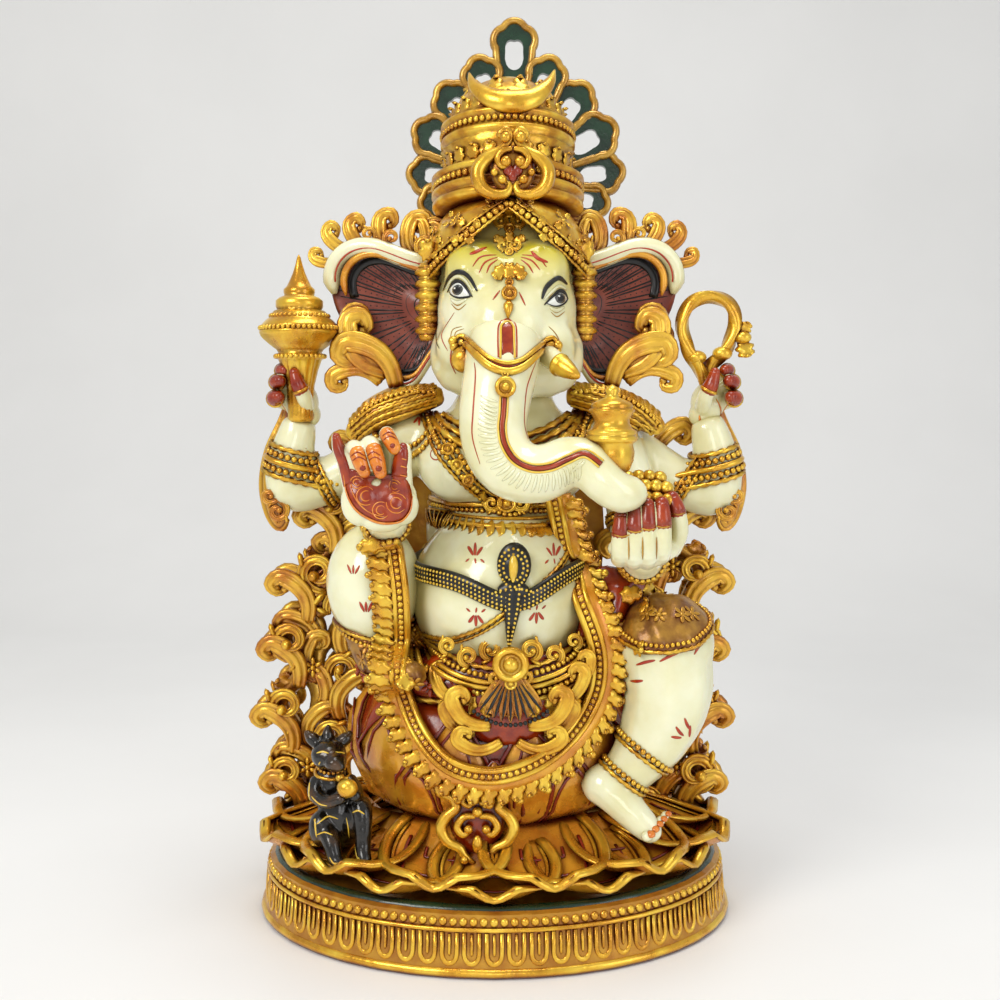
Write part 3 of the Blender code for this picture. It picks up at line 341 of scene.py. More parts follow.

# %% [markdown]
# ## Paints and gilding
# Gold is laid over a dark red size. Each hollow, found by how little open air is near it, is painted brown red: partly
# that size showing through, partly painted shade.
# The ivory is polished marble dust with a wax coat, with a painted olive shade in its folds. The rest is brushed
# lacquer, painted darker in its creases as shade.

# %% Paints and gilding
def look(name, tones, hollow_shade=None, reach=0.004, grain=90, rough=(0.25, 0.4), metal=0.0, coat=0.0,
         bump=0.15, bump_size=500, under=0.0, depth=1.0, tint=None):
    """A procedural paint. tones are the colours the grain wanders between; the hollow colour is painted shade, laid
    into crevices where open space within reach metres is small; tint is (colour, low, high), washed on from low to
    high."""
    material = bpy.data.materials.new(name)
    material.use_nodes = True
    tree = material.node_tree
    shader = tree.nodes["Principled BSDF"]
    new, link = tree.nodes.new, tree.links.new
    coords = new("ShaderNodeTexCoord")
    space = coords.outputs["Object"]
    cloud = new("ShaderNodeTexNoise")
    cloud.inputs["Scale"].default_value = grain
    cloud.inputs["Detail"].default_value = 4
    link(space, cloud.inputs["Vector"])
    ramp = new("ShaderNodeValToRGB")
    ramp.color_ramp.elements[0].position, ramp.color_ramp.elements[1].position = 0.35, 0.65
    ramp.color_ramp.elements[0].color = (*tones[0], 1)
    ramp.color_ramp.elements[1].color = (*tones[-1], 1)
    for i, tone in enumerate(tones[1:-1]):
        ramp.color_ramp.elements.new(0.35 + 0.3 * (i + 1) / (len(tones) - 1)).color = (*tone, 1)
    link(cloud.outputs["Fac"], ramp.inputs["Fac"])
    colour = ramp.outputs["Color"]
    if tint:
        axes, wash, over = new("ShaderNodeSeparateXYZ"), new("ShaderNodeMapRange"), new("ShaderNodeMix")
        wash.inputs["From Min"].default_value, wash.inputs["From Max"].default_value = tint[1:]
        over.data_type = "RGBA"
        over.inputs["B"].default_value = (*tint[0], 1)
        link(space, axes.inputs["Vector"])
        link(axes.outputs["Z"], wash.inputs["Value"])
        link(wash.outputs["Result"], over.inputs["Factor"])
        link(colour, over.inputs["A"])
        colour = over.outputs["Result"]
    # Painted shade: the colour turns to the hollow colour where ambient occlusion finds little open air within reach.
    if hollow_shade:
        shade = new("ShaderNodeAmbientOcclusion")
        shade.samples = 6
        shade.inputs["Distance"].default_value = reach
        open_air = new("ShaderNodeValToRGB")
        open_air.color_ramp.elements[0].position, open_air.color_ramp.elements[1].position = 0.30, 0.86
        link(shade.outputs["AO"], open_air.inputs["Fac"])
        mix = new("ShaderNodeMix")
        mix.data_type = "RGBA"
        link(open_air.outputs["Color"], mix.inputs["Factor"])
        faint = [h * depth + t * (1 - depth) for h, t in zip(hollow_shade, tones[0])]
        mix.inputs["A"].default_value = (*faint, 1)
        link(colour, mix.inputs["B"])
        colour = mix.outputs["Result"]
    link(colour, shader.inputs["Base Color"])
    uneven = new("ShaderNodeMapRange")
    uneven.inputs["To Min"].default_value, uneven.inputs["To Max"].default_value = rough
    link(cloud.outputs["Fac"], uneven.inputs["Value"])
    link(uneven.outputs["Result"], shader.inputs["Roughness"])
    fine = new("ShaderNodeTexNoise")
    fine.inputs["Scale"].default_value = bump_size
    link(coords.outputs["Object"], fine.inputs["Vector"])
    raised = new("ShaderNodeBump")
    raised.inputs["Strength"].default_value = bump
    raised.inputs["Distance"].default_value = 0.0006
    link(fine.outputs["Fac"], raised.inputs["Height"])
    link(raised.outputs["Normal"], shader.inputs["Normal"])
    shader.inputs["Metallic"].default_value = metal
    shader.inputs["Coat Weight"].default_value = coat
    shader.inputs["Coat Roughness"].default_value = 0.08
    if under:
        shader.inputs["Subsurface Weight"].default_value = under
        shader.inputs["Subsurface Radius"].default_value = (0.006, 0.004, 0.002)
        shader.inputs["Subsurface Scale"].default_value = 0.8
    return material


GOLD_TONES = ((0.58, 0.26, 0.014), (0.78, 0.43, 0.03), (0.90, 0.60, 0.06))
# The dark red size under the gilding; as the hollow colour of the golds and the cloth it is also painted shade in their
# crevices.
RED_SIZE_AND_SHADE = (0.16, 0.018, 0.004)
IVORY = ((0.76, 0.73, 0.42), (0.82, 0.81, 0.53), (0.86, 0.86, 0.61))
# In each look the colour after the tones, where there is one, is painted shade laid into crevices.
LOOKS = {
    "gold": (look("gold leaf", GOLD_TONES, RED_SIZE_AND_SHADE, 0.0042, 70, (0.2, 0.36), 0.72, 0.35, 0.25), "gold"),
    "carved": (look("carved gold", GOLD_TONES, RED_SIZE_AND_SHADE, 0.007, 110, (0.24, 0.42), 0.7, 0.3, 0.6, 260), "gold"),
    "amber": (look("amber gold", ((0.62, 0.22, 0.012), (0.80, 0.40, 0.03)), RED_SIZE_AND_SHADE, 0.006, 90, (0.2, 0.35),
                   0.35, 0.45, 0.25), "gold"),
    "throne": (look("throne gold", ((0.55, 0.2, 0.015), (0.78, 0.42, 0.035), (0.85, 0.52, 0.05)), RED_SIZE_AND_SHADE, 0.008, 60,
                    (0.22, 0.38), 0.6, 0.35, 0.4, 300), "gold"),
    "antique": (look("antique gold", ((0.42, 0.17, 0.015), (0.62, 0.33, 0.03)), RED_SIZE_AND_SHADE, 0.006, 80, (0.28, 0.42),
                     0.6, 0.25, 0.4, 300), "gold"),
    "ivory": (look("ivory marble", IVORY, (0.50, 0.42, 0.13), 0.016, 45, (0.12, 0.2), 0, 0.5, 0.05, 900, 0.12,
                   0.8), "marble"),
    "brow": (look("tinted marble", IVORY, (0.50, 0.42, 0.13), 0.016, 45, (0.12, 0.2), 0, 0.5, 0.05, 900, 0.12, 0.8,
                  ((0.60, 0.50, 0.015), head(0, 0, 302).z, head(0, 0, 330).z)), "marble"),
    "maroon": (look("maroon lacquer", ((0.16, 0.012, 0.006), (0.27, 0.022, 0.008)), (0.06, 0.004, 0.002), 0.005,
                    80, (0.18, 0.3), 0, 0.4, 0.15), "maroon"),
    "red line": (look("red line", ((0.38, 0.02, 0.004), (0.5, 0.05, 0.006)), None, 0.001, 300, (0.25, 0.4), 0, 0.2,
                      0.05), "marble"),
    "orange": (look("orange henna", ((0.62, 0.13, 0.008), (0.80, 0.28, 0.02)), (0.25, 0.02, 0.004), 0.003, 200,
                    (0.15, 0.28), 0, 0.5, 0.1), "marble"),
    "henna": (look("henna maroon", ((0.22, 0.012, 0.001), (0.38, 0.042, 0.002)), (0.08, 0.005, 0.001), 0.004, 160,
                   (0.16, 0.3), 0, 0.3, 0.15), "marble"),
    "ear": (look("ear red", ((0.15, 0.018, 0.006), (0.27, 0.045, 0.014)), (0.02, 0.004, 0.004), 0.01, 120,
                 (0.25, 0.4), 0, 0.25, 0.2), "ear_red"),
    "green": (look("dark green", ((0.002, 0.018, 0.007), (0.006, 0.042, 0.016)), (0.001, 0.004, 0.002), 0.006, 90,
                   (0.2, 0.34), 0, 0.3, 0.2), "crest_green"),
    "rim": (look("feather gold", ((0.42, 0.2, 0.02), (0.62, 0.36, 0.05)), (0.08, 0.03, 0.004), 0.003, 120,
                 (0.22, 0.36), 0.5, 0.4, 0.3), "gold"),
    "lacquer": (look("black lacquer", ((0.004, 0.003, 0.002), (0.006, 0.004, 0.002), (0.075, 0.032, 0.008)), (0.002, 0.001, 0.001), 0.006,
                     100, (0.14, 0.3), 0, 0.35, 0.25), "lacquer"),
    "black": (look("black paint", ((0.003, 0.003, 0.003), (0.006, 0.005, 0.005)), None, 0.001, 200, (0.3, 0.45), 0,
                   0.1, 0.05), "lacquer"),
    "white": (look("white of the eye", ((0.80, 0.82, 0.76), (0.88, 0.9, 0.85)), None, 0.001, 200, (0.08, 0.14), 0,
                   0.7, 0.02), "marble"),
    "iris": (look("grey iris", ((0.02, 0.022, 0.02), (0.075, 0.08, 0.075)), None, 0.001, 900, (0.08, 0.14), 0, 0.8,
                  0.02), "marble"),
    "snake": (look("snake black", ((0.003, 0.003, 0.002), (0.009, 0.007, 0.004)), None, 0.004, 160, (0.25, 0.4),
                   0, 0.15, 0.2), "snake_black"),
    "yellow": (look("yellow paint", ((0.75, 0.45, 0.03), (0.85, 0.6, 0.07)), None, 0.001, 200, (0.2, 0.3), 0, 0.4,
                    0.05), "gold"),
    "cloth": (look("brown gold cloth", ((0.20, 0.075, 0.01), (0.42, 0.21, 0.025)), RED_SIZE_AND_SHADE, 0.005, 140, (0.3, 0.45),
                   0.4, 0.2, 0.5, 420), "gold"),
}
SLOT_LOOK = {"gold": "gold", "marble": "ivory", "ear_red": "ear", "crest_green": "green", "maroon": "maroon",
             "lacquer": "lacquer", "snake_black": "snake"}
for part in frame["record"]["subparts"]:
    kept = nodes[part["node"]]
    kept.data.materials.clear()
    kept.data.materials.append(LOOKS[SLOT_LOOK[part["material_slot"]]][0])
print(len(LOOKS), "looks")

# %% [markdown]
# ## Floor
# One sheet that bends up into the backdrop behind the idol.

# %% Floor
def floor_sheet():
    points, faces = [], []
    profile = [(-2.2, 0.0), (0.7, 0.0)]
    profile += [(0.7 + 0.6 * math.sin(a), 0.6 - 0.6 * math.cos(a)) for a in
                (math.pi / 2 * k / 16 for k in range(1, 17))] + [(1.3, 2.4)]
    for y, z in profile:
        points += [(-2.6, y, z), (2.6, y, z)]
    for i in range(len(profile) - 1):
        faces.append([2 * i, 2 * i + 1, 2 * i + 3, 2 * i + 2])
    mesh = bpy.data.meshes.new("floor")
    mesh.from_pydata(points, [], faces)
    mesh.polygons.foreach_set("use_smooth", [True] * len(faces))
    mesh.materials.append(look("pale floor", ((0.86, 0.86, 0.85), (0.9, 0.9, 0.89)), None, 0.01, 3, (0.5, 0.6),
                               bump=0.0))
    sheet = bpy.data.objects.new("floor", mesh)
    sheet.location.z = CAD_BOX[0][2] - 0.0003
    scene.collection.objects.link(sheet)


floor_sheet()

# %% [markdown]
# ## Repeated ornament
# Three node trees do the repeating: beads threaded along a path, a rope laid along a path,
# and small carved ornaments set on a surface. A carver repeats the same motif by eye in the same way.

# %% Node trees
def node_tree(name, inputs):
    """A Geometry Nodes tree with named inputs; inputs are (name, socket type, value)."""
    tree = bpy.data.node_groups.new(name, "GeometryNodeTree")
    tree.interface.new_socket("Geometry", in_out="INPUT", socket_type="NodeSocketGeometry")
    for label, kind, value in inputs:
        socket = tree.interface.new_socket(label, in_out="INPUT", socket_type=kind)
        if value is not None:
            socket.default_value = value
    tree.interface.new_socket("Geometry", in_out="OUTPUT", socket_type="NodeSocketGeometry")
    return tree, tree.nodes.new("NodeGroupInput"), tree.nodes.new("NodeGroupOutput")


def finish_tree(tree, start, end, source):
    """Smooth shading and the material, then out."""
    soft = tree.nodes.new("GeometryNodeSetShadeSmooth")
    paint = tree.nodes.new("GeometryNodeSetMaterial")
    tree.links.new(source, soft.inputs["Geometry"])
    tree.links.new(soft.outputs["Geometry"], paint.inputs["Geometry"])
    tree.links.new(start.outputs["Material"], paint.inputs["Material"])
    tree.links.new(paint.outputs["Geometry"], end.inputs["Geometry"])


def bead_tree():
    tree, start, end = node_tree("beads on a path", [("Spacing", "NodeSocketFloat", 0.004),
                                 ("Radius", "NodeSocketFloat", 0.002), ("Material", "NodeSocketMaterial", None)])
    line = tree.nodes.new("GeometryNodeMeshToCurve")
    even = tree.nodes.new("GeometryNodeResampleCurve")
    even.mode = "LENGTH"
    bead = tree.nodes.new("GeometryNodeMeshUVSphere")
    bead.inputs["Segments"].default_value, bead.inputs["Rings"].default_value = 8, 6
    put = tree.nodes.new("GeometryNodeInstanceOnPoints")
    real = tree.nodes.new("GeometryNodeRealizeInstances")
    link = tree.links.new
    link(start.outputs["Geometry"], line.inputs["Mesh"])
    link(line.outputs["Curve"], even.inputs["Curve"])
    link(start.outputs["Spacing"], even.inputs["Length"])
    link(start.outputs["Radius"], bead.inputs["Radius"])
    link(even.outputs["Curve"], put.inputs["Points"])
    link(bead.outputs["Mesh"], put.inputs["Instance"])
    link(put.outputs["Instances"], real.inputs["Geometry"])
    finish_tree(tree, start, end, real.outputs["Geometry"])
    return tree


def rope_tree():
    tree, start, end = node_tree("rope on a path", [("Radius", "NodeSocketFloat", 0.002),
                                 ("Twist", "NodeSocketFloat", 900.0), ("Material", "NodeSocketMaterial", None)])
    new, link = tree.nodes.new, tree.links.new
    line, even = new("GeometryNodeMeshToCurve"), new("GeometryNodeResampleCurve")
    even.mode = "LENGTH"
    gap = new("ShaderNodeMath")
    gap.operation = "MULTIPLY"
    gap.inputs[1].default_value = 0.4
    along, turn, tilt = new("GeometryNodeSplineParameter"), new("ShaderNodeMath"), new("GeometryNodeSetCurveTilt")
    turn.operation = "MULTIPLY"
    star, sweep_it = new("GeometryNodeCurveStar"), new("GeometryNodeCurveToMesh")
    star.inputs["Points"].default_value = 3
    inner = new("ShaderNodeMath")
    inner.operation = "MULTIPLY"
    inner.inputs[1].default_value = 0.62
    sweep_it.inputs["Fill Caps"].default_value = True
    link(start.outputs["Geometry"], line.inputs["Mesh"])
    link(start.outputs["Radius"], gap.inputs[0])
    link(line.outputs["Curve"], even.inputs["Curve"])
    link(gap.outputs[0], even.inputs["Length"])
    link(along.outputs["Length"], turn.inputs[0])
    link(start.outputs["Twist"], turn.inputs[1])
    link(even.outputs["Curve"], tilt.inputs["Curve"])
    link(turn.outputs[0], tilt.inputs["Tilt"])
    link(start.outputs["Radius"], star.inputs["Outer Radius"])
    link(start.outputs["Radius"], inner.inputs[0])
    link(inner.outputs[0], star.inputs["Inner Radius"])
    link(tilt.outputs["Curve"], sweep_it.inputs["Curve"])
    link(star.outputs["Curve"], sweep_it.inputs["Profile Curve"])
    finish_tree(tree, start, end, sweep_it.outputs["Mesh"])
    return tree


def ornament_tree():
    tree, start, end = node_tree("ornaments on points", [("Template", "NodeSocketObject", None),
                                 ("Material", "NodeSocketMaterial", None)])
    new, link = tree.nodes.new, tree.links.new
    info, put, real = new("GeometryNodeObjectInfo"), new("GeometryNodeInstanceOnPoints"), new(
        "GeometryNodeRealizeInstances")
    aim = new("FunctionNodeAxesToRotation")
    aim.primary_axis, aim.secondary_axis = "Z", "X"
    for label, target in (("facing", aim.inputs[0]), ("along", aim.inputs[1]), ("size", put.inputs["Scale"])):
        named = new("GeometryNodeInputNamedAttribute")
        named.data_type = "FLOAT_VECTOR"
        named.inputs["Name"].default_value = label
        link(named.outputs["Attribute"], target)
    link(start.outputs["Geometry"], put.inputs["Points"])
    link(start.outputs["Template"], info.inputs["Object"])
    link(info.outputs["Geometry"], put.inputs["Instance"])
    link(aim.outputs["Rotation"], put.inputs["Rotation"])
    link(put.outputs["Instances"], real.inputs["Geometry"])
    finish_tree(tree, start, end, real.outputs["Geometry"])
    return tree


BEADS, ROPE, ORNAMENTS = bead_tree(), rope_tree(), ornament_tree()


def grown(name, mesh, tree, values, look):
    """The mesh put through a tree and made real, as one piece."""
    piece = bpy.data.objects.new(name, mesh)
    scene.collection.objects.link(piece)
    modifier = piece.modifiers.new("tree", "NODES")
    modifier.node_group = tree
    sockets = {s.name: s.identifier for s in tree.interface.items_tree if s.item_type == "SOCKET"
               and s.in_out == "INPUT"}
    for label, value in {**values, "Material": LOOKS[look][0]}.items():
        modifier[sockets[label]] = value
    return shown(evaluated(piece), look)


def path_mesh(paths, closed=False):
    """A mesh of edges along each path."""
    points, edges = [], []
    for path in paths:
        start, n = len(points), len(path)
        points += [Vector(p[:3]) for p in path]
        edges += [(start + i, start + i + 1) for i in range(n - 1)] + ([(start + n - 1, start)] if closed else [])
    mesh = bpy.data.meshes.new("path")
    mesh.from_pydata(points, edges, [])
    return mesh


def beads(name, paths, radius, spacing=1.9, closed=False, look="gold"):
    """Round beads of that radius in mm, threaded along the paths; spacing counts in radii."""
    return grown(name, path_mesh(paths, closed), BEADS,
                 {"Spacing": radius * spacing * MM, "Radius": radius * MM}, look)


def rope(name, paths, radius, twist=1.0, closed=False, look="gold"):
    """A rope of three strands along the paths; twist is turns per ten radii."""
    return grown(name, path_mesh(paths, closed), ROPE,
                 {"Radius": radius * MM, "Twist": twist * 2 * math.pi / (10 * radius * MM)}, look)


def ornaments(name, template, spots, look):
    """The template set on each spot: (place, facing, along, size), the size in mm or one per axis."""
    points = bpy.data.meshes.new("spots")
    points.from_pydata([s[0] for s in spots], [], [])
    for i, label in enumerate(("facing", "along", "size")):
        values = []
        for spot in spots:
            value = spot[i + 1]
            if label == "size":
                value = [v * MM for v in (value if isinstance(value, (list, tuple)) else [value] * 3)]
            values += list(value)
        points.attributes.new(label, "FLOAT_VECTOR", "POINT").data.foreach_set("vector", values)
    mesh = bpy.data.meshes.new("template")
    mesh.from_pydata(template.points, [], template.faces)
    pattern = bpy.data.objects.new("template", mesh)
    scene.collection.objects.link(pattern)
    piece = grown(name, points, ORNAMENTS, {"Template": pattern}, look)
    bpy.data.objects.remove(pattern)
    return piece


# %% [markdown]
# ## Motifs
# Each motif faces +Z and grows along +X, one unit long: an acanthus leaf with a curled tip, a scroll that ends
# in a bud, a fluted tongue, a five-petalled flower and a round medal.

# %% Motifs
def grid_solid(heap, top, thick, outs=None, mark=0.0):
    """A closed leaf from rows of points; the underside lies thick below, along -Z or against each row's
    outward directions, and pinches at the edges."""
    rows, columns = len(top), len(top[0])
    points = [Vector(p) for row in top for p in row]
    under = []
    for i in range(rows):
        for j in range(columns):
            edge = 0.3 if j in (0, columns - 1) or i in (0, rows - 1) else 1.0
            under.append(points[i * columns + j] - (outs[i][j] if outs else Vector((0, 0, 1))) * thick * edge)
    faces = []
    for i in range(rows - 1):
        for j in range(columns - 1):
            a = i * columns + j
            faces.append([a, a + columns, a + columns + 1, a + 1])
    lower = len(points)
    faces += [[lower + k for k in f[::-1]] for f in faces]
    rim = ([j for j in range(columns)] + [i * columns + columns - 1 for i in range(1, rows)]
           + [(rows - 1) * columns + j for j in range(columns - 2, -1, -1)] + [i * columns for i in range(rows - 2, 0, -1)])
    for k, a in enumerate(rim):
        b = rim[(k + 1) % len(rim)]
        faces.append([a, b, b + lower, a + lower])
    heap.add(points + under, faces, mark)


def leaf(width=0.32, lobes=3, curl=0.9, rise=0.16):
    heap, rows, top = Heap(), 11, []
    for i in range(rows):
        t = i / (rows - 1)
        half = width * math.sin(math.pi * min(1, 0.12 + 0.88 * t)) ** 0.7 * (1 + 0.22 * math.cos(2 * math.pi * lobes * t))
        turn = max(0.0, t - 0.62) / 0.38 * curl * math.pi
        x = min(t, 0.62) + 0.14 * math.sin(turn)
        z = rise * math.sin(math.pi * 0.5 * min(1, t / 0.62)) + 0.14 * (1 - math.cos(turn))
        groove = 0.05 * (1 + math.cos(2 * math.pi * lobes * t))
        top.append([(x - 0.06, -half, z - 0.10), (x, -half * 0.5, z + 0.03 + groove * 0.4), (x + 0.02, 0, z - 0.02),
                    (x, half * 0.5, z + 0.03 + groove * 0.4), (x - 0.06, half, z - 0.10)])
    grid_solid(heap, top, 0.09)
    return heap


RIBBED = [(-1, 0.0), (-0.86, 0.34), (-0.62, 0.42), (-0.46, 0.2), (-0.24, 0.5), (0, 0.56), (0.24, 0.5), (0.46, 0.2), (0.62, 0.42),
          (0.86, 0.34), (1, 0.0), (0.6, -0.4), (-0.6, -0.4)]


def scroll(turns=1.2, side=1, wide=0.15, lobes=2):
    """A ribbed C-scroll one unit across that winds in to a bud, with leaf lobes on its outer side."""
    heap, n, path, radii = Heap(), 22, [], []
    for i in range(n):
        s = i / (n - 1)
        a = side * (turns * 2 * math.pi * s) - side * math.pi * 0.9
        r = 0.42 * (1 - 0.76 * s ** 0.85)
        path.append(Vector((r * math.cos(a), r * math.sin(a), 0.08 + 0.16 * s)))
        radii.append(wide * (0.35 + 0.65 * math.sin(math.pi * min(0.5, s * 2.2 + 0.08))) * (1 - 0.45 * s))
    sweep(heap, path, radii, out=Vector((0, 0, 1)), section=RIBBED)
    blob(heap, path[-1] + Vector((0, 0, 0.0)), 0.12, rings=6, sides=8)
    for k in range(lobes):
        s = 0.06 + 0.3 * k / max(1, lobes - 1)
        p = path[int(s * (n - 1))]
        out = Vector((p.x, p.y, 0)).normalized()
        turn = Quaternion((0, 0, 1), math.atan2(out.y, out.x) + side * 0.7).to_matrix()
        blob(heap, p + out * 0.13, 0.2 - 0.03 * k, (1.0, 0.4, 0.5), turn, 6, 7)
    return heap


def plume(side=1):
    """A ribbed acanthus plume that climbs in an S and curls over at the tip, one unit long."""
    heap, n = Heap(), 20
    route = smooth_path([(0, 0), (0.25, 0.10 * side), (0.52, 0.10 * side), (0.78, -0.04 * side), (0.92, -0.22 * side),
                         (0.82, -0.38 * side), (0.66, -0.32 * side), (0.68, -0.2 * side)], 3)
    n = len(route)
    path = [Vector((x, y, 0.05 + 0.16 * math.sin(math.pi * min(1, i / n * 1.1)))) for i, (x, y) in enumerate(route)]
    radii = [0.17 * (0.45 + 0.55 * math.sin(math.pi * (0.12 + 0.55 * i / n))) * (1 - 0.62 * max(0, i / n - 0.45) / 0.55)
             for i in range(n)]
    sweep(heap, path, radii, out=Vector((0, 0, 1)), section=RIBBED)
    blob(heap, path[-1], 0.09, rings=6, sides=8)
    return heap


def tongue():
    """A rounded tongue with a raised border, as on the hem of the garland."""
    heap, top = Heap(), []
    for i in range(7):
        t = i / 6
        half = 0.36 * (1 - t ** 3.2) ** 0.5 + 0.015
        top.append([(t, -half, 0.02), (t - 0.03, -half * 0.78, 0.13), (t - 0.04, -half * 0.35, 0.05),
                    (t - 0.02, 0, 0.12), (t - 0.04, half * 0.35, 0.05), (t - 0.03, half * 0.78, 0.13), (t, half, 0.02)])
    grid_solid(heap, top, 0.12)
    return heap


def arch():
    """A U-shaped flute with a rib in the middle."""
    heap = Heap()
    path = [(0, -0.3, 0.05)] + [(0.62 + 0.3 * math.sin(a), -0.3 * math.cos(a), 0.05) for a in
                                (math.pi * k / 8 for k in range(9))] + [(0, 0.3, 0.05)]
    sweep(heap, path, 0.10, 6, 0.9, Vector((0, 0, 1)))
    sweep(heap, [(0.05, 0, 0.03), (0.62, 0, 0.05), (0.7, 0, 0.02)], [0.07, 0.07, 0.02], 6, 1.0, Vector((0, 0, 1)))
    return heap


def flower(petals=6):
    heap = Heap()
    for k in range(petals):
        a = 2 * math.pi * k / petals
        out = Vector((math.cos(a), math.sin(a), 0))
        blob(heap, out * 0.3 + Vector((0, 0, 0.06)), 0.22, (1.0, 0.55, 0.5), Quaternion((0, 0, 1), a).to_matrix(), 6, 7)
    blob(heap, (0, 0, 0.1), 0.15, rings=6, sides=8)
    return heap


def medal():
    heap = Heap()
    lathe(heap, (0, 0, 0), (0, 0, 1), [(0.3, -0.05), (0.48, 0.0), (0.5, 0.12), (0.42, 0.2), (0.34, 0.2), (0.3, 0.1),
                                      (0.2, 0.1), (0.18, 0.22), (0.02, 0.28)], 16)
    return heap


LEAF, TONGUE, ARCH, FLOWER, MEDAL = leaf(), tongue(), arch(), flower(), medal()
SCROLL = {1: scroll(side=1), -1: scroll(side=-1)}
PLUME = {1: plume(1), -1: plume(-1)}
print("leaf", len(LEAF.faces), "scroll", len(SCROLL[1].faces), "tongue", len(TONGUE.faces), "faces")


def ray_ring(skin, centre, z, count, reach=0.3, first=0.0, last=2 * math.pi):
    """(place, outward normal) round an upright axis at that height, where rays towards the axis meet the skin."""
    ring = []
    for k in range(count):
        a = first + (last - first) * k / count
        out = Vector((math.sin(a), -math.cos(a), 0))
        start = Vector((centre[0], centre[1], z)) + out * reach
        hit, normal, _, _ = skin.ray_cast(start, -out, reach)
        if hit is not None:
            ring.append((hit, normal if normal.dot(out) > 0 else -normal))
    return ring


def even_ring(ring, count, shift=0.0):
    """The ring's places set out at equal steps along its length."""
    points = [p for p, _ in ring]
    steps = [(points[(i + 1) % len(points)] - p).length for i, p in enumerate(points)]
    total, out = sum(steps), []
    for k in range(count):
        want, i = ((k + shift) / count % 1) * total, 0
        while want > steps[i]:
            want -= steps[i]
            i += 1
        t = want / steps[i]
        j = (i + 1) % len(points)
        out.append((points[i].lerp(points[j], t), ring[i][1].lerp(ring[j][1], t).normalized()))
    return out


# %% [markdown]
# ## Plinth and lotus
# The plinth is cast with a row of U-shaped flutes, a bead moulding on its top edge and a recessed green band.
# Two layers of broad petals lie on it, each with a rolled gold border and a maroon line inside.

# %% Plinth
deck, seat = region["plinth"], region["lotus_seat"]
AXIS = deck(0, 0, 0)
plinth_skin = skin_of(nodes["plinth"])
nodes["plinth"].data.materials[0] = LOOKS["antique"][0]
low_ring = ray_ring(plinth_skin, AXIS, deck(0, 0, 20).z, 160)
ornaments("plinth_flutes", ARCH, [(p + n * 0.2 * MM, n, (0, 0, -1), (15.5, 11.5, 9)) for p, n in even_ring(low_ring, 64)],
          "gold")
for name, z, radius, out in (("plinth_foot_rail", 2.2, 2.4, 0.2), ("plinth_rail", 21.2, 1.1, 0.6)):
    heap = Heap()
    line = [p + n * out * MM for p, n in even_ring(ray_ring(plinth_skin, AXIS, deck(0, 0, z).z, 160), 160)]
    sweep(heap, line, radius * MM, 8, 1, Vector((0, 0, 1)), True)
    heap.made(name, "gold")
edge_ring = even_ring(ray_ring(plinth_skin, AXIS, deck(0, 0, 22).z, 160), 160)
beads("plinth_beads", [[Vector((p.x, p.y, deck(0, 0, 24.6).z)) - n * 0.8 * MM for p, n in edge_ring]], 2.3, 2.02, True)
heap = Heap()
sweep(heap, [Vector((p.x, p.y, deck(0, 0, 28).z)) - n * 5.2 * MM for p, n in edge_ring], 3.2 * MM, 8, 1,
      Vector((0, 0, 1)), True)
heap.made("plinth_green_band", "green")


# %% Lotus petals
def petal_point(t, u):
    """A place on the petal: t from root to tip, u from -1 to 1 across."""
    half = 0.5 * math.sin(math.pi * (0.24 + 0.56 * t)) ** 0.8 * (1 - 0.62 * (max(0, t - 0.72) / 0.28) ** 2) + 0.015
    return Vector((t - 0.06 * abs(u) ** 1.5 * t, u * half, 0.04 + 0.05 * t + 0.30 * t ** 5 + 0.15 * u * u * (0.5 + 0.7 * t)
                   - 0.07 * math.cos(u * math.pi / 2) * math.sin(math.pi * t)))


def petal_body():
    heap = Heap()
    grid_solid(heap, [[petal_point(i / 9, j / 4 - 1) for j in range(9)] for i in range(10)], 0.10)
    return heap


def petal_line(inset, lift, radius, start=0.0):
    """A raised line that follows the petal's edge, inset from it."""
    heap, reach = Heap(), 1 - inset * 0.8
    route = [(start + (reach - start) * k / 9, -1 + inset) for k in range(10)]
    route += [(reach + 0.01, (-1 + inset) * (1 - k / 3)) for k in range(1, 6)]
    route += [(start + (reach - start) * k / 9, 1 - inset) for k in range(9, -1, -1)]
    sweep(heap, [petal_point(min(t, 1), u) + Vector((0, 0, lift)) for t, u in route], radius, 6, 0.7,
          Vector((0, 0, 1)))
    return heap


def oval(width, depth, count=120):
    """(place, outward) round an upright oval on the plinth, in its millimetres."""
    return [(deck(width * math.sin(a), -depth * math.cos(a), 0), Vector((math.sin(a) * depth, -math.cos(a) * width, 0)
             ).normalized()) for a in (2 * math.pi * k / count for k in range(count))]


UP, petals = Vector((0, 0, 1)), []
for z, width, depth, count, shift, length in ((25.0, 113, 82, 12, 0.0, 52), (29.5, 117, 83, 12, 0.5, 60)):
    for p, n in even_ring(oval(width, depth), count, shift):
        run, fall = length * (0.74 + 0.26 * abs(n.x)), math.radians(35 - 17 * abs(n.x))
        along, facing = n * math.cos(fall) - UP * math.sin(fall), n * math.sin(fall) + UP * math.cos(fall)
        petals.append((Vector((p.x, p.y, deck(0, 0, z).z)) - along * run * MM, facing, along, (run, 58, 31)))
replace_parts(ornaments("lotus_petals", petal_body(), petals, "amber"), "lotus_petals_lower", "lotus_petals_upper")
ornaments("petal_borders", petal_line(0.03, 0.012, 0.05), petals, "gold")
ornaments("petal_second_borders", petal_line(0.17, 0.02, 0.018, 0.1), petals, "gold")
ornaments("petal_maroon_lines", petal_line(0.34, 0.02, 0.016, 0.25), petals, "maroon")
ornaments("petal_inner_lines", petal_line(0.66, 0.02, 0.014, 0.35), petals, "maroon")
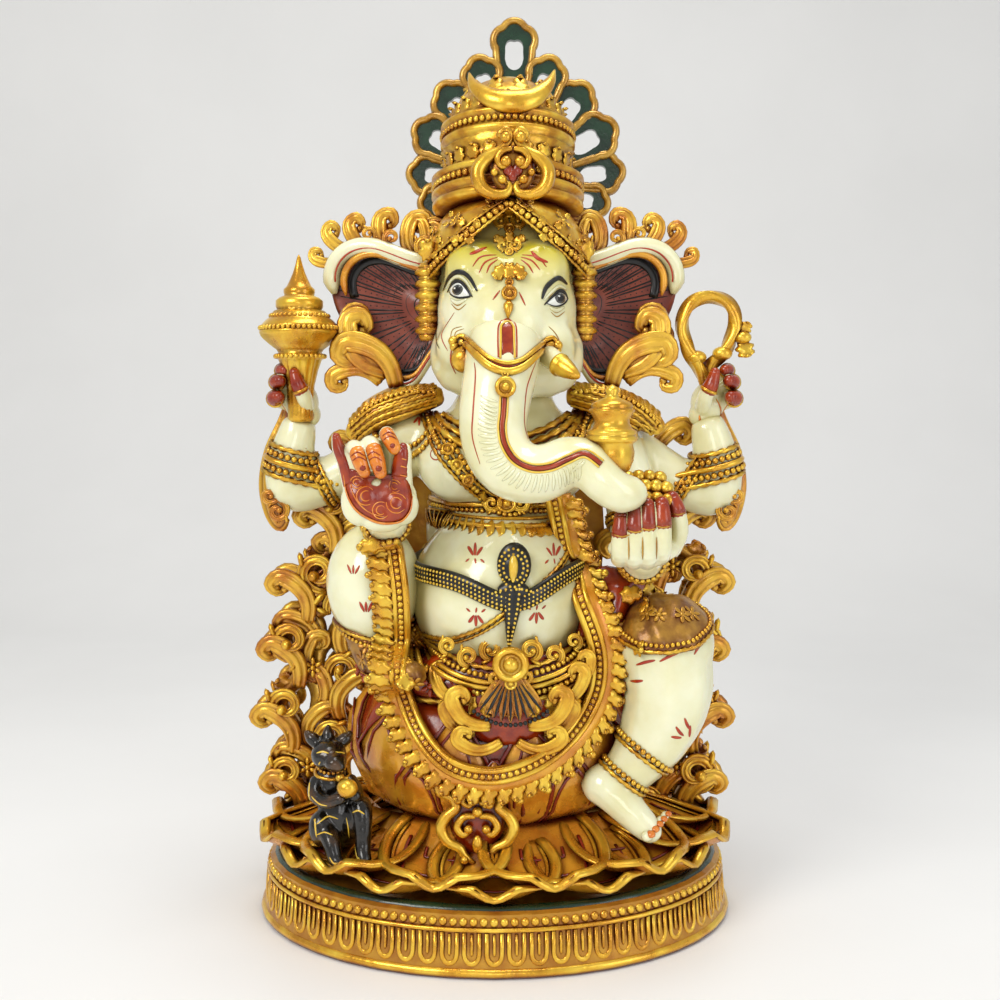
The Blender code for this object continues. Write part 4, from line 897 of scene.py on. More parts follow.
print(len(petals), "lotus petals")

# %% [markdown]
# ## Bud seat
# The seat is a closed lotus bud: tall petals stand side by side round it, each outlined in maroon.

# %% Bud seat
seat_skin = skin_of(nodes["lotus_seat"])
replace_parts(melted("bud_core", mesh_copy(("lotus_seat",), 0.0003), 0.0022, 12, "henna"), "lotus_seat")
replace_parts(melted("cushion_core", mesh_copy(("seat_cushion",), 0.0003), 0.0022, 6, "maroon"), "seat_cushion")
SEAT_AXIS = seat(0, 0, 0)


def on_seat(angle, z, lift):
    out = Vector((math.sin(angle), -math.cos(angle), 0))
    start = Vector((SEAT_AXIS.x, SEAT_AXIS.y, seat(0, 0, z).z))
    hit = seat_skin.ray_cast(start + out * 0.2, -out, 0.2)[0]
    return (hit or start + out * 0.05) + out * lift * MM, out


def bud_petal(heap, lines, angle, half, low, high):
    rows, outs = [], []
    for i in range(12):
        t = i / 11
        z = low + (high - low) * t
        reach = half * (0.62 + 0.38 * math.sin(math.pi * min(1, t * 0.9 + 0.1))) * (1 - max(0, t - 0.6) ** 2 * 5.6)
        row = [on_seat(angle + reach * u, z, 0.6 + 2.6 * (1 - u * u) + 1.5 * t * t) for u in (-1, -0.6, 0, 0.6, 1)]
        rows.append([p for p, _ in row])
        outs.append([o for _, o in row])
    grid_solid(heap, rows, 4 * MM, outs)
    edge = [r[0] for r in rows] + [r[-1] for r in rows[::-1]]
    out = [o[0] for o in outs] + [o[-1] for o in outs[::-1]]
    sweep(lines, [p + o * 0.6 * MM for p, o in zip(edge, out)], 1.1 * MM, 5, 0.8, out)
    for share, radius in ((0.5, 1.1),):
        left, right = [], []
        for row, o in zip(rows[2:-2], outs[2:-2]):
            middle, n = row[2], o[2]
            left.append((middle.lerp(row[0], share) + n * 0.5 * MM, n))
            right.append((middle.lerp(row[4], share) + n * 0.5 * MM, n))
        loop = left + [(rows[-2][2] + outs[-2][2] * 0.8 * MM, outs[-2][2])] + right[::-1]
        sweep(lines, [q for q, _ in loop], radius * MM, 5, 0.7, [n for _, n in loop])


heap, lines = Heap(), Heap()
for count, low, high, shift in ((10, 31, 112.5, 0.5), (10, 31, 90, 0.0)):
    for k in range(count):
        bud_petal(heap, lines, 2 * math.pi * (k + shift) / count, math.pi / count * (1.0 if shift else 0.8), low, high)
heap.made("bud_petals", "amber")
lines.made("bud_outlines", "maroon")
seat_edge = [(p + n * 1.0 * MM) for p, n in ray_ring(skin_of(nodes["seat_cushion"]), SEAT_AXIS, seat(0, 0, 117).z, 90)]
rope("cushion_cord", [seat_edge], 1.9, closed=True)
cushion_spots = even_ring(ray_ring(skin_of(nodes["seat_cushion"]), SEAT_AXIS, seat(0, 0, 124).z, 90), 26)
ornaments("cushion_flowers", FLOWER, [(p - n * 0.4 * MM, n, (0, 0, 1), 11) for p, n in cushion_spots], "henna")

# %% [markdown]
# ## The marble figure
# Torso and arms are one casting, polished until every join is gone, so the measured solids are grown a little,
# joined on a fine grid and eased. The head and trunk are made the same way.

# %% Marble body and legs
marble_body = melted("marble_body", mesh_copy(("torso", "mace_arm", "noose_arm", "blessing_arm", "sweets_arm"), 0.0008),
                     0.0015, 26, "ivory")
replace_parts(marble_body, "torso", "mace_arm", "noose_arm", "blessing_arm", "sweets_arm")


def pushed(piece, pushes):
    """Moves vertices near each centre: (centre, radius in mm, push in mm)."""
    for centre, radius, push in pushes:
        centre, reach, push = Vector(centre), radius * MM, Vector(push) * MM
        for v in piece.data.vertices:
            d = (v.co - centre).length / reach
            if d < 1:
                v.co += push * (1 - d * d) ** 2
    piece.data.update()


pushed(marble_body, [
    (body(7, -64, 141), 6, (0, 5, 0)), (body(-27, -44, 236), 15, (0, -4, 0)), (body(33, -44, 236), 15, (0, -4, 0)),
    (body(5, -30, 212), 26, (0, 3, 0)),
])
folded_leg = melted("folded_leg_marble", mesh_copy(("folded_leg",), 0.0006), 0.0013, 22, "ivory")
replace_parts(folded_leg, "folded_leg")
hanging_leg = melted("hanging_leg_marble", mesh_copy(("hanging_leg",), 0.0006), 0.0013, 18, "ivory")
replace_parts(hanging_leg, "hanging_leg")
elephant_head = melted("elephant_head", mesh_copy(("head", "trunk"), 0.0007), 0.0013, 24, "brow")
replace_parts(elephant_head, "head", "trunk")
pushed(elephant_head, [
    (head(-17, -52, 309), 8, (0.5, 2.2, 0)), (head(31, -50, 306), 8, (-0.5, 2.2, 0)),
    (head(-17, -50, 319), 9, (0, -2.4, 0)), (head(30, -48, 316), 9, (0, -2.4, 0)),
    (head(-17, -52, 299), 7, (0, -1.6, 0)), (head(29, -50, 296), 7, (0, -1.6, 0)),
    (head(6, -50, 330), 14, (0, -2.0, 0)), (head(-14, -44, 287), 10, (-1, -3, 0)), (head(26, -44, 287), 10, (1, -3, 0)),
])
body_skin, head_skin = skin_of(marble_body), skin_of(elephant_head)
leg_skin = skin_of(folded_leg, hanging_leg)
print("marble:", [len(p.data.polygons) for p in (marble_body, folded_leg, hanging_leg, elephant_head)], "faces")

# %% [markdown]
# ## Crown
# The crown is built up in stepped rings, each carried on beads, round a domed cap.
# It leans back a little with the head.

# %% Crown rings
LEAN = math.radians(7)
CROWN_AXIS, CROWN_FOOT = Vector((0, math.sin(LEAN), math.cos(LEAN))), crown(6.5, -3, 351)
CROWN_ACROSS = Vector((0, CROWN_AXIS.z, -CROWN_AXIS.y))


def crown_ring_path(radius, height, count=72, scale=1.0):
    """A circle round the crown's axis, in its millimetres."""
    return [CROWN_FOOT + CROWN_AXIS * height * MM + (Vector((1, 0, 0)) * math.sin(a) - CROWN_ACROSS * math.cos(a))
            * radius * scale * MM for a in (2 * math.pi * k / count for k in range(count))]


def scallop(rows, count, deep):
    return lambda i, t: 1 + (deep * abs(math.sin(t * count / 2)) if i in rows else 0)


heap = Heap()
lathe(heap, CROWN_FOOT, CROWN_AXIS, [(r * MM, h * MM) for r, h in (
    (20, 0), (33, 0), (36.2, 0.8), (37.6, 2.4), (37.6, 4.2), (35.4, 5.2), (35.4, 6.6), (37.9, 7.6), (37.9, 9.4), (36, 10.2),
    (36, 14.6), (37.9, 15.4), (37.9, 17), (35, 18.4), (20, 18.6))], 72)
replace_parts(heap.made("crown_lower_tier", "carved"), "crown_band")
heap = Heap()
lathe(heap, CROWN_FOOT, CROWN_AXIS, [(r * MM, h * MM) for r, h in (
    (20, 18.4), (32, 18.8), (30.8, 20.4), (30.4, 27), (32.6, 29.8), (31.2, 31.4), (33.4, 33), (33.6, 35), (32.2, 36),
    (32.2, 40.6), (33.6, 41.4), (33.4, 43), (29.6, 44), (29.4, 45.2), (27.6, 47.4), (27.2, 50), (25.4, 54), (22, 58.4), (17, 62.6),
    (11, 65.8), (5, 67.4), (0.05, 68))], 72, scallop((4, 13), 26, 0.035))
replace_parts(heap.made("crown_upper_tier", "carved"), "crown_dome")
beads("crown_beads_lower", [crown_ring_path(36.4, 12.4)], 1.75, 2.05, True)
beads("crown_beads_upper", [crown_ring_path(32.6, 38.3)], 1.55, 2.05, True)
leaves = []
for k in range(22):
    a = 2 * math.pi * k / 22
    out = Vector((1, 0, 0)) * math.sin(a) - CROWN_ACROSS * math.cos(a)
    foot = CROWN_FOOT + out * 28.6 * MM + CROWN_AXIS * 44 * MM
    leaves.append((foot, out + CROWN_AXIS * 0.35, CROWN_AXIS - out * 0.25, (11, 10, 9)))
    foot = CROWN_FOOT + out * 31.2 * MM + CROWN_AXIS * 20 * MM
    leaves.append((foot, out, CROWN_AXIS, (9.5, 11, 6)))
    if k % 2:
        foot = CROWN_FOOT + out * 25.4 * MM + CROWN_AXIS * 53 * MM
        leaves.append((foot, out * 0.8 + CROWN_AXIS * 0.6, CROWN_AXIS - out * 0.7, (14, 12, 7)))
ornaments("crown_leaves", LEAF, leaves, "gold")

# %% Crescent
heap = Heap()
moon = smooth_path([(-12.5, -14, 418, 0.5), (-9.5, -22, 409.5, 3.0), (-1, -28, 402.5, 5.2), (8.6, -29.5, 400.4, 6.0),
                    (18, -27, 402.8, 5.2), (26, -21, 411, 3.0), (29.2, -14, 419.4, 0.5)], 6)
sweep(heap, [crown(*p[:3]) for p in moon], [p[3] * MM for p in moon], 14, 0.72, Vector((0, -1, 0.3)))
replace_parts(heap.made("crescent_moon", "gold"), "crescent")


# %% Crown cap
CAP, CAP_RADII = crown(6.5, -6, 322), (40, 43, 36)


def cap_point(angle, rise, lift=0.0):
    full = max(math.cos(rise), 0.0) ** 0.58
    return CAP + Vector(((CAP_RADII[0] + lift) * full * math.sin(angle),
                         -(CAP_RADII[1] + lift) * full * math.cos(angle),
                         (CAP_RADII[2] + lift) * math.sin(rise))) * MM


def cap_hem(angle):
    """How high the cap's hem runs at that angle, as a rise above its widest ring."""
    rise = math.radians(84)
    while rise > math.radians(-40):
        p = (cap_point(angle, rise) - CAP) / MM
        hem = 27.5 - 0.78 * abs(p.x) if math.cos(angle) > 0 else -21
        if p.z <= max(hem, -21):
            break
        rise -= 0.01
    return rise


heap, rows, outs = Heap(), [], []
angles = [2 * math.pi * k / 96 for k in range(97)]
hems = [cap_hem(a) for a in angles]
for a, low in zip(angles, hems):
    rises = [low + (math.pi / 2 - 0.02 - low) * k / 16 for k in range(17)]
    rows.append([cap_point(a, r, 1.2 * math.sin(math.pi * min(1, (r - low) * 1.4))) for r in rises])
    outs.append([(p - CAP).normalized() for p in rows[-1]])
grid_solid(heap, rows, 2.6 * MM, outs)
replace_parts(heap.made("cap", "carved"), "crown_cap")
swag = [cap_point(a, low + 0.03, 1.4) for a, low in zip(angles, hems)]
front = [i for i in range(-25, 26)]
hem_front = [cap_point(angles[i % 96], hems[i % 96] + 0.02, 1.6) for i in front]
hem_rail = [cap_point(angles[i % 96], hems[i % 96] + 0.15, 1.6) for i in front]
hem_low = [cap_point(angles[i % 96], hems[i % 96] - 0.06, 1.0) for i in front]
beads("cap_bead_swag", [hem_front], 1.75, 1.95)
rope("cap_rope", [hem_rail], 1.0)
rope("cap_lower_rope", [hem_low], 0.9)
flowers, sprays = [], []
for side in (-1, 1):
    for angle, rise, size in ((30, 24, 12), (52, 14, 10), (13, 47, 8), (74, 24, 11), (100, 10, 12), (130, 14, 13),
                              (160, 12, 13), (46, 36, 8)):
        a, r = math.radians(angle) * side, math.radians(rise)
        p, out = cap_point(a, r, 0.6), (cap_point(a, r) - CAP).normalized()
        flowers.append((p, out, (0, 0, 1), (size * 0.8, size * 0.8, size * 0.5)))
        for k in range(4):
            turn = Quaternion(out, 2 * math.pi * k / 4 + 0.6)
            grow = turn @ Vector((0, 0, 1))
            sprays.append((p + grow * size * 0.34 * MM, out, grow, (size * 0.5, size * 0.55, size * 0.28)))
ornaments("cap_flowers", FLOWER, flowers, "gold")
ornaments("cap_leaves", LEAF, sprays, "gold")

# %% Crown jewel
heap = Heap()
JEWEL = Vector((0, -1, 0.12)).normalized()
for side in (-1, 1):
    def jewel(x, z, out=0.0):
        return crown(8.6 + side * x, -43 - out, z)

    outer = smooth_path([(3.0, 380.6, 1.3), (6.2, 382.2, 1.7), (3.2, 384.6, 1.7), (1.2, 381, 1.7), (5.4, 375.4, 2.3),
                         (12.4, 371.4, 3.1), (16.4, 365.2, 3.5), (14.8, 358.2, 3.3), (9, 354.6, 2.7), (3, 355.4, 2.2),
                         (1.6, 359.2, 1.7), (5, 361.2, 1.2)], 5)
    sweep(heap, [jewel(p[0], p[1], 0.6 * math.sin(i * 0.2)) for i, p in enumerate(outer)], [p[2] * MM for p in outer],
          8, 1, JEWEL)
    inner = smooth_path([(0.4, 375.6, 1.2), (4.6, 374.8, 1.7), (7.2, 371, 1.7), (5.2, 367.4, 1.6), (2.2, 368.6, 1.2)], 5)
    sweep(heap, [jewel(p[0], p[1], 1.2) for p in inner], [p[2] * MM for p in inner], 7, 1, JEWEL)
    for x, z, r in ((3.4, 380.6, 2.6), (3.2, 369.6, 2.7), (5, 361.4, 2.2), (8.6, 364.6, 1.8)):
        blob(heap, jewel(x, z, 1.6), r * MM)
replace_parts(heap.made("crown_jewel_scrolls", "gold"), "crown_jewel")
heap = Heap()
blob(heap, crown(8.6, -41, 366), 10.5 * MM, (1, 0.2, 1.1))
heap.made("crown_jewel_ground", "carved")
heap = Heap()
for x, r in ((6.4, 2.6), (10.8, 2.6), (8.6, 2.4)):
    blob(heap, crown(x, -43.4, 363.4 if x == 8.6 else 366), r * MM, (1, 0.5, 1.2))
heap.made("crown_jewel_heart", "henna")

# %% [markdown]
# ## Crest
# Eleven pierced feathers fan out behind the crown. Each is a green lacquered plate round a teardrop opening,
# with a rolled gold border down both sides.

# %% Crest
CREST_ROOT = region["crest"](10, 34, 372)
FEATHERS = ((-103, 50, 8.5), (-84, 55, 9), (-60, 59, 10), (-37, 63, 10), (-17, 67, 9.5), (0, 83, 10.5), (17, 67, 9.5),
            (37, 63, 10.5), (60, 60, 11), (83, 57, 9.5), (103, 50, 8.5))


def feather_edge(reach, half, count=44):
    """The outline of a feather from its root up one side, over a lobed tip and down: (across, out)."""
    edge, lobe = [], 0.62 * half
    for k in range(count + 1):
        a = math.pi * (k / count - 0.5) * 2
        if abs(a) < math.pi * 0.62:
            r = half * (0.86 + 0.19 * abs(math.cos(a * 2.4)) ** 0.6)
            edge.append((r * math.sin(a), reach - half + r * math.cos(a)))
        else:
            t = (abs(a) - math.pi * 0.62) / (math.pi * 0.38)
            side = 1 if a > 0 else -1
            start = reach - half - half * 0.36
            edge.append((side * (half * 0.92 * (1 - t) ** 0.8 + 2.2 * (1 - (1 - t) ** 0.8)), start + (16 - start) * t))
    return edge


plates, rims = Heap(), Heap()
for index, (angle, reach, half) in enumerate(FEATHERS):
    turn = math.radians(angle)
    along, across = Vector((math.sin(turn), 0, math.cos(turn))), Vector((math.cos(turn), 0, -math.sin(turn)))
    deep = 0.9 * (index % 2) - 0.4

    def plate_at(s, t, y):
        return CREST_ROOT + (across * s + along * t + Vector((0, y + deep, 0))) * MM

    edge = feather_edge(reach, half)
    eye = (0, reach - half * 1.25)
    opening = []
    for s, t in edge:
        a = math.atan2(s - eye[0], t - eye[1])
        r = half * (0.47 + 0.62 * max(0, -math.cos(a)) ** 3) * (1 - 0.24 * max(0, math.cos(a)) ** 8)
        opening.append((eye[0] + r * math.sin(a) * 0.95, eye[1] + r * math.cos(a)))
    n = len(edge)
    points = [plate_at(s, t, y) for y in (-1.8, 1.8) for loop in (edge, opening) for s, t in loop]
    faces = []
    for k in range(n - 1):
        faces += [[k, k + 1, n + k + 1, n + k], [2 * n + k + 1, 2 * n + k, 3 * n + k, 3 * n + k + 1],
                  [k + 1, k, 2 * n + k, 2 * n + k + 1], [n + k, n + k + 1, 3 * n + k + 1, 3 * n + k]]
    faces += [[n - 1, 0, n, 2 * n - 1], [2 * n, 3 * n - 1, 4 * n - 1, 3 * n], [0, n - 1, 3 * n - 1, 2 * n],
              [2 * n - 1, n, 3 * n, 4 * n - 1]]
    plates.add(points, faces)
    for y in (-1.7, 1.7):
        sweep(rims, [plate_at(s, t, y) for s, t in edge], 1.95 * MM, 6, 0.9, Vector((0, -1, 0)))
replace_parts(plates.made("crest_feathers", "green", False), "crest")
rims.made("crest_borders", "rim")
print(len(FEATHERS), "feathers")

# %% [markdown]
# ## Paint and relief on a surface
# A brush stroke swells and tapers and lies on the marble; a patch is a low domed fill;
# a ring closes round a limb wherever the limb's own surface is.

# %% Strokes, patches and rings
def stroke(heap, skin, carry, points, width, flat=0.3, lift=0.0, even=False, per_span=5, way=FRONT):
    """A painted line through (x, z) points of the drawing, on the skin as seen along way."""
    path = smooth_path([p[:2] for p in points], per_span) if len(points) > 2 else [
        [a + (b - a) * k / 4 for a, b in zip(points[0], points[1])] for k in range(5)]
    found = [on_skin(skin, carry(p[0], -20, p[1]), lift * MM, way) for p in path]
    n = len(found) - 1
    radii = [width / 2 * MM * (1 if even else 0.12 + 0.88 * math.sin(math.pi * (0.04 + 0.92 * k / n)) ** 0.7)
             for k in range(n + 1)]
    sweep(heap, [p for p, _ in found], radii, 6, flat, [normal for _, normal in found])


def strokes(name, skin, carry, lines, look, **how):
    heap = Heap()
    for width, points in lines:
        stroke(heap, skin, carry, points, width, **how)
    return heap.made(name, look)


def patch(heap, skin, carry, outline, dome, sink=0.4, rings=4, lift=0.05):
    """A low domed fill inside an outline of (x, z) points."""
    cx, cz = (sum(p[i] for p in outline) / len(outline) for i in (0, 1))
    n, points = len(outline), []
    for k in range(rings):
        s = 1 - k / rings
        for x, z in outline:
            p, normal = on_skin(skin, carry(cx + (x - cx) * s, -20, cz + (z - cz) * s))
            points.append(p + normal * (dome * (1 - s * s) + lift) * MM)
    p, normal = on_skin(skin, carry(cx, -20, cz))
    top, foot = p + normal * (dome + lift) * MM, []
    for x, z in outline:
        q, out = on_skin(skin, carry(x, -20, z))
        foot.append(q - out * sink * MM)
    faces = []
    for k in range(rings - 1):
        faces += [[k * n + i, k * n + (i + 1) % n, (k + 1) * n + (i + 1) % n, (k + 1) * n + i] for i in range(n)]
    last, tip, low = (rings - 1) * n, rings * n, rings * n + 1
    faces += [[last + i, last + (i + 1) % n, tip] for i in range(n)]
    faces += [[(i + 1) % n, i, low + i, low + (i + 1) % n] for i in range(n)] + [[low + i for i in range(n)][::-1]]
    turn = sum((a[0] * b[1] - b[0] * a[1]) for a, b in zip(outline, outline[1:] + outline[:1]))
    heap.add(points + [top] + foot, faces if turn > 0 else [f[::-1] for f in faces])


def circle(x, z, r, count=14, tall=1.0):
    return [(x + r * math.cos(2 * math.pi * k / count), z + r * tall * math.sin(2 * math.pi * k / count))
            for k in range(count)]


def ring_on(skin, centre, axis, lift=0.0, count=48, reach=60):
    """A closed path round a limb: where rays from its middle come out, in a plane across the axis."""
    axis = Vector(axis).normalized()
    across = axis.orthogonal().normalized()
    other, path, last = axis.cross(across), [], 0.01
    for k in range(count):
        a = 2 * math.pi * k / count
        out = across * math.cos(a) + other * math.sin(a)
        hit = skin.ray_cast(centre, out, reach * MM)[0]
        last = (hit - centre).length if hit is not None else last
        path.append(centre + out * (last + lift * MM))
    return [sum((path[(k + j) % count] for j in (-1, 0, 1)), Vector()) / 3 for k in range(count)]


def ring_stack(name, skin, centre, axis, parts, reach=30, count=40, replaced=()):
    """Rings side by side along a limb: parts are (offset in mm, kind, radius)."""
    axis, rails, made = Vector(axis).normalized(), Heap(), []
    strings, ropes = {}, {}
    for offset, kind, radius in parts:
        path = ring_on(skin, centre + axis * offset * MM, axis, radius * 0.45, count, reach)
        if kind == "rail":
            sweep(rails, path, radius * MM, 7, 1, axis, True)
        else:
            (strings if kind == "beads" else ropes).setdefault(radius, []).append(path)
    if rails.points:
        made.append(rails.made(name + "_rails", "gold"))
    made += [beads(f"{name}_beads_{i}", paths, r, 2.0, True) for i, (r, paths) in enumerate(strings.items())]
    made += [rope(f"{name}_rope_{i}", paths, r, 1.0, True) for i, (r, paths) in enumerate(ropes.items())]
    if replaced:
        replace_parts(made[0], *replaced)
    return made


# %% [markdown]
# ## Face
# The eyes are inlaid white lenses with a painted iris, outlined in black; brows are one brush stroke each.
# The forehead carries a pendant, and a red and gold tilak runs down to the trunk's jewelled band.

# %% Eyes and painted face
white, iris, pupil, glint = Heap(), Heap(), Heap(), Heap()
EYES = {
    "right": ([(-21.6, 310.6), (-20, 312.9), (-17.1, 314), (-14.3, 312.2), (-11.2, 307.5), (-13.8, 306.7),
               (-17.2, 306.8), (-20.4, 308.4)], (-17, 310.4)),
    "left": ([(24, 303.9), (27.4, 307.2), (30.2, 309.6), (33, 309), (34.4, 306.6), (32.1, 303.9), (28.3, 302.7)],
             (30.4, 306.6)),
}
outlines, lids = [], []
for outline, (x, z) in EYES.values():
    edge = [p for p in smooth_path(outline, 3, True)]
    patch(white, head_skin, head, edge, 0.9)
    patch(iris, head_skin, head, circle(x, z, 2.45), 0.35, lift=0.9)
    patch(pupil, head_skin, head, circle(x, z, 1.6), 0.2, lift=1.2)
    patch(glint, head_skin, head, circle(x - 0.9, z + 0.9, 0.42, 8), 0.15, lift=1.4)
    outlines.append((1.0, edge + [edge[0]]))
white.made("eye_whites", "white")
iris.made("irises", "iris")
pupil.made("pupils", "black")
glint.made("eye_glints", "white")
strokes("eye_outlines", head_skin, head, [(w, e[::3]) for w, e in outlines] + [
    (1.5, [(-22.4, 309.8), (-19.9, 313.4), (-17.1, 314.6), (-14.2, 312.9), (-10.2, 306.6)]),
    (1.5, [(23, 303), (27.4, 307.6), (30.2, 310.2), (33.2, 309.6), (34.8, 306.6)]),
    (2.3, [(-24.6, 310.9), (-22.1, 315.6), (-18.2, 318.2), (-14.5, 317.8), (-11.2, 315), (-8.0, 309.3)]),
    (2.6, [(22.0, 305.8), (23.8, 310.8), (27.5, 314.5), (30.5, 315.6), (34.2, 313.6)]),
    (0.8, [(-27, 306), (-28.6, 299), (-28, 288.2), (-25.9, 283.2)]), (0.7, [(-28.5, 300), (-30, 294), (-29.5, 288)]),
], "black", lift=0.35)
strokes("eyelids", head_skin, head, [
    (2.0, [(-23.4, 311.5), (-20.2, 315.2), (-17.1, 316.4), (-13.8, 314.6), (-10.4, 309.4)]),
    (2.0, [(23, 305.2), (27, 309.6), (30.4, 312.2), (34.2, 311)]),
    (2.2, [(-21, 306.6), (-17.4, 304.4), (-12.8, 306)]), (2.2, [(25.8, 302.2), (29, 300.8), (33, 302.8)])], "ivory",
        flat=0.55)
strokes("face_brown_lines", head_skin, head, [
    (0.55, [(-22.9, 312.6), (-19.7, 315.3), (-17.1, 316.1), (-14.2, 314.4), (-11.6, 311.3)]),
    (0.55, [(-20.8, 305.9), (-17.5, 303.2), (-13.8, 305.2)]), (0.55, [(-20.5, 304.2), (-17.1, 301.2), (-13.2, 303.7)]),
    (0.55, [(25.2, 306.3), (28.3, 310.2), (31, 311.6), (34, 310.6)]),
    (0.55, [(26, 301.7), (29, 299.9), (32.9, 302.2)]), (0.55, [(26.4, 300), (29.4, 298), (33.3, 300.7)]),
    (0.6, [(-15.2, 293.1), (-19.6, 291.8), (-20.6, 287.3)]), (0.6, [(25.2, 293.1), (28.1, 290.2), (30.2, 285.9), (28.8, 281.6)]),
    (0.5, [(-14.2, 292), (-18, 290.6), (-18.8, 287.3)]),
], "antique", lift=0.1)
strokes("face_red_lines", head_skin, head, [
    (1.9, [(-11.6, 326.5), (-8.7, 327.6), (-3.7, 330.1)]), (1.9, [(17.3, 328), (20.1, 324.5), (24.8, 322.7)]),
    (0.8, [(1.4, 325.3), (-4.4, 322.7), (-7.3, 317.6)]), (0.8, [(1.4, 324.1), (-2.2, 321.3), (-3.7, 317.6)]),
    (0.8, [(0.8, 326.4), (-6.4, 325.2), (-10.2, 320.6)]), (0.8, [(12.8, 326.3), (20, 325), (24.2, 320.4)]),
    (0.8, [(12.3, 325.2), (17.3, 323.4), (21.2, 319)]), (0.8, [(12.3, 324), (15.8, 321.2), (18, 317.6)]),
    (1.0, [(2.5, 309.4), (-0.8, 304.9)]), (1.0, [(11.4, 308.6), (14.2, 302.3)]),
    (0.8, [(-9, 275.8), (-8.4, 269.5), (-9.4, 253.4), (-9.6, 243), (-6.2, 231.3)]),
    (0.8, [(19, 276.5), (16.2, 269.7), (14.2, 262.7), (13.4, 249.5), (15, 242)]),
    (0.7, [(-19, 300), (-25, 290), (-22, 282)]),
], "red line", lift=0.1)

# %% Tilak and trunk
heap = Heap()
tilak = [(3.4, 279), (2.9, 286), (3.0, 291.6), (4.2, 293.6), (5.8, 294.2), (7.4, 293.6), (8.6, 291.6), (8.8, 286), (8.4, 279)]
patch(heap, head_skin, head, tilak[::-1], 0.3)
heap.made("tilak_red", "henna")
strokes("tilak_border", head_skin, head, [(1.0, [(2.7, 277.5)] + tilak[1:-1] + [(9.1, 277.5)])], "yellow", even=True,
        lift=0.2, flat=0.6)
strokes("tilak_outline", head_skin, head, [(0.7, [(1.8, 278), (1.6, 287), (2.2, 293), (5.8, 296), (9.4, 293), (10, 287),
                                                 (10, 278)])], "red line", even=True, lift=0.1)
band = [(-18.8, 286.3), (-15.9, 288.7), (-12.2, 287), (-7, 281.6), (-1.4, 277.2), (5.4, 275.2), (12.3, 277), (18.1, 281.8),
        (23.6, 286.6), (27.3, 287.6), (29.1, 284.5)]
heap = Heap()
stroke(heap, head_skin, head, band, 2.4, 0.9, 0.6, True)
stroke(heap, head_skin, head, [(x, z - 3.1 - 0.5 * math.cos((x - 5) / 9)) for x, z in band[1:-1]], 4.0, 0.8, 0.5, True)
for x, z in (band[0], band[-1], (-18.2, 284), (28.6, 282.4)):
    blob(heap, on_skin(head_skin, head(x, -20, z), 1 * MM)[0], 2.4 * MM)
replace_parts(heap.made("trunk_band_rails", "gold"), "trunk_band")
strokes("trunk_band_line", head_skin, head, [(1.0, [(x, z - 1.3) for x, z in band[1:-1]])], "henna", even=True, lift=0.6)
centre = [(4.4, 262), (4, 253.4), (3.4, 247), (4.6, 240), (9, 233.4), (16.4, 230), (24.6, 230.6), (32, 234), (39, 236.5),
          (46, 232)]


def beside(path, gap):
    """The path moved sideways by gap, in mm."""
    out = []
    for i, p in enumerate(path):
        a, b = Vector(path[max(0, i - 1)][:2]), Vector(path[min(len(path) - 1, i + 1)][:2])
        d = (b - a).normalized()
        out.append((p[0] - d.y * gap, p[1] + d.x * gap))
    return out


fine = smooth_path(centre, 4)
strokes("trunk_gold_lines", head_skin, head, [(0.9, beside(fine, g)[::4]) for g in (-1.7, 1.7)], "yellow", even=True,
        lift=0.25, flat=0.6)
strokes("trunk_red_line", head_skin, head, [(2.4, centre)], "henna", even=True, lift=0.05)
ridges = []
for k in range(2, len(fine) - 3):
    for half in (0,):
        a, b = Vector(fine[k][:2]), Vector(fine[k + 1][:2])
        p, d = a.lerp(b, half), (b - a).normalized()
        n = Vector((-d.y, d.x))
        for side in (-1, 1):
            q = [p + n * side * w - d * 0.085 * (w - 2) ** 1.6 for w in (2.8, 5.4, 8.0, 10.4)]
            deep = [on_skin(head_skin, head(v[0], -20, v[1]))[0].y for v in (p, *q)]
            if max(deep) - deep[0] < 8 * MM:
                ridges.append((1.5, [tuple(v) for v in q]))
strokes("trunk_ridges", head_skin, head, ridges, "ivory", flat=0.7, per_span=3)

# %% Forehead pendant
scrolls, leaves, medals = {1: [], -1: []}, [], []
pendant_skin = skin_of(elephant_head, bpy.data.objects["cap"])


def pendant_spot(x, z, lift=1.0):
    p, n = on_skin(pendant_skin, head(x, -20, z), lift * MM)
    return p, (n + Vector((0, -1.2, 0))).normalized()


for z, size in ((343, 9), (330, 7.5)):
    for side in (-1, 1):
        p, n = pendant_spot(7 + side * size * 0.5, z)
        scrolls[side].append((p, n, (0.3 * side, 0, -1), size))
        p, n = pendant_spot(7 + side * size * 0.3, z + size * 0.35)
        leaves.append((p, n, (side, 0, 0.5), (size, size, size * 0.6)))
    p, n = pendant_spot(7, z + size * 0.3)
    leaves.append((p, n, (0, 0, 1), (size, size, size * 0.7)))
    p, n = pendant_spot(7, z - size * 0.35)
    medals.append((p, n, (0, 0, 1), size * 0.6))
for x, z, turn, size in ((4.6, 321, (-0.62, 0, -1), 11), (9.2, 321, (0.62, 0, -1), 11), (6.9, 322, (0, 0, -1), 11)):
    p, n = pendant_spot(x, z)
    leaves.append((p, n, turn, (size, size * 0.9, size * 0.7)))
for x, z, size in ((6.9, 312.8, 4.2), (6.8, 307.4, 7.6), (4.6, 264.6, 9.6), (4.6, 270.4, 3.4)):
    p, n = pendant_spot(x, z, 0.8)
    medals.append((p, n, (0, 0, 1), size))
ornaments("pendant_leaves", LEAF, leaves, "gold")
ornaments("pendant_medals", MEDAL, medals, "gold")
for side in (-1, 1):
    ornaments("pendant_scrolls_" + ("right" if side < 0 else "left"), SCROLL[side], scrolls[side], "gold")
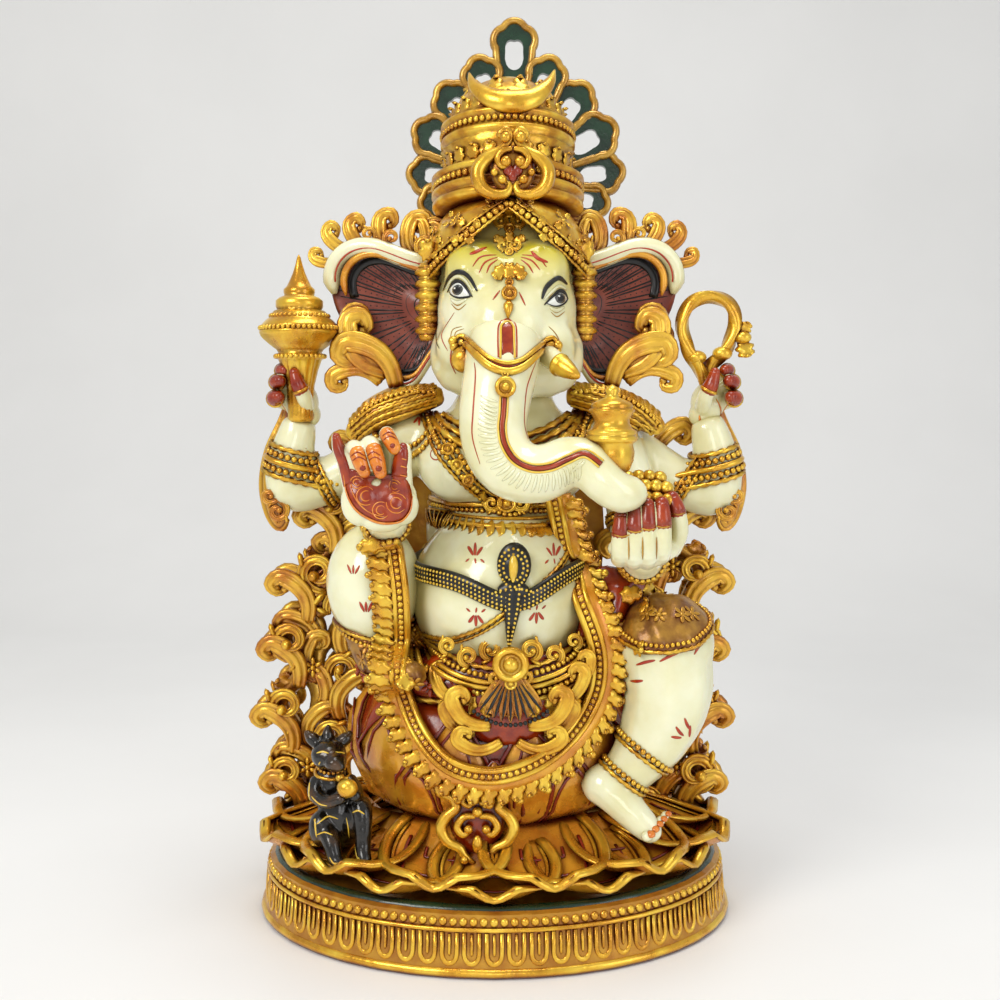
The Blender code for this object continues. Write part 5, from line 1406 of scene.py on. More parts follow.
heap = Heap()
drop = [pendant_spot(6.5 - 0.4 * t, 304 - 8 * t, 0.6)[0] for t in (0, 0.2, 0.45, 0.7, 1)]
sweep(heap, drop, [r * MM for r in (1.2, 2.4, 2.2, 1.2, 0.3)], 10, 0.7, Vector((0, -1, 0)))
heap.made("pendant_drop", "gold")

# %% Tusks
heap, caps = Heap(), Heap()
sweep(heap, [head(-11, -38, 280), head(-13.4, -50, 278), head(-14.6, -55.5, 277.4)], [5.0 * MM] * 3, 14)
lathe(caps, head(-14.0, -53, 277.8), (-0.14, -1, -0.12), [(r * MM, h * MM) for r, h in ((4, -0.5), (5.8, 0), (6.2, 1.2),
      (5.6, 2.2), (5.7, 3.4), (4.6, 5.2), (2.6, 6.2), (0.1, 6.6))], 20)
tusk = smooth_path([(22, -40, 282, 5.4), (26, -53, 278.6, 5.1), (30, -60, 275, 4.4)], 6)
sweep(heap, [head(*p[:3]) for p in tusk], [p[3] * MM for p in tusk], 14)
lathe(caps, head(29.2, -58.6, 275.6), (0.58, -0.62, -0.40), [(r * MM, h * MM) for r, h in ((4, -0.5), (5.4, 0), (5.5, 1.6),
      (4.8, 2.2), (4.9, 3.2), (4.1, 7), (2.8, 11), (1.4, 14), (0.1, 15))], 20)
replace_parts(heap.made("tusks", "ivory"), "broken_tusk", "whole_tusk")
caps.made("tusk_caps", "gold")
strokes("tusk_line", head_skin, head, [(0.8, [(-20, 284), (-20.6, 277), (-18.5, 271.5)])], "red line", lift=0.1)
print("face done")


# %% [markdown]
# ## Ears
# Each ear is a dished fan: dark red inside with black veins, an ivory rim rolled forward over it with a black band of
# painted shadow under the roll, and a gilded line along the roll. Acanthus leaves rise behind, and one curls under the
# lobe.

# %% Ears
EAR_EDGE = [(-14, 25), (4, 29), (26, 36.5), (40, 33.5), (46.5, 22), (42, 2), (26, -16), (12, -31), (3, -29), (-5, -18),
            (-14, -6), (-16, 10)]
EAR_ROOT = (-8, 4)


def ear_point(side, middle, x, z, depth=0.0):
    """A place on the ear's sheet: x runs outward from the ear's middle, depth is forward, in mm."""
    out = max(0.0, x) / 45
    return head(middle + side * x, 3 + 9 * out * out - depth, 300 + z)


def ear_inset(x, z, s):
    return EAR_ROOT[0] + (x - EAR_ROOT[0]) * s, EAR_ROOT[1] + (z - EAR_ROOT[1]) * s


def ear_dish(s):
    return 2.6 - 6.0 * math.sin(math.pi * min(1, s * 1.02)) ** 0.8


def facing_forward(heap):
    """Turns faces over where most of them look away from the front on the front side of a closed piece."""
    volume = 0.0
    for f in heap.faces:
        a = heap.points[f[0]]
        for i in range(1, len(f) - 1):
            volume += a.dot(heap.points[f[i]].cross(heap.points[f[i + 1]]))
    if volume < 0:
        heap.faces = [f[::-1] for f in heap.faces]
    return heap


ear_scrolls, ear_plumes, ear_strings = {1: [], -1: []}, {1: [], -1: []}, []
veins, shadow_bands_and_edge_lines, ear_rims, ear_gold, ear_red, ear_sheets, ear_backs = (Heap() for _ in range(7))
for side, middle in ((-1, -38), (1, 47)):
    edge = smooth_path(EAR_EDGE, 6, True)
    n = len(edge)
    for target, front, back in ((ear_sheets, 1.0, -1.0), (ear_backs, -1.2, -3.6)):
        sheet, rings = Heap(), [0.02, 0.2, 0.4, 0.6, 0.78, 0.9, 0.97, 1.0]
        points = [ear_point(side, middle, *ear_inset(x, z, s), ear_dish(s) + d * (1 if s < 1 else 0.3))
                  for d in (front, back) for s in rings for x, z in edge]
        m, faces = len(rings), []
        for k in range(m - 1):
            for i in range(n):
                a, b = k * n + i, k * n + (i + 1) % n
                faces += [[a, b, b + n, a + n], [m * n + a + n, m * n + b + n, m * n + b, m * n + a]]
        faces += [[(m - 1) * n + i, (m - 1) * n + (i + 1) % n, (2 * m - 1) * n + (i + 1) % n, (2 * m - 1) * n + i]
                  for i in range(n)]
        faces += [list(range(n))[::-1], [m * n + i for i in range(n)]]
        sheet.add(points, faces)
        facing_forward(sheet)
        target.add(sheet.points, sheet.faces)
    roll = smooth_path(EAR_EDGE[:6], 7)[2:-4]
    toward = Vector((0, -1, 0))
    fade = [min(1, 0.35 + i / 6, 0.3 + (len(roll) - 1 - i) / 2.5) for i in range(len(roll))]
    sweep(ear_rims, [ear_point(side, middle, *ear_inset(x, z, 0.98), 5.2) for x, z in roll],
          [4.6 * MM * f for f in fade], 10, 0.75, toward)
    sweep(ear_gold, [ear_point(side, middle, *ear_inset(x, z, 0.86), 6.4) for x, z in roll],
          [1.9 * MM * f for f in fade], 8, 0.8, toward)
    sweep(ear_red, [ear_point(side, middle, *ear_inset(x, z, 0.94), 8.3) for x, z in roll[2:-2]], 0.45 * MM, 6, 0.8, toward)
    # Painted shadow: a black band just inside the rolled rim, where the roll shades the dish.
    sweep(shadow_bands_and_edge_lines, [ear_point(side, middle, *ear_inset(x, z, 0.79), ear_dish(0.79) + 0.9) for x, z in roll],
          2.4 * MM, 8, 0.35, toward)
    lower = smooth_path(EAR_EDGE[7:11], 6)
    for inset, heap, r, lift in ((0.97, ear_gold, 1.2, 1.6), (0.87, shadow_bands_and_edge_lines, 1.2, 1.2), (1.13, ear_rims, 2.2, 0.4),
                                 (1.06, ear_red, 0.5, 2.2)):
        sweep(heap, [ear_point(side, middle, *ear_inset(x, z, inset), ear_dish(min(1, inset)) + lift) for x, z in lower],
              r * MM, 7, 0.8, toward)
    for k in range(30):
        x, z = edge[int((0.9 + 0.72 * k / 29 * 0.72) * n / 12 * 8.2) % n] if False else edge[int(4 + k * (n - 26) / 29)]
        line = [ear_point(side, middle, *ear_inset(x, z, s), ear_dish(s) + 0.95) for s in (0.3, 0.45, 0.6, 0.72, 0.84, 0.93)]
        sweep(veins, line, [0.25 * MM, 0.45 * MM, 0.5 * MM, 0.5 * MM, 0.42 * MM, 0.2 * MM], 5, 0.5, toward)
        x, z = edge[int(5 + k * (n - 26) / 29)]
        ear_strings.append([ear_point(side, middle, *ear_inset(x, z, s), ear_dish(s) + 0.9) for s in
                            (0.4, 0.5, 0.6, 0.7, 0.8, 0.88)])
    for s in (0.2, 0.28):
        arc = [ear_point(side, middle, *ear_inset(x, z, s), ear_dish(s) + 0.95) for x, z in edge[8:-14]]
        sweep(veins, arc, 0.4 * MM, 5, 0.5, toward)
    for x, z, turn, size, spin in ((-12, 24, (-0.1, 1), 25, 1), (-2, 28, (0.5, 1), 24, -1), (8, 31, (0.8, 0.8), 24, -1),
                                   (19, 35, (1, 0.4), 22, -1), (30, 37, (1, 0.1), 20, -1), (39, 34, (1, -0.5), 17, -1),
                                   (4, 31, (-0.6, 1), 19, 1)):
        ear_plumes[side * spin].append((ear_point(side, middle, x, z, -1.0), (0.1 * side, -1, 0.1), (turn[0] * side, 0, turn[1]),
                                        (size, size * 1.15, size * 0.9)))
    for x, z, size, spin in ((-3, 36, 13, 1), (14, 40, 11, 1), (26, 42, 9, -1)):
        ear_scrolls[side * spin].append((ear_point(side, middle, x, z, 3.5), (0, -1, 0), (side * 0.6, 0, 0.8), size))
    for x, z, turn, size, spin in ((12, -34, (0.75, 1), 36, 1), (17, -27, (1, 0.9), 34, -1), (28, -22, (0.5, 1), 28, -1),
                                   (20, -32, (1, 0.35), 26, 1)):
        ear_plumes[side * spin].append((ear_point(side, middle, x, z, 5.0), (0, -1, 0), (turn[0] * side, 0, turn[1]),
                                        (size, size, size * 0.7)))
    ear_scrolls[side].append((ear_point(side, middle, 37, -8, 7.5), (0, -1, 0), (side * 0.4, 0, 1), 15))
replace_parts(ear_sheets.made("ear_insides", "ear"), "right_ear", "left_ear")
ear_backs.made("ear_backs", "ivory")
ear_rims.made("ear_rims", "ivory")
ear_gold.made("ear_gold_lines", "amber")
ear_red.made("ear_red_lines", "red line")
shadow_bands_and_edge_lines.made("ear_shadow_lines", "black")
veins.made("ear_veins", "black")
beads("ear_dots", ear_strings, 0.38, 7.5, look="black")
for side in (-1, 1):
    ornaments("ear_scrolls_" + ("right" if side < 0 else "left"), SCROLL[side], ear_scrolls[side], "throne")
    ornaments("ear_plumes_" + ("right" if side < 0 else "left"), PLUME[side], ear_plumes[side], "throne")

# %% Ear pendants
heap, spots = Heap(), []
for x, name in ((-32.5, "right_ear_pendant"), (43.5, "left_ear_pendant")):
    profile = [(0.2, -34), (4.2, -34), (5.2, -31)]
    for h in (-31, -25.5, -20, -14, -8.5, -3):
        profile += [(4.6, h), (6.3, h + 0.9), (6.5, h + 2.2), (5.6, h + 3.4), (4.4, h + 4.0), (5.3, h + 4.5), (4.5, h + 5.1)]
    profile += [(4, 3.2), (0.2, 4.5)]
    lathe(heap, head(x, -18, 322), (0, 0, 1), [(r * MM, h * MM) for r, h in profile], 28,
          lambda i, t: 1 + (0.05 * math.cos(14 * t) if i % 7 in (4, 5) else 0))
    spots.append((head(x, -25, 326), (0, -1, 0), (0, 0, 1), (13, 13, 10)))
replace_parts(heap.made("ear_pendants", "gold"), "right_ear_pendant", "left_ear_pendant")
ornaments("ear_pendant_leaves", LEAF, spots, "gold")
print("ears done")

# %% [markdown]
# ## Necklaces and scarves
# Strings of beads and a rope lie over the shoulders and meet in a medallion under the trunk.
# Ribbed scarves cross the shoulders; each rib is laid along the scarf's own surface.

# %% Scarves and necklaces
scarves = melted("shoulder_scarves", mesh_copy(("right_shoulder_scarf", "left_shoulder_scarf"), 0.0001), 0.0012, 8, "carved")
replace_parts(scarves, "right_shoulder_scarf", "left_shoulder_scarf")
scarf_skin, ribs, edge_beads = skin_of(scarves), [], []
DOWN_FRONT = Vector((0, 0.75, -0.66)).normalized()
for side, x0, x1 in ((-1, -30, -72), (1, 40, 82)):
    for k in range(9):
        t = k / 8
        line = []
        for j in range(7):
            s = j / 6
            x = x0 + (x1 - x0) * s
            line.append(on_skin(scarf_skin, body(x, -12 + 18 * t - 2 * s, 262 - 12 * s * s - 4 * t), 0.3 * MM, DOWN_FRONT, 0.06)[0])
        (edge_beads if k in (0,) else ribs).append(line)
for side, x0 in ((-1, 0), (1, 9)):
    for drop in (-4.5, -1.5, 1.5, 4.5):
        centre = [(side * a + x0, z) for a, z in ((29, 261.5), (44, 257), (60, 251), (71, 242.5))]
        ribs.append([on_skin(scarf_skin, body(x, -20, z + drop), 0.2 * MM)[0] for x, z in smooth_path(centre, 5)])
rope("scarf_ribs", ribs, 1.2)
beads("scarf_edge_beads", edge_beads, 1.4)
chest_lines = {
    "beads": [
        [(-31, 254), (-25, 246), (-19, 237), (-13, 228), (-4, 219), (4, 214)],
        [(-35, 253), (-29, 243), (-23, 233), (-16, 224), (-6, 214), (3, 209)],
        [(44, 254), (38, 246), (32, 236), (26, 226), (18, 217), (9, 212)],
        [(48, 253), (42, 243), (36, 232), (30, 223), (20, 213), (9, 208)],
        [(-56, 246), (-50, 238), (-43, 236), (-35, 240), (-30, 247)],
        [(-60, 243), (-53, 234), (-44, 231), (-34, 236), (-28, 245)],
        [(66, 246), (60, 238), (53, 236), (45, 240), (40, 247)],
        [(70, 243), (63, 234), (54, 231), (44, 236), (38, 245)],
    ],
    "rails": [
        [(-33, 253.5), (-27, 244.5), (-21, 235), (-14.5, 226), (-5, 216.5), (3.5, 211.5)],
        [(46, 253.5), (40, 244.5), (34, 234), (28, 224.5), (19, 215), (9, 210)],
        [(-37, 252), (-31, 241), (-25, 231), (-17, 221.5), (-7, 212), (3, 206.5)],
        [(50, 252), (44, 241), (38, 230), (32, 221), (22, 211), (9, 205.5)],
    ],
}


def chest(lines, lift):
    return [[on_skin(body_skin, body(p[0], -20, p[1]), lift * MM)[0] for p in smooth_path(line, 6)] for line in lines]


collar = [(-32, 260), (-22, 250), (-9, 243.5), (6, 241), (21, 243.5), (34, 250), (44, 260)]
for step in range(3):
    rope(f"neck_collar_{step}", chest([[(x, z - 4.2 * step) for x, z in collar]], 1.2), 2.1, look="carved")
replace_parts(beads("necklace_beads", chest(chest_lines["beads"], 0.8), 1.6), "necklace")
rope("necklace_ropes", chest(chest_lines["rails"], 0.5), 1.2)
coins = [(*on_skin(body_skin, body(x, -20, z), 0.8 * MM), (0, 0, 1), 6.5) for x, z in
         ((33, 226), (37, 232), (29, 219), (40, 238), (-18, 229), (-22, 236), (-13, 222))]
medallion, normal = on_skin(body_skin, body(6, -20, 208), 2 * MM)
ornaments("necklace_medals", MEDAL, coins + [(medallion, normal, (0, 0, 1), 11)], "gold")
for side in (-1, 1):
    ornaments("necklace_scrolls_" + ("right" if side < 0 else "left"), SCROLL[side],
              [(medallion + Vector((side * 7.5 * MM, 0, 0)), normal, (side * 0.4, 0, -1), 11),
               (medallion + Vector((side * 4.5 * MM, 0, -5 * MM)), normal, (side * 0.2, 0, -1), 8)], "gold")
tassel = [on_skin(body_skin, body(x, -20, z), 1.0 * MM) for x, z in ((-15, 204), (-9, 203), (-3, 201), (2, 199.5), (7, 199),
          (12, 199.5), (17, 201), (23, 203), (28, 204))]

# %% [markdown]
# ## Bands on belly, waist and limbs
# A jewelled band, a snake with its hood raised at the middle, a sacred thread and layers of bangles.

# %% Belly band, snake and thread
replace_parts(ring_stack("belly_band", body_skin, body(4, -8, 203), (0.02, 0, 1), [(5.2, "rail", 1.5), (2.4, "beads", 1.5),
            (-0.6, "rail", 1.1), (-3.6, "rail", 1.5)], 49, 72)[0], "belly_band")
high, low = (even_ring([(p, p) for p in ring_on(body_skin, body(4, -8, z), (0.02, 0, 1), 0.5, 72, 52)], 52)
             for z in (200, 191.5))
fringe = []
for (a, _), (b, _) in list(zip(high, low)):
    out = a - body(4, -8, 199)
    grow = (b - a).normalized()
    fringe.append((a, (out - grow * out.dot(grow)).normalized(), grow, (8.6, 11, 6)))
ornaments("belly_band_fringe", TONGUE, fringe, "gold")
gorget = [(-7, 216), (-2, 209.5), (7, 206.6), (15, 208.6), (21, 214.5)]
rope("gorget_rope", chest([gorget], 1.6), 2.4)
beads("gorget_beads", chest([[(x, z - 3.6) for x, z in gorget]], 1.0), 1.4)
snake_path = []
for p in ring_on(body_skin, body(4, -8, 180), (-0.035, -0.06, 1), 1.3, 110, 54):
    if p.y < body(0, -22, 0).y:
        droop = 11 * MM * math.exp(-((p.x - body(9, 0, 0).x) / (19 * MM)) ** 2)
        p = on_skin(body_skin, p - Vector((0, 0, droop)), 1.3 * MM)[0]
    snake_path.append(p)
snake_path = [sum((snake_path[(k + j) % len(snake_path)] for j in (-1, 0, 1)), Vector()) / 3 for k in range(len(snake_path))]
snake_outs = [(p - body(4, -8, 179)).normalized() for p in snake_path]
heap, yellow_dots = Heap(), []
sweep(heap, snake_path, 4.6 * MM, 14, 0.5, snake_outs, True)
hood, hood_out = on_skin(body_skin, body(8.8, -20, 182.5), 2.2 * MM)
blob(heap, hood, MM, (8.0, 3.0, 10.5), rings=12, sides=20)
blob(heap, hood + Vector((0, -0.6, -3)) * MM, MM, (6.6, 3.2, 9), rings=12, sides=20)
for route in ([(8.6, 172, 5.0), (8.2, 165, 4.2), (7.6, 158, 3.0), (7.0, 151, 1.8), (6.6, 145.5, 0.5)],
              [(2, 171, 2.4), (8.4, 172, 5.4), (15, 171, 2.4)]):
    line = smooth_path(route, 6)
    found = [on_skin(body_skin, body(p[0], -20, p[1]), 2.0 * MM) for p in line]
    sweep(heap, [p for p, _ in found], [p[2] * MM for p in line], 10, 0.6, [n for _, n in found])
    for shift in (-0.45, 0.45):
        yellow_dots.append([p + Vector((shift * q[2], 0, 0)) * MM + n * q[2] * 0.5 * MM for (p, n), q in zip(found, line)])
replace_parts(heap.made("snake", "snake"), "snake_belt")
snake_skin = skin_of(bpy.data.objects["snake"])
strokes("snake_slot", snake_skin, body, [(4.2, [(8.8, 188), (8.8, 183), (8.6, 176.5)])], "yellow", lift=0.1, flat=0.5)
for row in (-2.9, -1, 1, 2.9):
    yellow_dots.append([p + n * 1.9 * MM + Vector((0, 0, row * MM)) for p, n in zip(snake_path, snake_outs)])
for reach in (0.82, 0.58):
    yellow_dots.append([on_skin(snake_skin, body(8.8 + 8 * reach * math.sin(a), -20, 182.5 + 10.5 * reach * math.cos(a)))[0]
                        for a in (2 * math.pi * k / 24 for k in range(25))])
beads("snake_dots", yellow_dots, 0.66, 3.3, look="yellow")
thread = [(37, 190), (30, 181), (20.8, 173.4), (13, 167), (4.6, 161.5), (-3, 156), (-11.6, 151), (-22, 147), (-34, 146)]
rope("sacred_thread", chest([thread], 0.5), 1.25)
rope("sacred_thread_second", chest([[(x, z - 2.6) for x, z in thread]], 0.4), 0.9)
florals = []
for x, z, s, up in ((-9, 187, 1, 1), (28, 186, 1, 1), (-8.5, 160, 1, -1), (19.5, 161, 1, -1), (-37.5, 251, 0.8, -1)):
    for dx in (-3.4, 0, 3.4):
        florals.append((1.6 * s, [(x + dx * 0.25 * s, z), (x + dx * 0.7 * s, z + 2.4 * up * s), (x + dx * s, z + (5.4 - abs(dx) * 0.5)
                        * up * s)]))
    florals.append((1.0 * s, [(x, z - 1.2 * up), (x + 0.4, z - 3.6 * up)]))
    florals += [(1.0 * s, [(x - 2.6 * s, z - 1.5 * up), (x - 4.4 * s, z - 3 * up)]),
                (1.0 * s, [(x + 2.6 * s, z - 1.5 * up), (x + 4.4 * s, z - 3 * up)])]
florals += [(0.7, circle(-27.8, 233.7, 2.6) + [(-25.2, 233.7)]), (1.4, [(-28.3, 233.7), (-27.3, 233.7)])]
strokes("belly_florals", body_skin, body, florals, "red line", lift=0.1)

# %% Bangles and anklets
def arm_axis(a, b):
    return (body(*b) - body(*a)).normalized()


BANGLE = [(-3.4, "rope", 1.3), (-0.6, "beads", 1.5), (2.4, "rope", 1.3)]
ring_stack("blessing_bangle", body_skin, body(-51, -50, 202), arm_axis((-54, -32, 200), (-48, -64, 205)),
           BANGLE + [(5.4, "beads", 1.3)], replaced=("blessing_bangle",))
ring_stack("sweets_bangle", body_skin, body(69, -54, 185.4), arm_axis((70, -34, 186), (68, -66, 188)),
           BANGLE + [(5.4, "beads", 1.3)], replaced=("sweets_bangle",))
CUFF = [(-9, "rope", 1.6), (-5.6, "beads", 1.7), (-2, "rail", 1.7), (1.6, "beads", 1.7), (5.2, "rope", 1.6)]
ring_stack("mace_cuff", body_skin, body(-104.5, 3, 230), arm_axis((-105, 3, 226), (-101, 2, 240)), CUFF,
           replaced=("mace_cuff",))
ring_stack("noose_cuff", body_skin, body(113.5, 3, 229), arm_axis((114, 3, 225), (110, 2, 240)), CUFF,
           replaced=("noose_cuff",))
ARMLET = [(-2.6, "rope", 1.2), (0, "beads", 1.4), (2.6, "rope", 1.2)]
ring_stack("mace_armlet", body_skin, body(-88, 8, 217), arm_axis((-70, 10, 226), (-90, 8, 216)), ARMLET)
ring_stack("noose_armlet", body_skin, body(97, 8, 216), arm_axis((82, 10, 225), (100, 8, 214)), ARMLET)
ring_stack("blessing_armlet", body_skin, body(-57, -12, 209), arm_axis((-56, -6, 220), (-57, -14, 206)), ARMLET)
ring_stack("sweets_armlet", body_skin, body(70, -12, 200), arm_axis((67, -6, 218), (70, -14, 196)), ARMLET)
ankle = left = region["torso"](68, -47, 87)
shin = (body(76, -46, 98) - body(62, -47.5, 80)).normalized()
ring_stack("upper_anklet", leg_skin, body(71, -46.5, 91), shin, [(-1.5, "rope", 1.3), (1.2, "beads", 1.5)], 30,
           replaced=("upper_anklet",))
ring_stack("lower_anklet", leg_skin, body(61.5, -47.6, 80), shin, [(-1.5, "rope", 1.3), (1.2, "beads", 1.5)], 30)
print("jewellery done")

# %% [markdown]
# ## Cloth at the lap
# The loincloth is carved in low relief and lined in maroon; a pleated fan hangs from its rosette,
# and the hanging leg's thigh is wrapped to just above the knee.

# %% Loincloth, belt and fan
loincloth = melted("loincloth_carved", mesh_copy(("loincloth",), 0.0002), 0.0015, 12, "henna")
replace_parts(loincloth, "loincloth")
lap_skin = skin_of(marble_body, loincloth, folded_leg, hanging_leg)


def lap(lines, lift):
    out = []
    for line in lines:
        path = [on_skin(lap_skin, body(p[0], -20, p[1]), lift * MM)[0] for p in smooth_path(line, 5)]
        out.append([sum((path[min(max(i + j, 0), len(path) - 1)] for j in (-1, 0, 1)), Vector()) / 3
                    for i in range(len(path))])
    return out


belt = [(-41, 147), (-36, 140), (-26, 134), (-12, 129.5), (6, 127.6), (24, 130), (38, 135), (48, 143)]


def belt_row(drop):
    return [(x, z - drop) for x, z in belt]


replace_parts(rope("waist_belt_ropes", lap([belt_row(-6), belt_row(9)], 0.8), 1.5), "waist_belt")
beads("waist_belt_beads", lap([belt_row(-3), belt_row(5.6)], 1.0), 1.5)
heap = Heap()
for drop, radius in ((0, 1.3), (2.6, 1.3)):
    sweep(heap, lap([belt_row(drop)], 0.9)[0], radius * MM, 8)
heap.made("waist_belt_rails", "gold")
relief = []
for row, (z, count) in enumerate(((121, 11),)):
    for k in range(count):
        x = 6 + (k - (count - 1) / 2) * 9.0 + (0 if row % 2 else 1.5)
        p, n = on_skin(lap_skin, body(x, -20, z), 0.2 * MM)
        relief.append((p, (n + Vector((0, -0.5, 0))).normalized(), (0.02 * (x - 6), 0, -1), (12, 13, 8)))
for x, z, turn in ((58, 152, (1, -0.3)), (66, 158, (1, 0.2)), (56, 140, (1, -0.6)), (50, 131, (0.7, -1)), (-38, 133, (-0.7, -1)),
                   (-30, 127, (-0.5, -1)), (64, 146, (1, -0.2)), (72, 165, (1, 0)), (60, 166, (1, 0.3))):
    p, n = on_skin(lap_skin, body(x, -20, z), 0.2 * MM)
    relief.append((p, n, (turn[0], 0, turn[1]), (13, 13, 8)))
ornaments("loincloth_relief", LEAF, relief, "gold")
seat_front = skin_of(bpy.data.objects["bud_petals"], loincloth)
for side in (-1, 1):
    spots = []
    for x, z, turn, size in ((9, 108, (1, 0.5), 24), (4, 100, (1, -0.1), 22), (20, 118, (1, 0.6), 22), (16, 104, (0.9, 0.5), 20),
                             (30, 126, (0.7, 0.9), 17)):
        p, n = on_skin(seat_front, body(7 + side * x, -20, z), 0.6 * MM)
        spots.append((p, (n + Vector((0, -1, 0))).normalized(), (side * turn[0], 0, turn[1]), (size, size, size * 0.6)))
    ornaments("lap_plumes_" + ("right" if side < 0 else "left"), PLUME[-side], spots, "carved")
FAN = (7.5, 140)
pleats, fan_lines = [], Heap()
for k in range(9):
    a = math.radians(-38 + 76 * k / 8)
    turn = Vector((math.sin(a), -0.12, -math.cos(a)))
    pleats.append((body(FAN[0], -67 - 0.8 * (k % 2), FAN[1] - 4), (0, -1, -0.1), turn, (27 - abs(k - 4) * 0.7, 6.6, 7)))
    tip = body(FAN[0], -70.2 - 0.8 * (k % 2), FAN[1] - 4)
    sweep(fan_lines, [tip + turn * t * MM for t in (8, 13, 18, 23)], [0.2 * MM, 0.6 * MM, 0.8 * MM, 0.2 * MM], 5, 0.6,
          Vector((0, -1, 0)))
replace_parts(ornaments("sash_fan_pleats", TONGUE, pleats, "amber"), "sash_fan")
fan_lines.made("sash_fan_lines", "black")
edge = [body(FAN[0] + 25.5 * math.sin(a), -68.5 - 3 * math.cos(a), FAN[1] - 4 - 25.5 * math.cos(a))
        for a in (math.radians(-41 + 82 * k / 24) for k in range(25))]
beads("sash_fan_beads", [edge], 1.1, 2.0, look="black")
rosette = body(FAN[0], -71, FAN[1] - 1)
ornaments("rosette_medals", MEDAL, [(rosette, (0, -1, 0), (0, 0, 1), 17), (rosette + Vector((0, -0.5, -9)) * MM, (0, -1, 0),
          (0, 0, 1), 6)], "gold")
for side in (-1, 1):
    spots = []
    for dx, dz, size, along in ((9, 0, 13, (0.2, 0.8)), (18, 3.5, 12, (0.3, 0.8)), (27, 8, 10, (0.3, 0.9)), (7, -8, 9, (0.3, -1))):
        p, n = on_skin(lap_skin, body(FAN[0] + side * dx, -20, FAN[1] - 1 + dz), 4.5 * MM)
        spots.append((p, (0, -1, 0), (side * along[0], 0, along[1]), size))
    ornaments("rosette_scrolls_" + ("right" if side < 0 else "left"), SCROLL[side], spots, "gold")

# %% Cloth on the thighs
def wrapped(name, node, grow, hem_at, hem_up, looks="cloth"):
    """A cloth wrapped round a leg: the leg a little larger, cut at a slanting hem, with its folds."""
    cloth = melted(name, mesh_copy((node,), grow), 0.0014, 12, looks)
    shape = bmesh.new()
    shape.from_mesh(cloth.data)
    bmesh.ops.bisect_plane(shape, geom=shape.verts[:] + shape.edges[:] + shape.faces[:], plane_co=hem_at, plane_no=hem_up,
                           clear_inner=True)
    bmesh.ops.holes_fill(shape, edges=[e for e in shape.edges if e.is_boundary], sides=0)
    for v in shape.verts:
        v.co += v.normal * math.sin((v.co.x * 0.9 + v.co.z * 0.6 - v.co.y * 0.4) / MM * 0.55) * 0.5 * MM
    shape.to_mesh(cloth.data)
    shape.free()
    return skin_of(cloth)


hem_at, hem_up = region["torso"](80, -45, 151), Vector((-0.12, -0.35, 1)).normalized()
shin_at, shin_up = region["torso"](-50, -45, 145), Vector((-0.25, 0.1, -1)).normalized()
cloth_sprigs = []
for name, node, grow, at, up, spots in (
        ("thigh_cloth", "hanging_leg", 0.0022, hem_at, hem_up, [(x, z) for x in (60, 68, 76, 84, 92) for z in (160, 169, 177)]),
        ("shin_cloth", "folded_leg", 0.0016, shin_at, shin_up, [(x, z) for x in (-72, -63, -54, -45, -37) for z in (128, 136, 143)])):
    cloth_skin = wrapped(name, node, grow, at, up)
    rope(name + "_hem_rope", [ring_on(cloth_skin, at + up * 1.2 * MM, up, 0.4, 56, 40)], 1.2, closed=True)
    beads(name + "_hem_beads", [ring_on(cloth_skin, at + up * 4.0 * MM, up, 0.5, 56, 40)], 1.2, 2.1, True)
    for i, (x, z) in enumerate(spots):
        p, n = on_skin(cloth_skin, body(x + 3 * (i % 2), -20, z), 0.1 * MM)
        if (p - body(x, p.y, z)).length < 0.2:
            cloth_sprigs.append((p, n, (0.4 if i % 2 else -0.4, 0, 1), (9.5, 9.5, 2.6)))
ornaments("cloth_sprigs", FLOWER, cloth_sprigs, "antique")
leg_strokes = []
for x, z, dx, dz in ((67, 143, 9, 3), (80, 149, 8, 4), (66, 136, 8, 3.5), (76, 139, 10, 5), (92, 142, 5, 6), (64, 127, 5, 2),
                     (84, 108, 4, -5), (88, 112, 3, -6), (91, 108, 0, -6), (82, 103, 5, -1)):
    leg_strokes.append((1.5, [(x, z), (x + dx * 0.5, z + dz * 0.6), (x + dx, z + dz)]))
for x, z, s in ((-60, 160, 1), (-66, 178, 0.8), (-54, 175, 0.8)):
    for dx in (-3, 0, 3):
        leg_strokes.append((1.5 * s, [(x + dx * 0.3, z), (x + dx, z + 5 * s)]))
strokes("leg_red_strokes", leg_skin, body, leg_strokes, "red line", lift=0.1)
toes, nails = Heap(), Heap()
for k in range(5):
    x, y, z, r = 71.2 + k * 2.3, -66.5 + k * 2.1, 56.5 + k * 1.7, 3.1 - k * 0.22
    blob(toes, body(x, y, z), r * MM, (0.9, 1.25, 0.85), Quaternion((0, 0, 1), -0.5).to_matrix())
    blob(nails, body(x + 1.4, y - 1.8, z + 1.4), r * 0.72 * MM, (1, 1, 0.6), Quaternion((1, 0, 0), 0.5).to_matrix(), 6, 10)
toes.made("left_toes", "ivory")
nails.made("toe_nails", "orange")

# %% [markdown]
# ## Garland
# The long garland is a rail and a string of beads with leafy lappets outside it, each tipped with a ball.
# A scrolled pendant hangs from its lowest point.

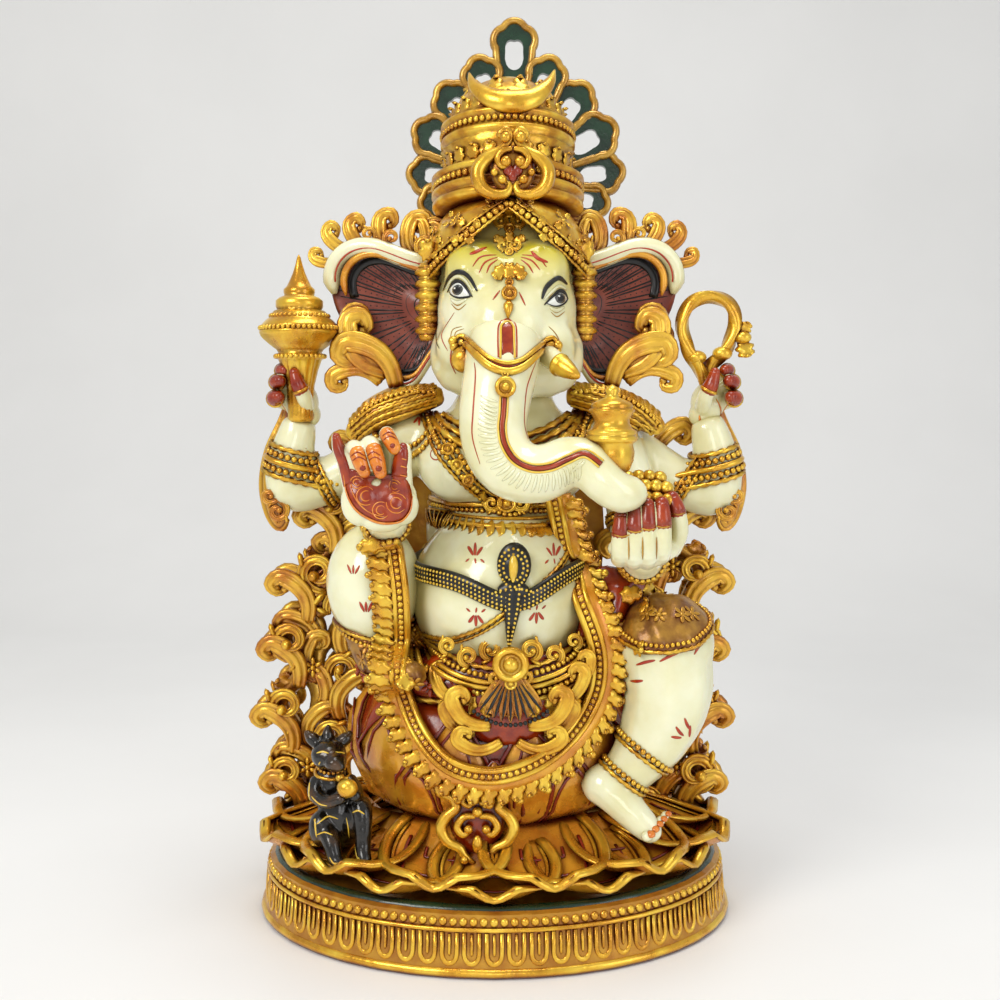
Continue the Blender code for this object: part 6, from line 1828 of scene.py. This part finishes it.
# %% Garland
garland_skin = skin_of(nodes["garland"])
route = smooth_path([(30, 214), (33, 200), (37, 180), (45, 160), (51, 142), (51, 122), (42, 104), (26, 91), (8, 84), (-8, 83),
                     (-24, 88), (-37, 101), (-45, 118), (-47, 134), (-46, 150), (-46, 168), (-48, 184), (-50, 194)], 7)
line = []
for x, z in route:
    p = on_skin(garland_skin, body(x, -20, z))[0] + Vector((0, 1.5 * MM, 0))
    if x < -30 and z > 112:
        over = on_skin(lap_skin, body(x, -20, z))[0]
        p = Vector((body(x, 0, 0).x, min(p.y, over.y - 3.2 * MM), body(0, 0, z).z))
    line.append(p)
for _ in range(4):
    line = [line[0]] + [(line[i - 1] + line[i] * 2 + line[i + 1]) / 4 for i in range(1, len(line) - 1)] + [line[-1]]
outs, middle = [], body(0, 0, 150)
for i, p in enumerate(line):
    along = (line[min(i + 1, len(line) - 1)] - line[max(i - 1, 0)]).normalized()
    outs.append(along.cross(Vector((0, 1, 0))).normalized())
heap, ground = Heap(), Heap()
sweep(heap, [p - o * 4.6 * MM + Vector((0, -1.5, 0)) * MM for p, o in zip(line, outs)], 1.7 * MM, 8)
sweep(heap, [p + o * 0.6 * MM + Vector((0, -1.8, 0)) * MM for p, o in zip(line, outs)], 1.5 * MM, 8)
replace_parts(heap.made("garland_rails", "gold"), "garland")
sweep(ground, line, 6.4 * MM, 10, 0.35, Vector((0, -1, 0)))
ground.made("garland_ground", "amber")
beads("garland_beads", [[p - o * 2.0 * MM + Vector((0, -2.0, 0)) * MM for p, o in zip(line, outs)]], 1.6, 2.0)
lengths, travelled = [0.0], 0.0
for a, b in zip(line, line[1:]):
    travelled += (b - a).length
    lengths.append(travelled)
lappets, tips, count = [], [], 58
for k in range(count):
    want = travelled * (k + 0.5) / count
    i = max(j for j in range(len(lengths)) if lengths[j] <= want)
    i = min(i, len(line) - 2)
    p = line[i].lerp(line[i + 1], (want - lengths[i]) / (lengths[i + 1] - lengths[i]))
    lift = 3.0 if p.x < body(-40, 0, 0).x and p.z > body(0, 0, 125).z else 0.4
    lappets.append((p + outs[i] * 1.5 * MM - Vector((0, lift, 0)) * MM, (0, -1, 0), outs[i] + (line[i + 1] - line[i]).normalized() * 0.55, (14.5, 10.5, 9)))
    if k % 2:
        tips.append((p + (outs[i] + (line[i + 1] - line[i]).normalized() * 0.3).normalized() * 12.4 * MM + Vector((0, 0.4, 0)) * MM))
ornaments("garland_lappets", LEAF, lappets, "gold")
ball = Heap()
blob(ball, (0, 0, 0), 0.5, rings=6, sides=8)
ornaments("garland_tips", ball, [(p, (0, -1, 0), (0, 0, 1), 4.2) for p in tips], "gold")

# %% Garland pendant
pendant_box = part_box("garland_pendant")
PX, PZ = (pendant_box[0].x + pendant_box[1].x) / 2, pendant_box[0].z


def pendant(x, z, out=0.0):
    """A place on the pendant: x from its middle and z from its foot, in mm."""
    return Vector((PX + x * MM, pendant_box[0].y + (3.5 - out) * MM + z * 0.14 * MM, PZ + z * MM))


heap, ground = Heap(), Heap()
for side in (-1, 1):
    for line_points, lift in (([(1, 40, 1.6), (7, 41.5, 2), (13, 42, 2.4), (18, 39.5, 2.5), (17.5, 34.5, 2.3), (12, 32, 2.4),
                                (10, 27.5, 2.6), (14.5, 23.5, 2.8), (17, 18, 2.8), (14, 12, 2.5), (8.5, 9, 2.2), (6, 5.5, 1.8),
                                (1.5, 2, 1.2)], 0.0),
                              ([(0.6, 34, 1.4), (5, 34.5, 1.7), (7, 31, 1.7), (4, 28.6, 1.5), (1.8, 30.4, 1.0)], 1.0),
                              ([(1, 24, 1.5), (6.4, 23.5, 1.9), (9.4, 19, 1.9), (6.6, 15.4, 1.7), (3.6, 17.6, 1.2)], 1.0)):
        path = smooth_path(line_points, 5)
        sweep(heap, [pendant(side * p[0], p[1], lift) for p in path], [p[2] * MM for p in path], 8, 1, Vector((0, -1, 0)))
    for x, z, r in ((18.5, 40, 2.5), (2.2, 30.4, 1.8), (4.2, 18, 2.2), (6, 4, 2)):
        blob(heap, pendant(side * x, z, 1.4), r * MM)
blob(heap, pendant(0, 26, 1.5), 2.6 * MM)
blob(heap, pendant(0, 11, 1.0), 3.0 * MM, (0.8, 0.7, 1.5))
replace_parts(heap.made("garland_pendant_scrolls", "gold"), "garland_pendant")
blob(ground, pendant(0, 22, -3.0), 15 * MM, (0.9, 0.16, 1.2))
ground.made("garland_pendant_ground", "henna")

# %% [markdown]
# ## Throne back
# Scrolling acanthus climbs each side of the throne in openwork, so that light shows through it.
# Behind the figure a solid panel carries the same scrolls in relief.

# %% Throne
THRONE_Y = 24
stems, throne_leaves, throne_flowers = Heap(), [], []
throne_scrolls, throne_plumes = {1: [], -1: []}, {1: [], -1: []}
random.seed(7)
SIDES = {
    -1: [(-106, -80, 44), (-110, -83, 62), (-110, -86, 80), (-110, -84, 98), (-106, -80, 116), (-107, -82, 133),
         (-101, -80, 151), (-92, -73, 169), (-86, -71, 187), (-84, -72, 205)],
    1: [(104, 78, 44), (106, 81, 62), (107, 83, 80), (108, 82, 98), (104, 79, 116), (108, 80, 134), (106, 79, 152),
        (104, 76, 170), (96, 74, 187), (90, 74, 203)],
}
for side, rows in SIDES.items():
    for column in (0, 1):
        wave = [(r[column] + (4 if i % 2 else -4) * side, THRONE_Y + (2 if column else -1), r[2]) for i, r in enumerate(rows)]
        path = smooth_path([(rows[0][column], THRONE_Y, 33)] + wave, 5)
        radii = [(5.0 - 1.6 * i / len(path)) * MM for i in range(len(path))]
        sweep(stems, [body(*p) for p in path], radii, 8, 1.2, Vector((0, -1, 0)))
    for i, (outer, inner, z) in enumerate(rows):
        for column, x in enumerate((outer, inner)):
            spin = side if (i + column) % 2 else -side
            size = (25 if column == 0 else 23) * random.uniform(0.92, 1.1)
            lean = random.uniform(-0.35, 0.35)
            along = Vector((side * (1 if column == 0 else -1) * 0.7, 0, 0.8 + lean))
            for face, y in ((-1, THRONE_Y - 5.5 + 1.5 * column), (1, THRONE_Y + 4.5)):
                if (i + column) % 2:
                    throne_scrolls[spin * -face].append((body(x, y, z), (0, face, 0), along, (size, size, size * 1.2)))
                else:
                    grow = Vector((side * (0.25 if column == 0 else -0.2), 0, 1))
                    throne_plumes[(1 if column else -1) * side * face].append((body(x - side * 2, y, z - 9), (0, face, 0), grow,
                                                                          (30, 33, 26)))
        middle_x = (outer + inner) / 2
        for face in (-1, 1):
            throne_plumes[face * (1 if i % 2 else -1)].append((body(middle_x, THRONE_Y + face * 2.5, z - 6), (0, face, 0),
                                                     (random.uniform(-0.6, 0.6), 0, 1), (26, 30, 22)))
            throne_leaves.append((body(outer - side * 3, THRONE_Y + face * 3, z + 6), (0, face, 0), (side * 0.8, 0, 0.6),
                                  (15, 14, 13)))
            if i % 3 == 1:
                throne_flowers.append((body(middle_x + side * 3, THRONE_Y + face * 7.5, z + 2), (0, face, 0), (0, 0, 1), 11))
for x, z, turn, size, spin in ((84, 222, (0.3, 1), 30, 1), (90, 212, (1, 0.2), 26, -1), (-70, 218, (-0.2, 1), 26, -1)):
    throne_plumes[spin].append((body(x, THRONE_Y - 4, z), (0, -1, 0), (turn[0], 0, turn[1]), (size, size, size * 0.8)))
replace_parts(stems.made("throne_stems", "antique"), "throne_back_right", "throne_back_left")
for side in (-1, 1):
    ornaments("throne_scrolls_" + ("a" if side < 0 else "b"), SCROLL[side], throne_scrolls[side], "carved")
    ornaments("throne_plumes_" + ("a" if side < 0 else "b"), PLUME[side], throne_plumes[side], "throne")
ornaments("throne_leaves", LEAF, throne_leaves, "amber")
ornaments("throne_flowers", FLOWER, throne_flowers, "gold")
nodes["throne_back_middle"].data.materials[0] = LOOKS["antique"][0]
panel_low, panel_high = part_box("throne_back_middle")
panel = {1: [], -1: []}
for k, (dx, dz, size) in enumerate(((14, -30, 30), (14, 2, 30), (13, 32, 26), (38, -22, 28), (38, 10, 28), (36, 36, 18))):
    for side in (-1, 1):
        place = Vector(((panel_low.x + panel_high.x) / 2 + side * dx * MM, panel_high.y, (panel_low.z + panel_high.z) / 2 + dz * MM))
        panel[side if k % 2 else -side].append((place, (0, 1, 0), (side * 0.6, 0, 0.8), size))
for side in (-1, 1):
    ornaments("back_panel_scrolls_" + ("a" if side < 0 else "b"), SCROLL[side], panel[side], "gold")
ornaments("back_panel_flowers", FLOWER, [(Vector(((panel_low.x + panel_high.x) / 2, panel_high.y, (panel_low.z + panel_high.z)
          / 2 + dz * MM)), (0, 1, 0), (0, 0, 1), 20) for dz in (-34, 0, 34)], "gold")
print("throne done")

# %% [markdown]
# ## Hands
# The hands are modelled finger by finger and joined like the body. Palms are stained with henna,
# the fingertips are lacquered, and the border of each palm is left in marble.

# %% Hands
def hand_of(name, palms, fingers, node):
    """A hand in marble from balls (centre, radii) and fingers of (x, y, z, radius) points; also its skin."""
    heap = Heap()
    for centre, radii in palms:
        blob(heap, body(*centre), MM, radii, rings=12, sides=18)
    for route in fingers:
        path = smooth_path(route, 4)
        sweep(heap, [body(*p[:3]) for p in path], [p[3] * MM for p in path], 12)
        for end in (path[0], path[-1]):
            blob(heap, body(*end[:3]), end[3] * MM)
    mesh = bpy.data.meshes.new(name)
    mesh.from_pydata(heap.points, [], heap.faces)
    piece = melted(name, mesh, 0.00065, 3, "ivory")
    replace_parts(piece, node)
    return skin_of(piece)


BLESSING = [
    [(-64, -75, 221, 4.0), (-66.4, -76, 231, 3.5), (-69.2, -77, 238, 2.9), (-70.4, -77.5, 243.2, 1.8)],
    [(-60, -76, 223, 4.3), (-62, -77, 233, 4.2), (-62, -80, 238, 3.9), (-60, -84, 237, 3.8), (-58, -86, 232, 3.6), (-56.6, -86, 228.5, 2.9)],
    [(-54, -76, 225, 4.4), (-55, -77, 235, 4.3), (-55, -80, 240, 4.0), (-53, -84, 238.4, 3.9), (-51, -86.2, 233, 3.7),
     (-49.6, -86, 228, 2.9)],
    [(-47, -76, 223, 4.4), (-46, -76.5, 234, 4.2), (-46.8, -78, 242.4, 3.9), (-47.2, -81, 244.6, 3.5), (-45.4, -83.5, 242, 3.4),
     (-43.4, -84.5, 238.6, 3.0)],
    [(-41, -77, 213, 5.4), (-40.5, -79, 222, 4.6), (-40.2, -81.5, 230, 4.0), (-39.3, -83, 235.6, 3.3), (-39, -83.3, 238.4, 2.4)],
]
bless_skin = hand_of("blessing_hand_marble", [((-51, -74, 215), (16.8, 7, 14)), ((-42, -76, 212), (8.5, 7, 9)),
                     ((-60, -76, 214), (8.6, 6.4, 11)), ((-50, -75, 206), (10, 6.8, 6))], BLESSING, "blessing_hand")
SWEETS = [
    [(56, -80, 189, 4.3), (55.4, -88, 193, 4.3), (55.4, -90, 201, 4.0), (55.8, -88.6, 208.4, 3.1)],
    [(62, -81, 188, 4.4), (61.2, -89, 192, 4.4), (61.2, -91, 203, 4.1), (61.6, -89, 212, 3.1)],
    [(68, -81, 188, 4.4), (67.4, -89, 192.4, 4.4), (66.9, -91, 204, 4.1), (66.8, -89, 213.6, 3.1)],
    [(74, -80, 190, 4.4), (73.6, -88, 194, 4.4), (73.3, -90, 205, 4.2), (73.2, -88, 214, 3.2)],
    [(80, -74, 193, 4.6), (82, -80, 201, 4.5), (80.6, -83, 210, 4.0), (78.6, -82, 216, 3.1)],
]
sweet_skin = hand_of("sweets_hand_marble", [((67, -77, 193), (16.4, 9.4, 7.4)), ((67, -80, 191), (12, 8.6, 6.4))], SWEETS,
                     "sweets_hand")


def grip(side, x, z):
    return ([((x, 3, z), (8.8, 8, 10.6)), ((x + side * 2, 4, z - 6), (7.6, 6.8, 7))], [
        [(x + 3 * side, -2, z - 2, 4.2), (x + 3 * side, -8, z + 3, 4.0), (x + 0.6 * side, -10.6, z + 9, 3.5), (x - 1.2 * side, -10.4, z + 15, 2.4)],
        [(x - 5 * side, 2, z - 1, 4.0), (x - 11 * side, 0, z + 1.4, 3.9), (x - 12.4 * side, -5, z + 2.4, 3.6), (x - 9.6 * side, -8.6, z + 3, 2.8)],
        [(x - 5 * side, 3, z + 6, 3.8), (x - 10.4 * side, 1.4, z + 9.6, 3.7), (x - 11.4 * side, -4, z + 10.6, 3.4), (x - 8.6 * side, -7.8, z + 11, 2.7)],
        [(x - 5 * side, 4, z + 11, 3.4), (x - 8.4 * side, 2.4, z + 15, 3.3), (x - 9 * side, -2.4, z + 16.4, 3.1), (x - 7 * side, -6, z + 16.4, 2.5)]])


mace_grip = grip(1, -98, 258)
noose_grip = grip(-1, 108, 258)
mace_hand_skin = hand_of("mace_hand_marble", *mace_grip, "mace_hand")
noose_hand_skin = hand_of("noose_hand_marble", *noose_grip, "noose_hand")

# %% Henna and nails
palm_edge = [(-66.6, 227), (-65.4, 219), (-61.6, 211.6), (-55.6, 206.8), (-48.6, 204.8), (-41.4, 205.8), (-37.2, 210.6),
             (-36.4, 217), (-38.2, 224), (-43, 227), (-50, 226), (-58, 227), (-63, 229)]
heap = Heap()
patch(heap, bless_skin, body, smooth_path(palm_edge, 3, True), 0.3, rings=8, lift=0.3)
heap.made("palm_henna", "henna")
swirls = []
for x, z, r in ((-43, 214, 4.4), (-56.6, 217, 4.0), (-50, 210.6, 3.8), (-60.6, 223, 2.8), (-43.6, 221.6, 2.8)):
    for k in (1.0, 0.55):
        swirls.append((0.8, [(x + r * k * math.cos(a), z + r * k * math.sin(a)) for a in (0.4 + 5.2 * i / 8 for i in range(9))]))
swirls += [(1.2, palm_edge[:8]), (0.8, [(-64, 225), (-62.6, 219), (-59, 213), (-54, 209), (-48, 207.4)])]
strokes("palm_relief", bless_skin, body, swirls, "orange", lift=0.45, flat=0.6)
strokes("palm_centre", bless_skin, body, [(5.0, [(-52.6, 224.6), (-51.4, 221.4)])], "ivory", lift=0.5)


def fingertip(heap, route, share, grow, shift=(0, 0, 0)):
    """A coat of lacquer over the end of a finger, from a share of its way on."""
    path = smooth_path(route, 5)
    keep = [(*(a + b for a, b in zip(p, shift)), p[3] + grow) for p in path[int(len(path) * share):]]
    sweep(heap, [body(*p[:3]) for p in keep], [p[3] * MM for p in keep], 12)
    for end in (keep[0], keep[-1]):
        blob(heap, body(*end[:3]), end[3] * MM)
    return keep


for name, routes, share, grow, shift, paint in (
        ("pinky_henna", BLESSING[:1], 0.1, 0.05, (0.5, -0.7, 0), "henna"),
        ("thumb_henna", BLESSING[4:], 0.42, 0.05, (-0.9, -0.8, 0), "henna"),
        ("finger_pads", BLESSING[1:4], 0.62, 0.0, (0, -0.7, -0.2), "orange"),
        ("sweets_hand_red_tips", SWEETS, 0.64, 0.25, (0, 0, 0), "henna")):
    heap = Heap()
    for route in routes:
        fingertip(heap, route, share, grow, shift)
    heap.made(name, paint)
pad_dots = [(2.8, [(-57.4, 231), (-56.8, 228.8)]), (2.8, [(-50.4, 231), (-49.8, 228.6)]), (2.4, [(-44.6, 240.4), (-43.6, 238.8)])]
pad_arcs = [(0.6, [(x - 2.6, z), (x, z + 1.6), (x + 2.6, z)]) for x, z in (
    (-58.6, 233), (-59.2, 235), (-51.6, 233), (-52.2, 235.2), (-45.2, 242), (-45.8, 243.6))]
strokes("finger_pad_marks", bless_skin, body, pad_dots + pad_arcs, "henna", lift=0.75)
strokes("thumb_bands", bless_skin, body, [(0.8, [(-44.4, z), (-41.4, z + 0.8), (-38.4, z)]) for z in (226, 230, 233.4)],
        "orange", lift=0.9)
joints = [(0.8, [(x - 3.4, z), (x, z - 0.8), (x + 3.4, z)]) for (x, _, z, _) in (route[2] for route in SWEETS)]
strokes("sweets_hand_tip_lines", sweet_skin, body, joints + [(0.7, [(x, 200), (x + 0.4, 190)]) for x in (58.4, 64.4, 70.4)],
        "antique", lift=0.3)
for name, (palms, fingers), skin, side in (("mace", mace_grip, mace_hand_skin, 1), ("noose", noose_grip, noose_hand_skin, -1)):
    heap, rings = Heap(), Heap()
    for route in fingers:
        keep = fingertip(heap, route, 0.5, 0.28)
        p, q, wide = Vector(keep[0][:3]), Vector(keep[2][:3]), (keep[0][3] + 0.62) * MM
        lathe(rings, body(*p), (q - p), [(3 * MM, -0.9 * MM), (wide, -0.6 * MM), (wide, 0.6 * MM), (3 * MM, 0.9 * MM)], 16)
    heap.made(name + "_hand_henna", "henna")
    rings.made(name + "_hand_rings", "gold")
    x, z = (-98, 258) if side > 0 else (108, 258)
    strokes(name + "_hand_lines", skin, body, [(1.0, [(x - side * 5, z - 10), (x - side * 6, z - 4), (x - side * 3, z + 2)]),
            (1.4, [(x + side * 4, z - 12), (x + side * 5, z - 6)])], "orange", lift=0.1)

# %% [markdown]
# ## What the hands hold
# A fluted mace, a noose of twisted cord, a lidded pot in the trunk and a heap of sweets.

# %% Mace, noose, pot and sweets
MACE = region["mace"](-98, -2, 274)
heap = Heap()
mace_profile = [(0.2, -26), (5.6, -26), (6.6, -24), (6.4, -20), (7, -8), (9, 0), (10.8, 5), (12.4, 6), (12.4, 7.6), (10.8, 8.6), (11.6, 10),
                (15, 12.6), (18.4, 15.6), (19.6, 17.2), (20.2, 18.8), (19.6, 20), (18.8, 20.4), (19.4, 21.4), (18.8, 22.6), (16.6, 25),
                (15, 26), (14.4, 27.6), (12.6, 29.4), (11, 30), (11.8, 31.4), (11.8, 34.4), (10, 36), (7.4, 37), (7.8, 38.6), (7.8, 40),
                (6.2, 41.6), (5, 44), (3.2, 48), (1.9, 52), (0.9, 56), (0.1, 57.4)]
lathe(heap, MACE, (0, 0, 1), [(r * MM, h * MM) for r, h in mace_profile], 56,
      lambda i, t: 1 - (0.10 * (0.5 + 0.5 * math.cos(14 * t)) if i in (3, 4, 5, 6) else 0.07 * (0.5 + 0.5 * math.cos(28 * t))
                        if i in (10, 11, 12, 13, 22, 23) else 0))
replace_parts(heap.made("mace_turned", "gold"), "mace")
beads("mace_beads", [[MACE + Vector((r * math.sin(a), -r * math.cos(a), h)) * MM for a in (2 * math.pi * k / 48 for k in range(48))]
                     for r, h in ((19.6, 20.8), (14.2, 26.8), (12.2, 6.8))], 1.3, 2.0, True)
noose = region["noose"]
loop = smooth_path([(105, -2, 268), (102, -3, 277), (96.5, -3, 285), (93.4, -2, 296), (98, -2, 307.6), (107, -2, 312), (116.6, -2, 307.6),
                    (120.4, -2, 297), (116, -2, 286), (109, 1.4, 277), (106, 2, 268)], 8)
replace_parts(rope("noose_cord", [[noose(*p) for p in loop]], 4.1, 0.55), "noose")
heap = Heap()
for axis_x, profile in ((107, [(0.2, 309), (5, 310), (7, 312.4), (6.2, 314.6), (4.4, 315.4), (5.6, 316.6), (5, 318.6), (3.4, 320), (2.4, 322.6),
                               (1, 325.6), (0.1, 327)]),
                        (107, [(0.2, 252), (4.6, 252), (5.2, 262), (7.4, 264), (7.8, 266.6), (6.4, 268.6), (7, 270.4), (6, 272), (0.2, 272.4)])):
    lathe(heap, noose(axis_x, -1, 0), (0, 0, 1), [(r * MM, (z - 0) * noose.scale[2] * MM) for r, z in profile], 24)
for x, z, r in ((101, 281, 5.2), (114, 283, 5.2), (124, 291, 4.6)):
    blob(heap, noose(x, -2.5, z), r * MM, (1, 0.9, 0.7))
heap.made("noose_fittings", "gold")
ornaments("noose_tassel", LEAF, [(noose(124, -3, 289), (0, -1, 0), (0.3, 0, -1), (11, 14, 12)),
                                 (noose(124, -3, 293), (0, -1, 0), (0.4, 0, 1), (8, 10, 9))], "gold")
POT = region["pot"](51.5, -86, 242)
heap = Heap()
lathe(heap, POT, (0, 0, 1), [(r * MM, h * MM) for r, h in (
    (0.2, -16), (5, -15.6), (7.8, -13), (9.4, -9), (9.8, -5), (9.2, -1.8), (10.4, -0.8), (11.4, 0), (11.4, 1.4), (10.4, 2), (11, 2.8), (11, 4),
    (9, 5), (7.8, 7), (7.7, 9), (9.2, 11.4), (10, 12.4), (10, 13.4), (8.6, 14), (9.2, 14.8), (8.6, 16), (5.6, 17.6), (3, 18.6), (2.4, 20),
    (3.2, 21.4), (2.2, 23), (0.1, 24.4))], 32, lambda i, t: 1 + (0.03 * math.cos(10 * t) if i in (2, 3, 4) else 0))
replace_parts(heap.made("pot_turned", "gold"), "pot", "pot_lid")
heap = Heap()
blob(heap, body(67, -77, 206), 1 * MM, (12.6, 8, 8.6), rings=10, sides=16)
for row, (z, y, count, r) in enumerate(((216, -83, 5, 3.4), (221, -79, 5, 3.5), (225, -74, 4, 3.4))):
    for k in range(count):
        blob(heap, body(67 + (k - (count - 1) / 2) * 4.7, y, z - 0.25 * (k - (count - 1) / 2) ** 2), r * MM, rings=7, sides=10)
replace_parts(heap.made("sweets_heap", "gold"), "sweets")

# %% Scarf ends
DRAPE = [(2, 8, 262, 3.2), (6, 8, 248, 4.6), (12, 7, 232, 5.8), (14, 6, 216, 6.4), (12, 6, 203, 6.2), (9, 5, 196, 4.6), (6, 3, 199, 3.0)]
heap = Heap()
drape_scrolls = {1: [], -1: []}
for side, x in ((-1, -101), (1, 109)):
    path = smooth_path([(x + p[0] * side, *p[1:]) for p in DRAPE], 6)
    sweep(heap, [body(*p[:3]) for p in path], [p[3] * MM for p in path], out=Vector((side * 0.55, -1, 0)), section=[(u, v * 1.3) for u, v in RIBBED])
    for dx, z, size, along in ((9, 203, 14, (-0.5, -0.8)), (13, 211, 12, (0.3, -1))):
        drape_scrolls[side].append((body(x + side * dx, -1.5, z), (0, -1, 0), (along[0] * side, 0, along[1]), size))
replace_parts(heap.made("scarf_ends", "throne"), "mace_arm_drape", "noose_arm_drape")
for side in (-1, 1):
    ornaments("scarf_end_curls_" + ("right" if side < 0 else "left"), SCROLL[side], drape_scrolls[side], "throne")
print("hands and what they hold done")

# %% [markdown]
# ## Mouse
# The mouse sits on the petals in black lacquer brushed with gold, with a gold collar, holding a sweet.

# %% Mouse
(mouse_low, mouse_high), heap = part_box("mouse"), Heap()
MOUSE_SCALE = (mouse_high.z - mouse_low.z) / (57 * MM)


def at_mouse(x, y, z):
    return Vector((mouse_low.x + (x + 90) * MM * MOUSE_SCALE, mouse_low.y + (y + 66) * MM * MOUSE_SCALE,
                   mouse_low.z + (z - 40) * MM * MOUSE_SCALE))


for centre, radii in (((-74, -46, 60), (11.6, 11, 16)), ((-78, -47, 76), (9.4, 9, 11)), ((-79, -50, 91), (8.6, 8.8, 7)),
                      ((-75, -57, 89.6), (5.4, 6.4, 4.4)), ((-72.6, -60, 88.6), (3, 3.2, 2.8)), ((-66, -52, 60), (7, 8, 9.4)),
                      ((-82, -52, 56), (7, 7.6, 9))):
    blob(heap, at_mouse(*centre), MM * MOUSE_SCALE, radii, rings=12, sides=16)
for route in ([(-66, -50, 66, 5.6), (-63, -56, 67, 5.2), (-62, -59, 58, 4.4), (-62, -61, 50, 3.8), (-61, -64, 45, 3.6)],
              [(-80, -54, 56, 5.4), (-77, -60, 52, 4.4), (-75, -63, 46, 3.8), (-73, -65, 44, 3.2)],
              [(-84, -50, 79, 4), (-85, -56, 74, 3.6), (-79, -61, 71.6, 3.2), (-72, -63.6, 74, 2.8)],
              [(-70, -50, 79, 4), (-65.4, -56, 75, 3.6), (-65, -62, 75, 3)],
              [(-84.6, -46, 95, 3.0), (-88, -45, 98, 3.2), (-90, -44.6, 100, 1.8)],
              [(-80, -46, 96, 3.0), (-80, -45, 100.4, 2.8), (-80, -44.6, 103, 1.4)],
              [(-74, -46, 96, 3.0), (-71, -45, 98, 3.2), (-69.6, -44.6, 99.6, 1.8)]):
    path = smooth_path(route, 4)
    sweep(heap, [at_mouse(*p[:3]) for p in path], [p[3] * MM * MOUSE_SCALE for p in path], 12)
    blob(heap, at_mouse(*path[-1][:3]), path[-1][3] * MM * MOUSE_SCALE)
mesh = bpy.data.meshes.new("mouse_shapes")
mesh.from_pydata(heap.points, [], heap.faces)
mouse = melted("mouse_lacquer", mesh, 0.0008, 3, "lacquer")
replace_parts(mouse, "mouse")
mouse_skin = skin_of(mouse)
ring_stack("mouse_collar", mouse_skin, at_mouse(-78.4, -48.5, 84), (0.05, -0.25, 1), [(-1.6, "rail", 1.0), (0.6, "beads", 1.1)], 20, 30)
heap = Heap()
blob(heap, at_mouse(-68.5, -65, 79.5), 5 * MM * MOUSE_SCALE, (1, 0.85, 0.9), rings=10, sides=14)
blob(heap, at_mouse(-72.6, -59, 82.6), 2.2 * MM * MOUSE_SCALE)
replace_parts(heap.made("mouse_sweet_ball", "gold"), "mouse_sweet")


def mouse_carry(x, y, z):
    return at_mouse(x, y, z)


strokes("mouse_gold_brushing", mouse_skin, mouse_carry, [
    (0.9, [(-84, 93.6), (-81, 94.6), (-78, 94)]), (0.9, [(-75, 94.4), (-72.6, 93.6), (-71, 92.4)]), (0.7, [(-82, 90), (-83, 88)]),
    (0.9, [(-86, 74), (-82, 71.4), (-78, 71)]), (0.9, [(-84, 60), (-79, 63), (-74, 62)]), (0.8, [(-84, 55), (-80, 57), (-76, 56)]),
    (0.9, [(-67, 66), (-64, 67.6), (-61, 66)]), (0.9, [(-64, 47), (-62, 45.4), (-60, 46)]), (0.9, [(-77, 47), (-75, 44.6), (-72, 45)]),
    (0.8, [(-70, 63), (-69, 58), (-69, 52)]), (1.4, [(-88, 84), (-87.4, 74), (-85.4, 64), (-84, 54)]), (0.7, [(-70, 91), (-69.6, 88.6)]),
    (0.8, [(-66, 52), (-64.6, 47), (-63, 45)])], "yellow", lift=0.05)
print("mouse done")
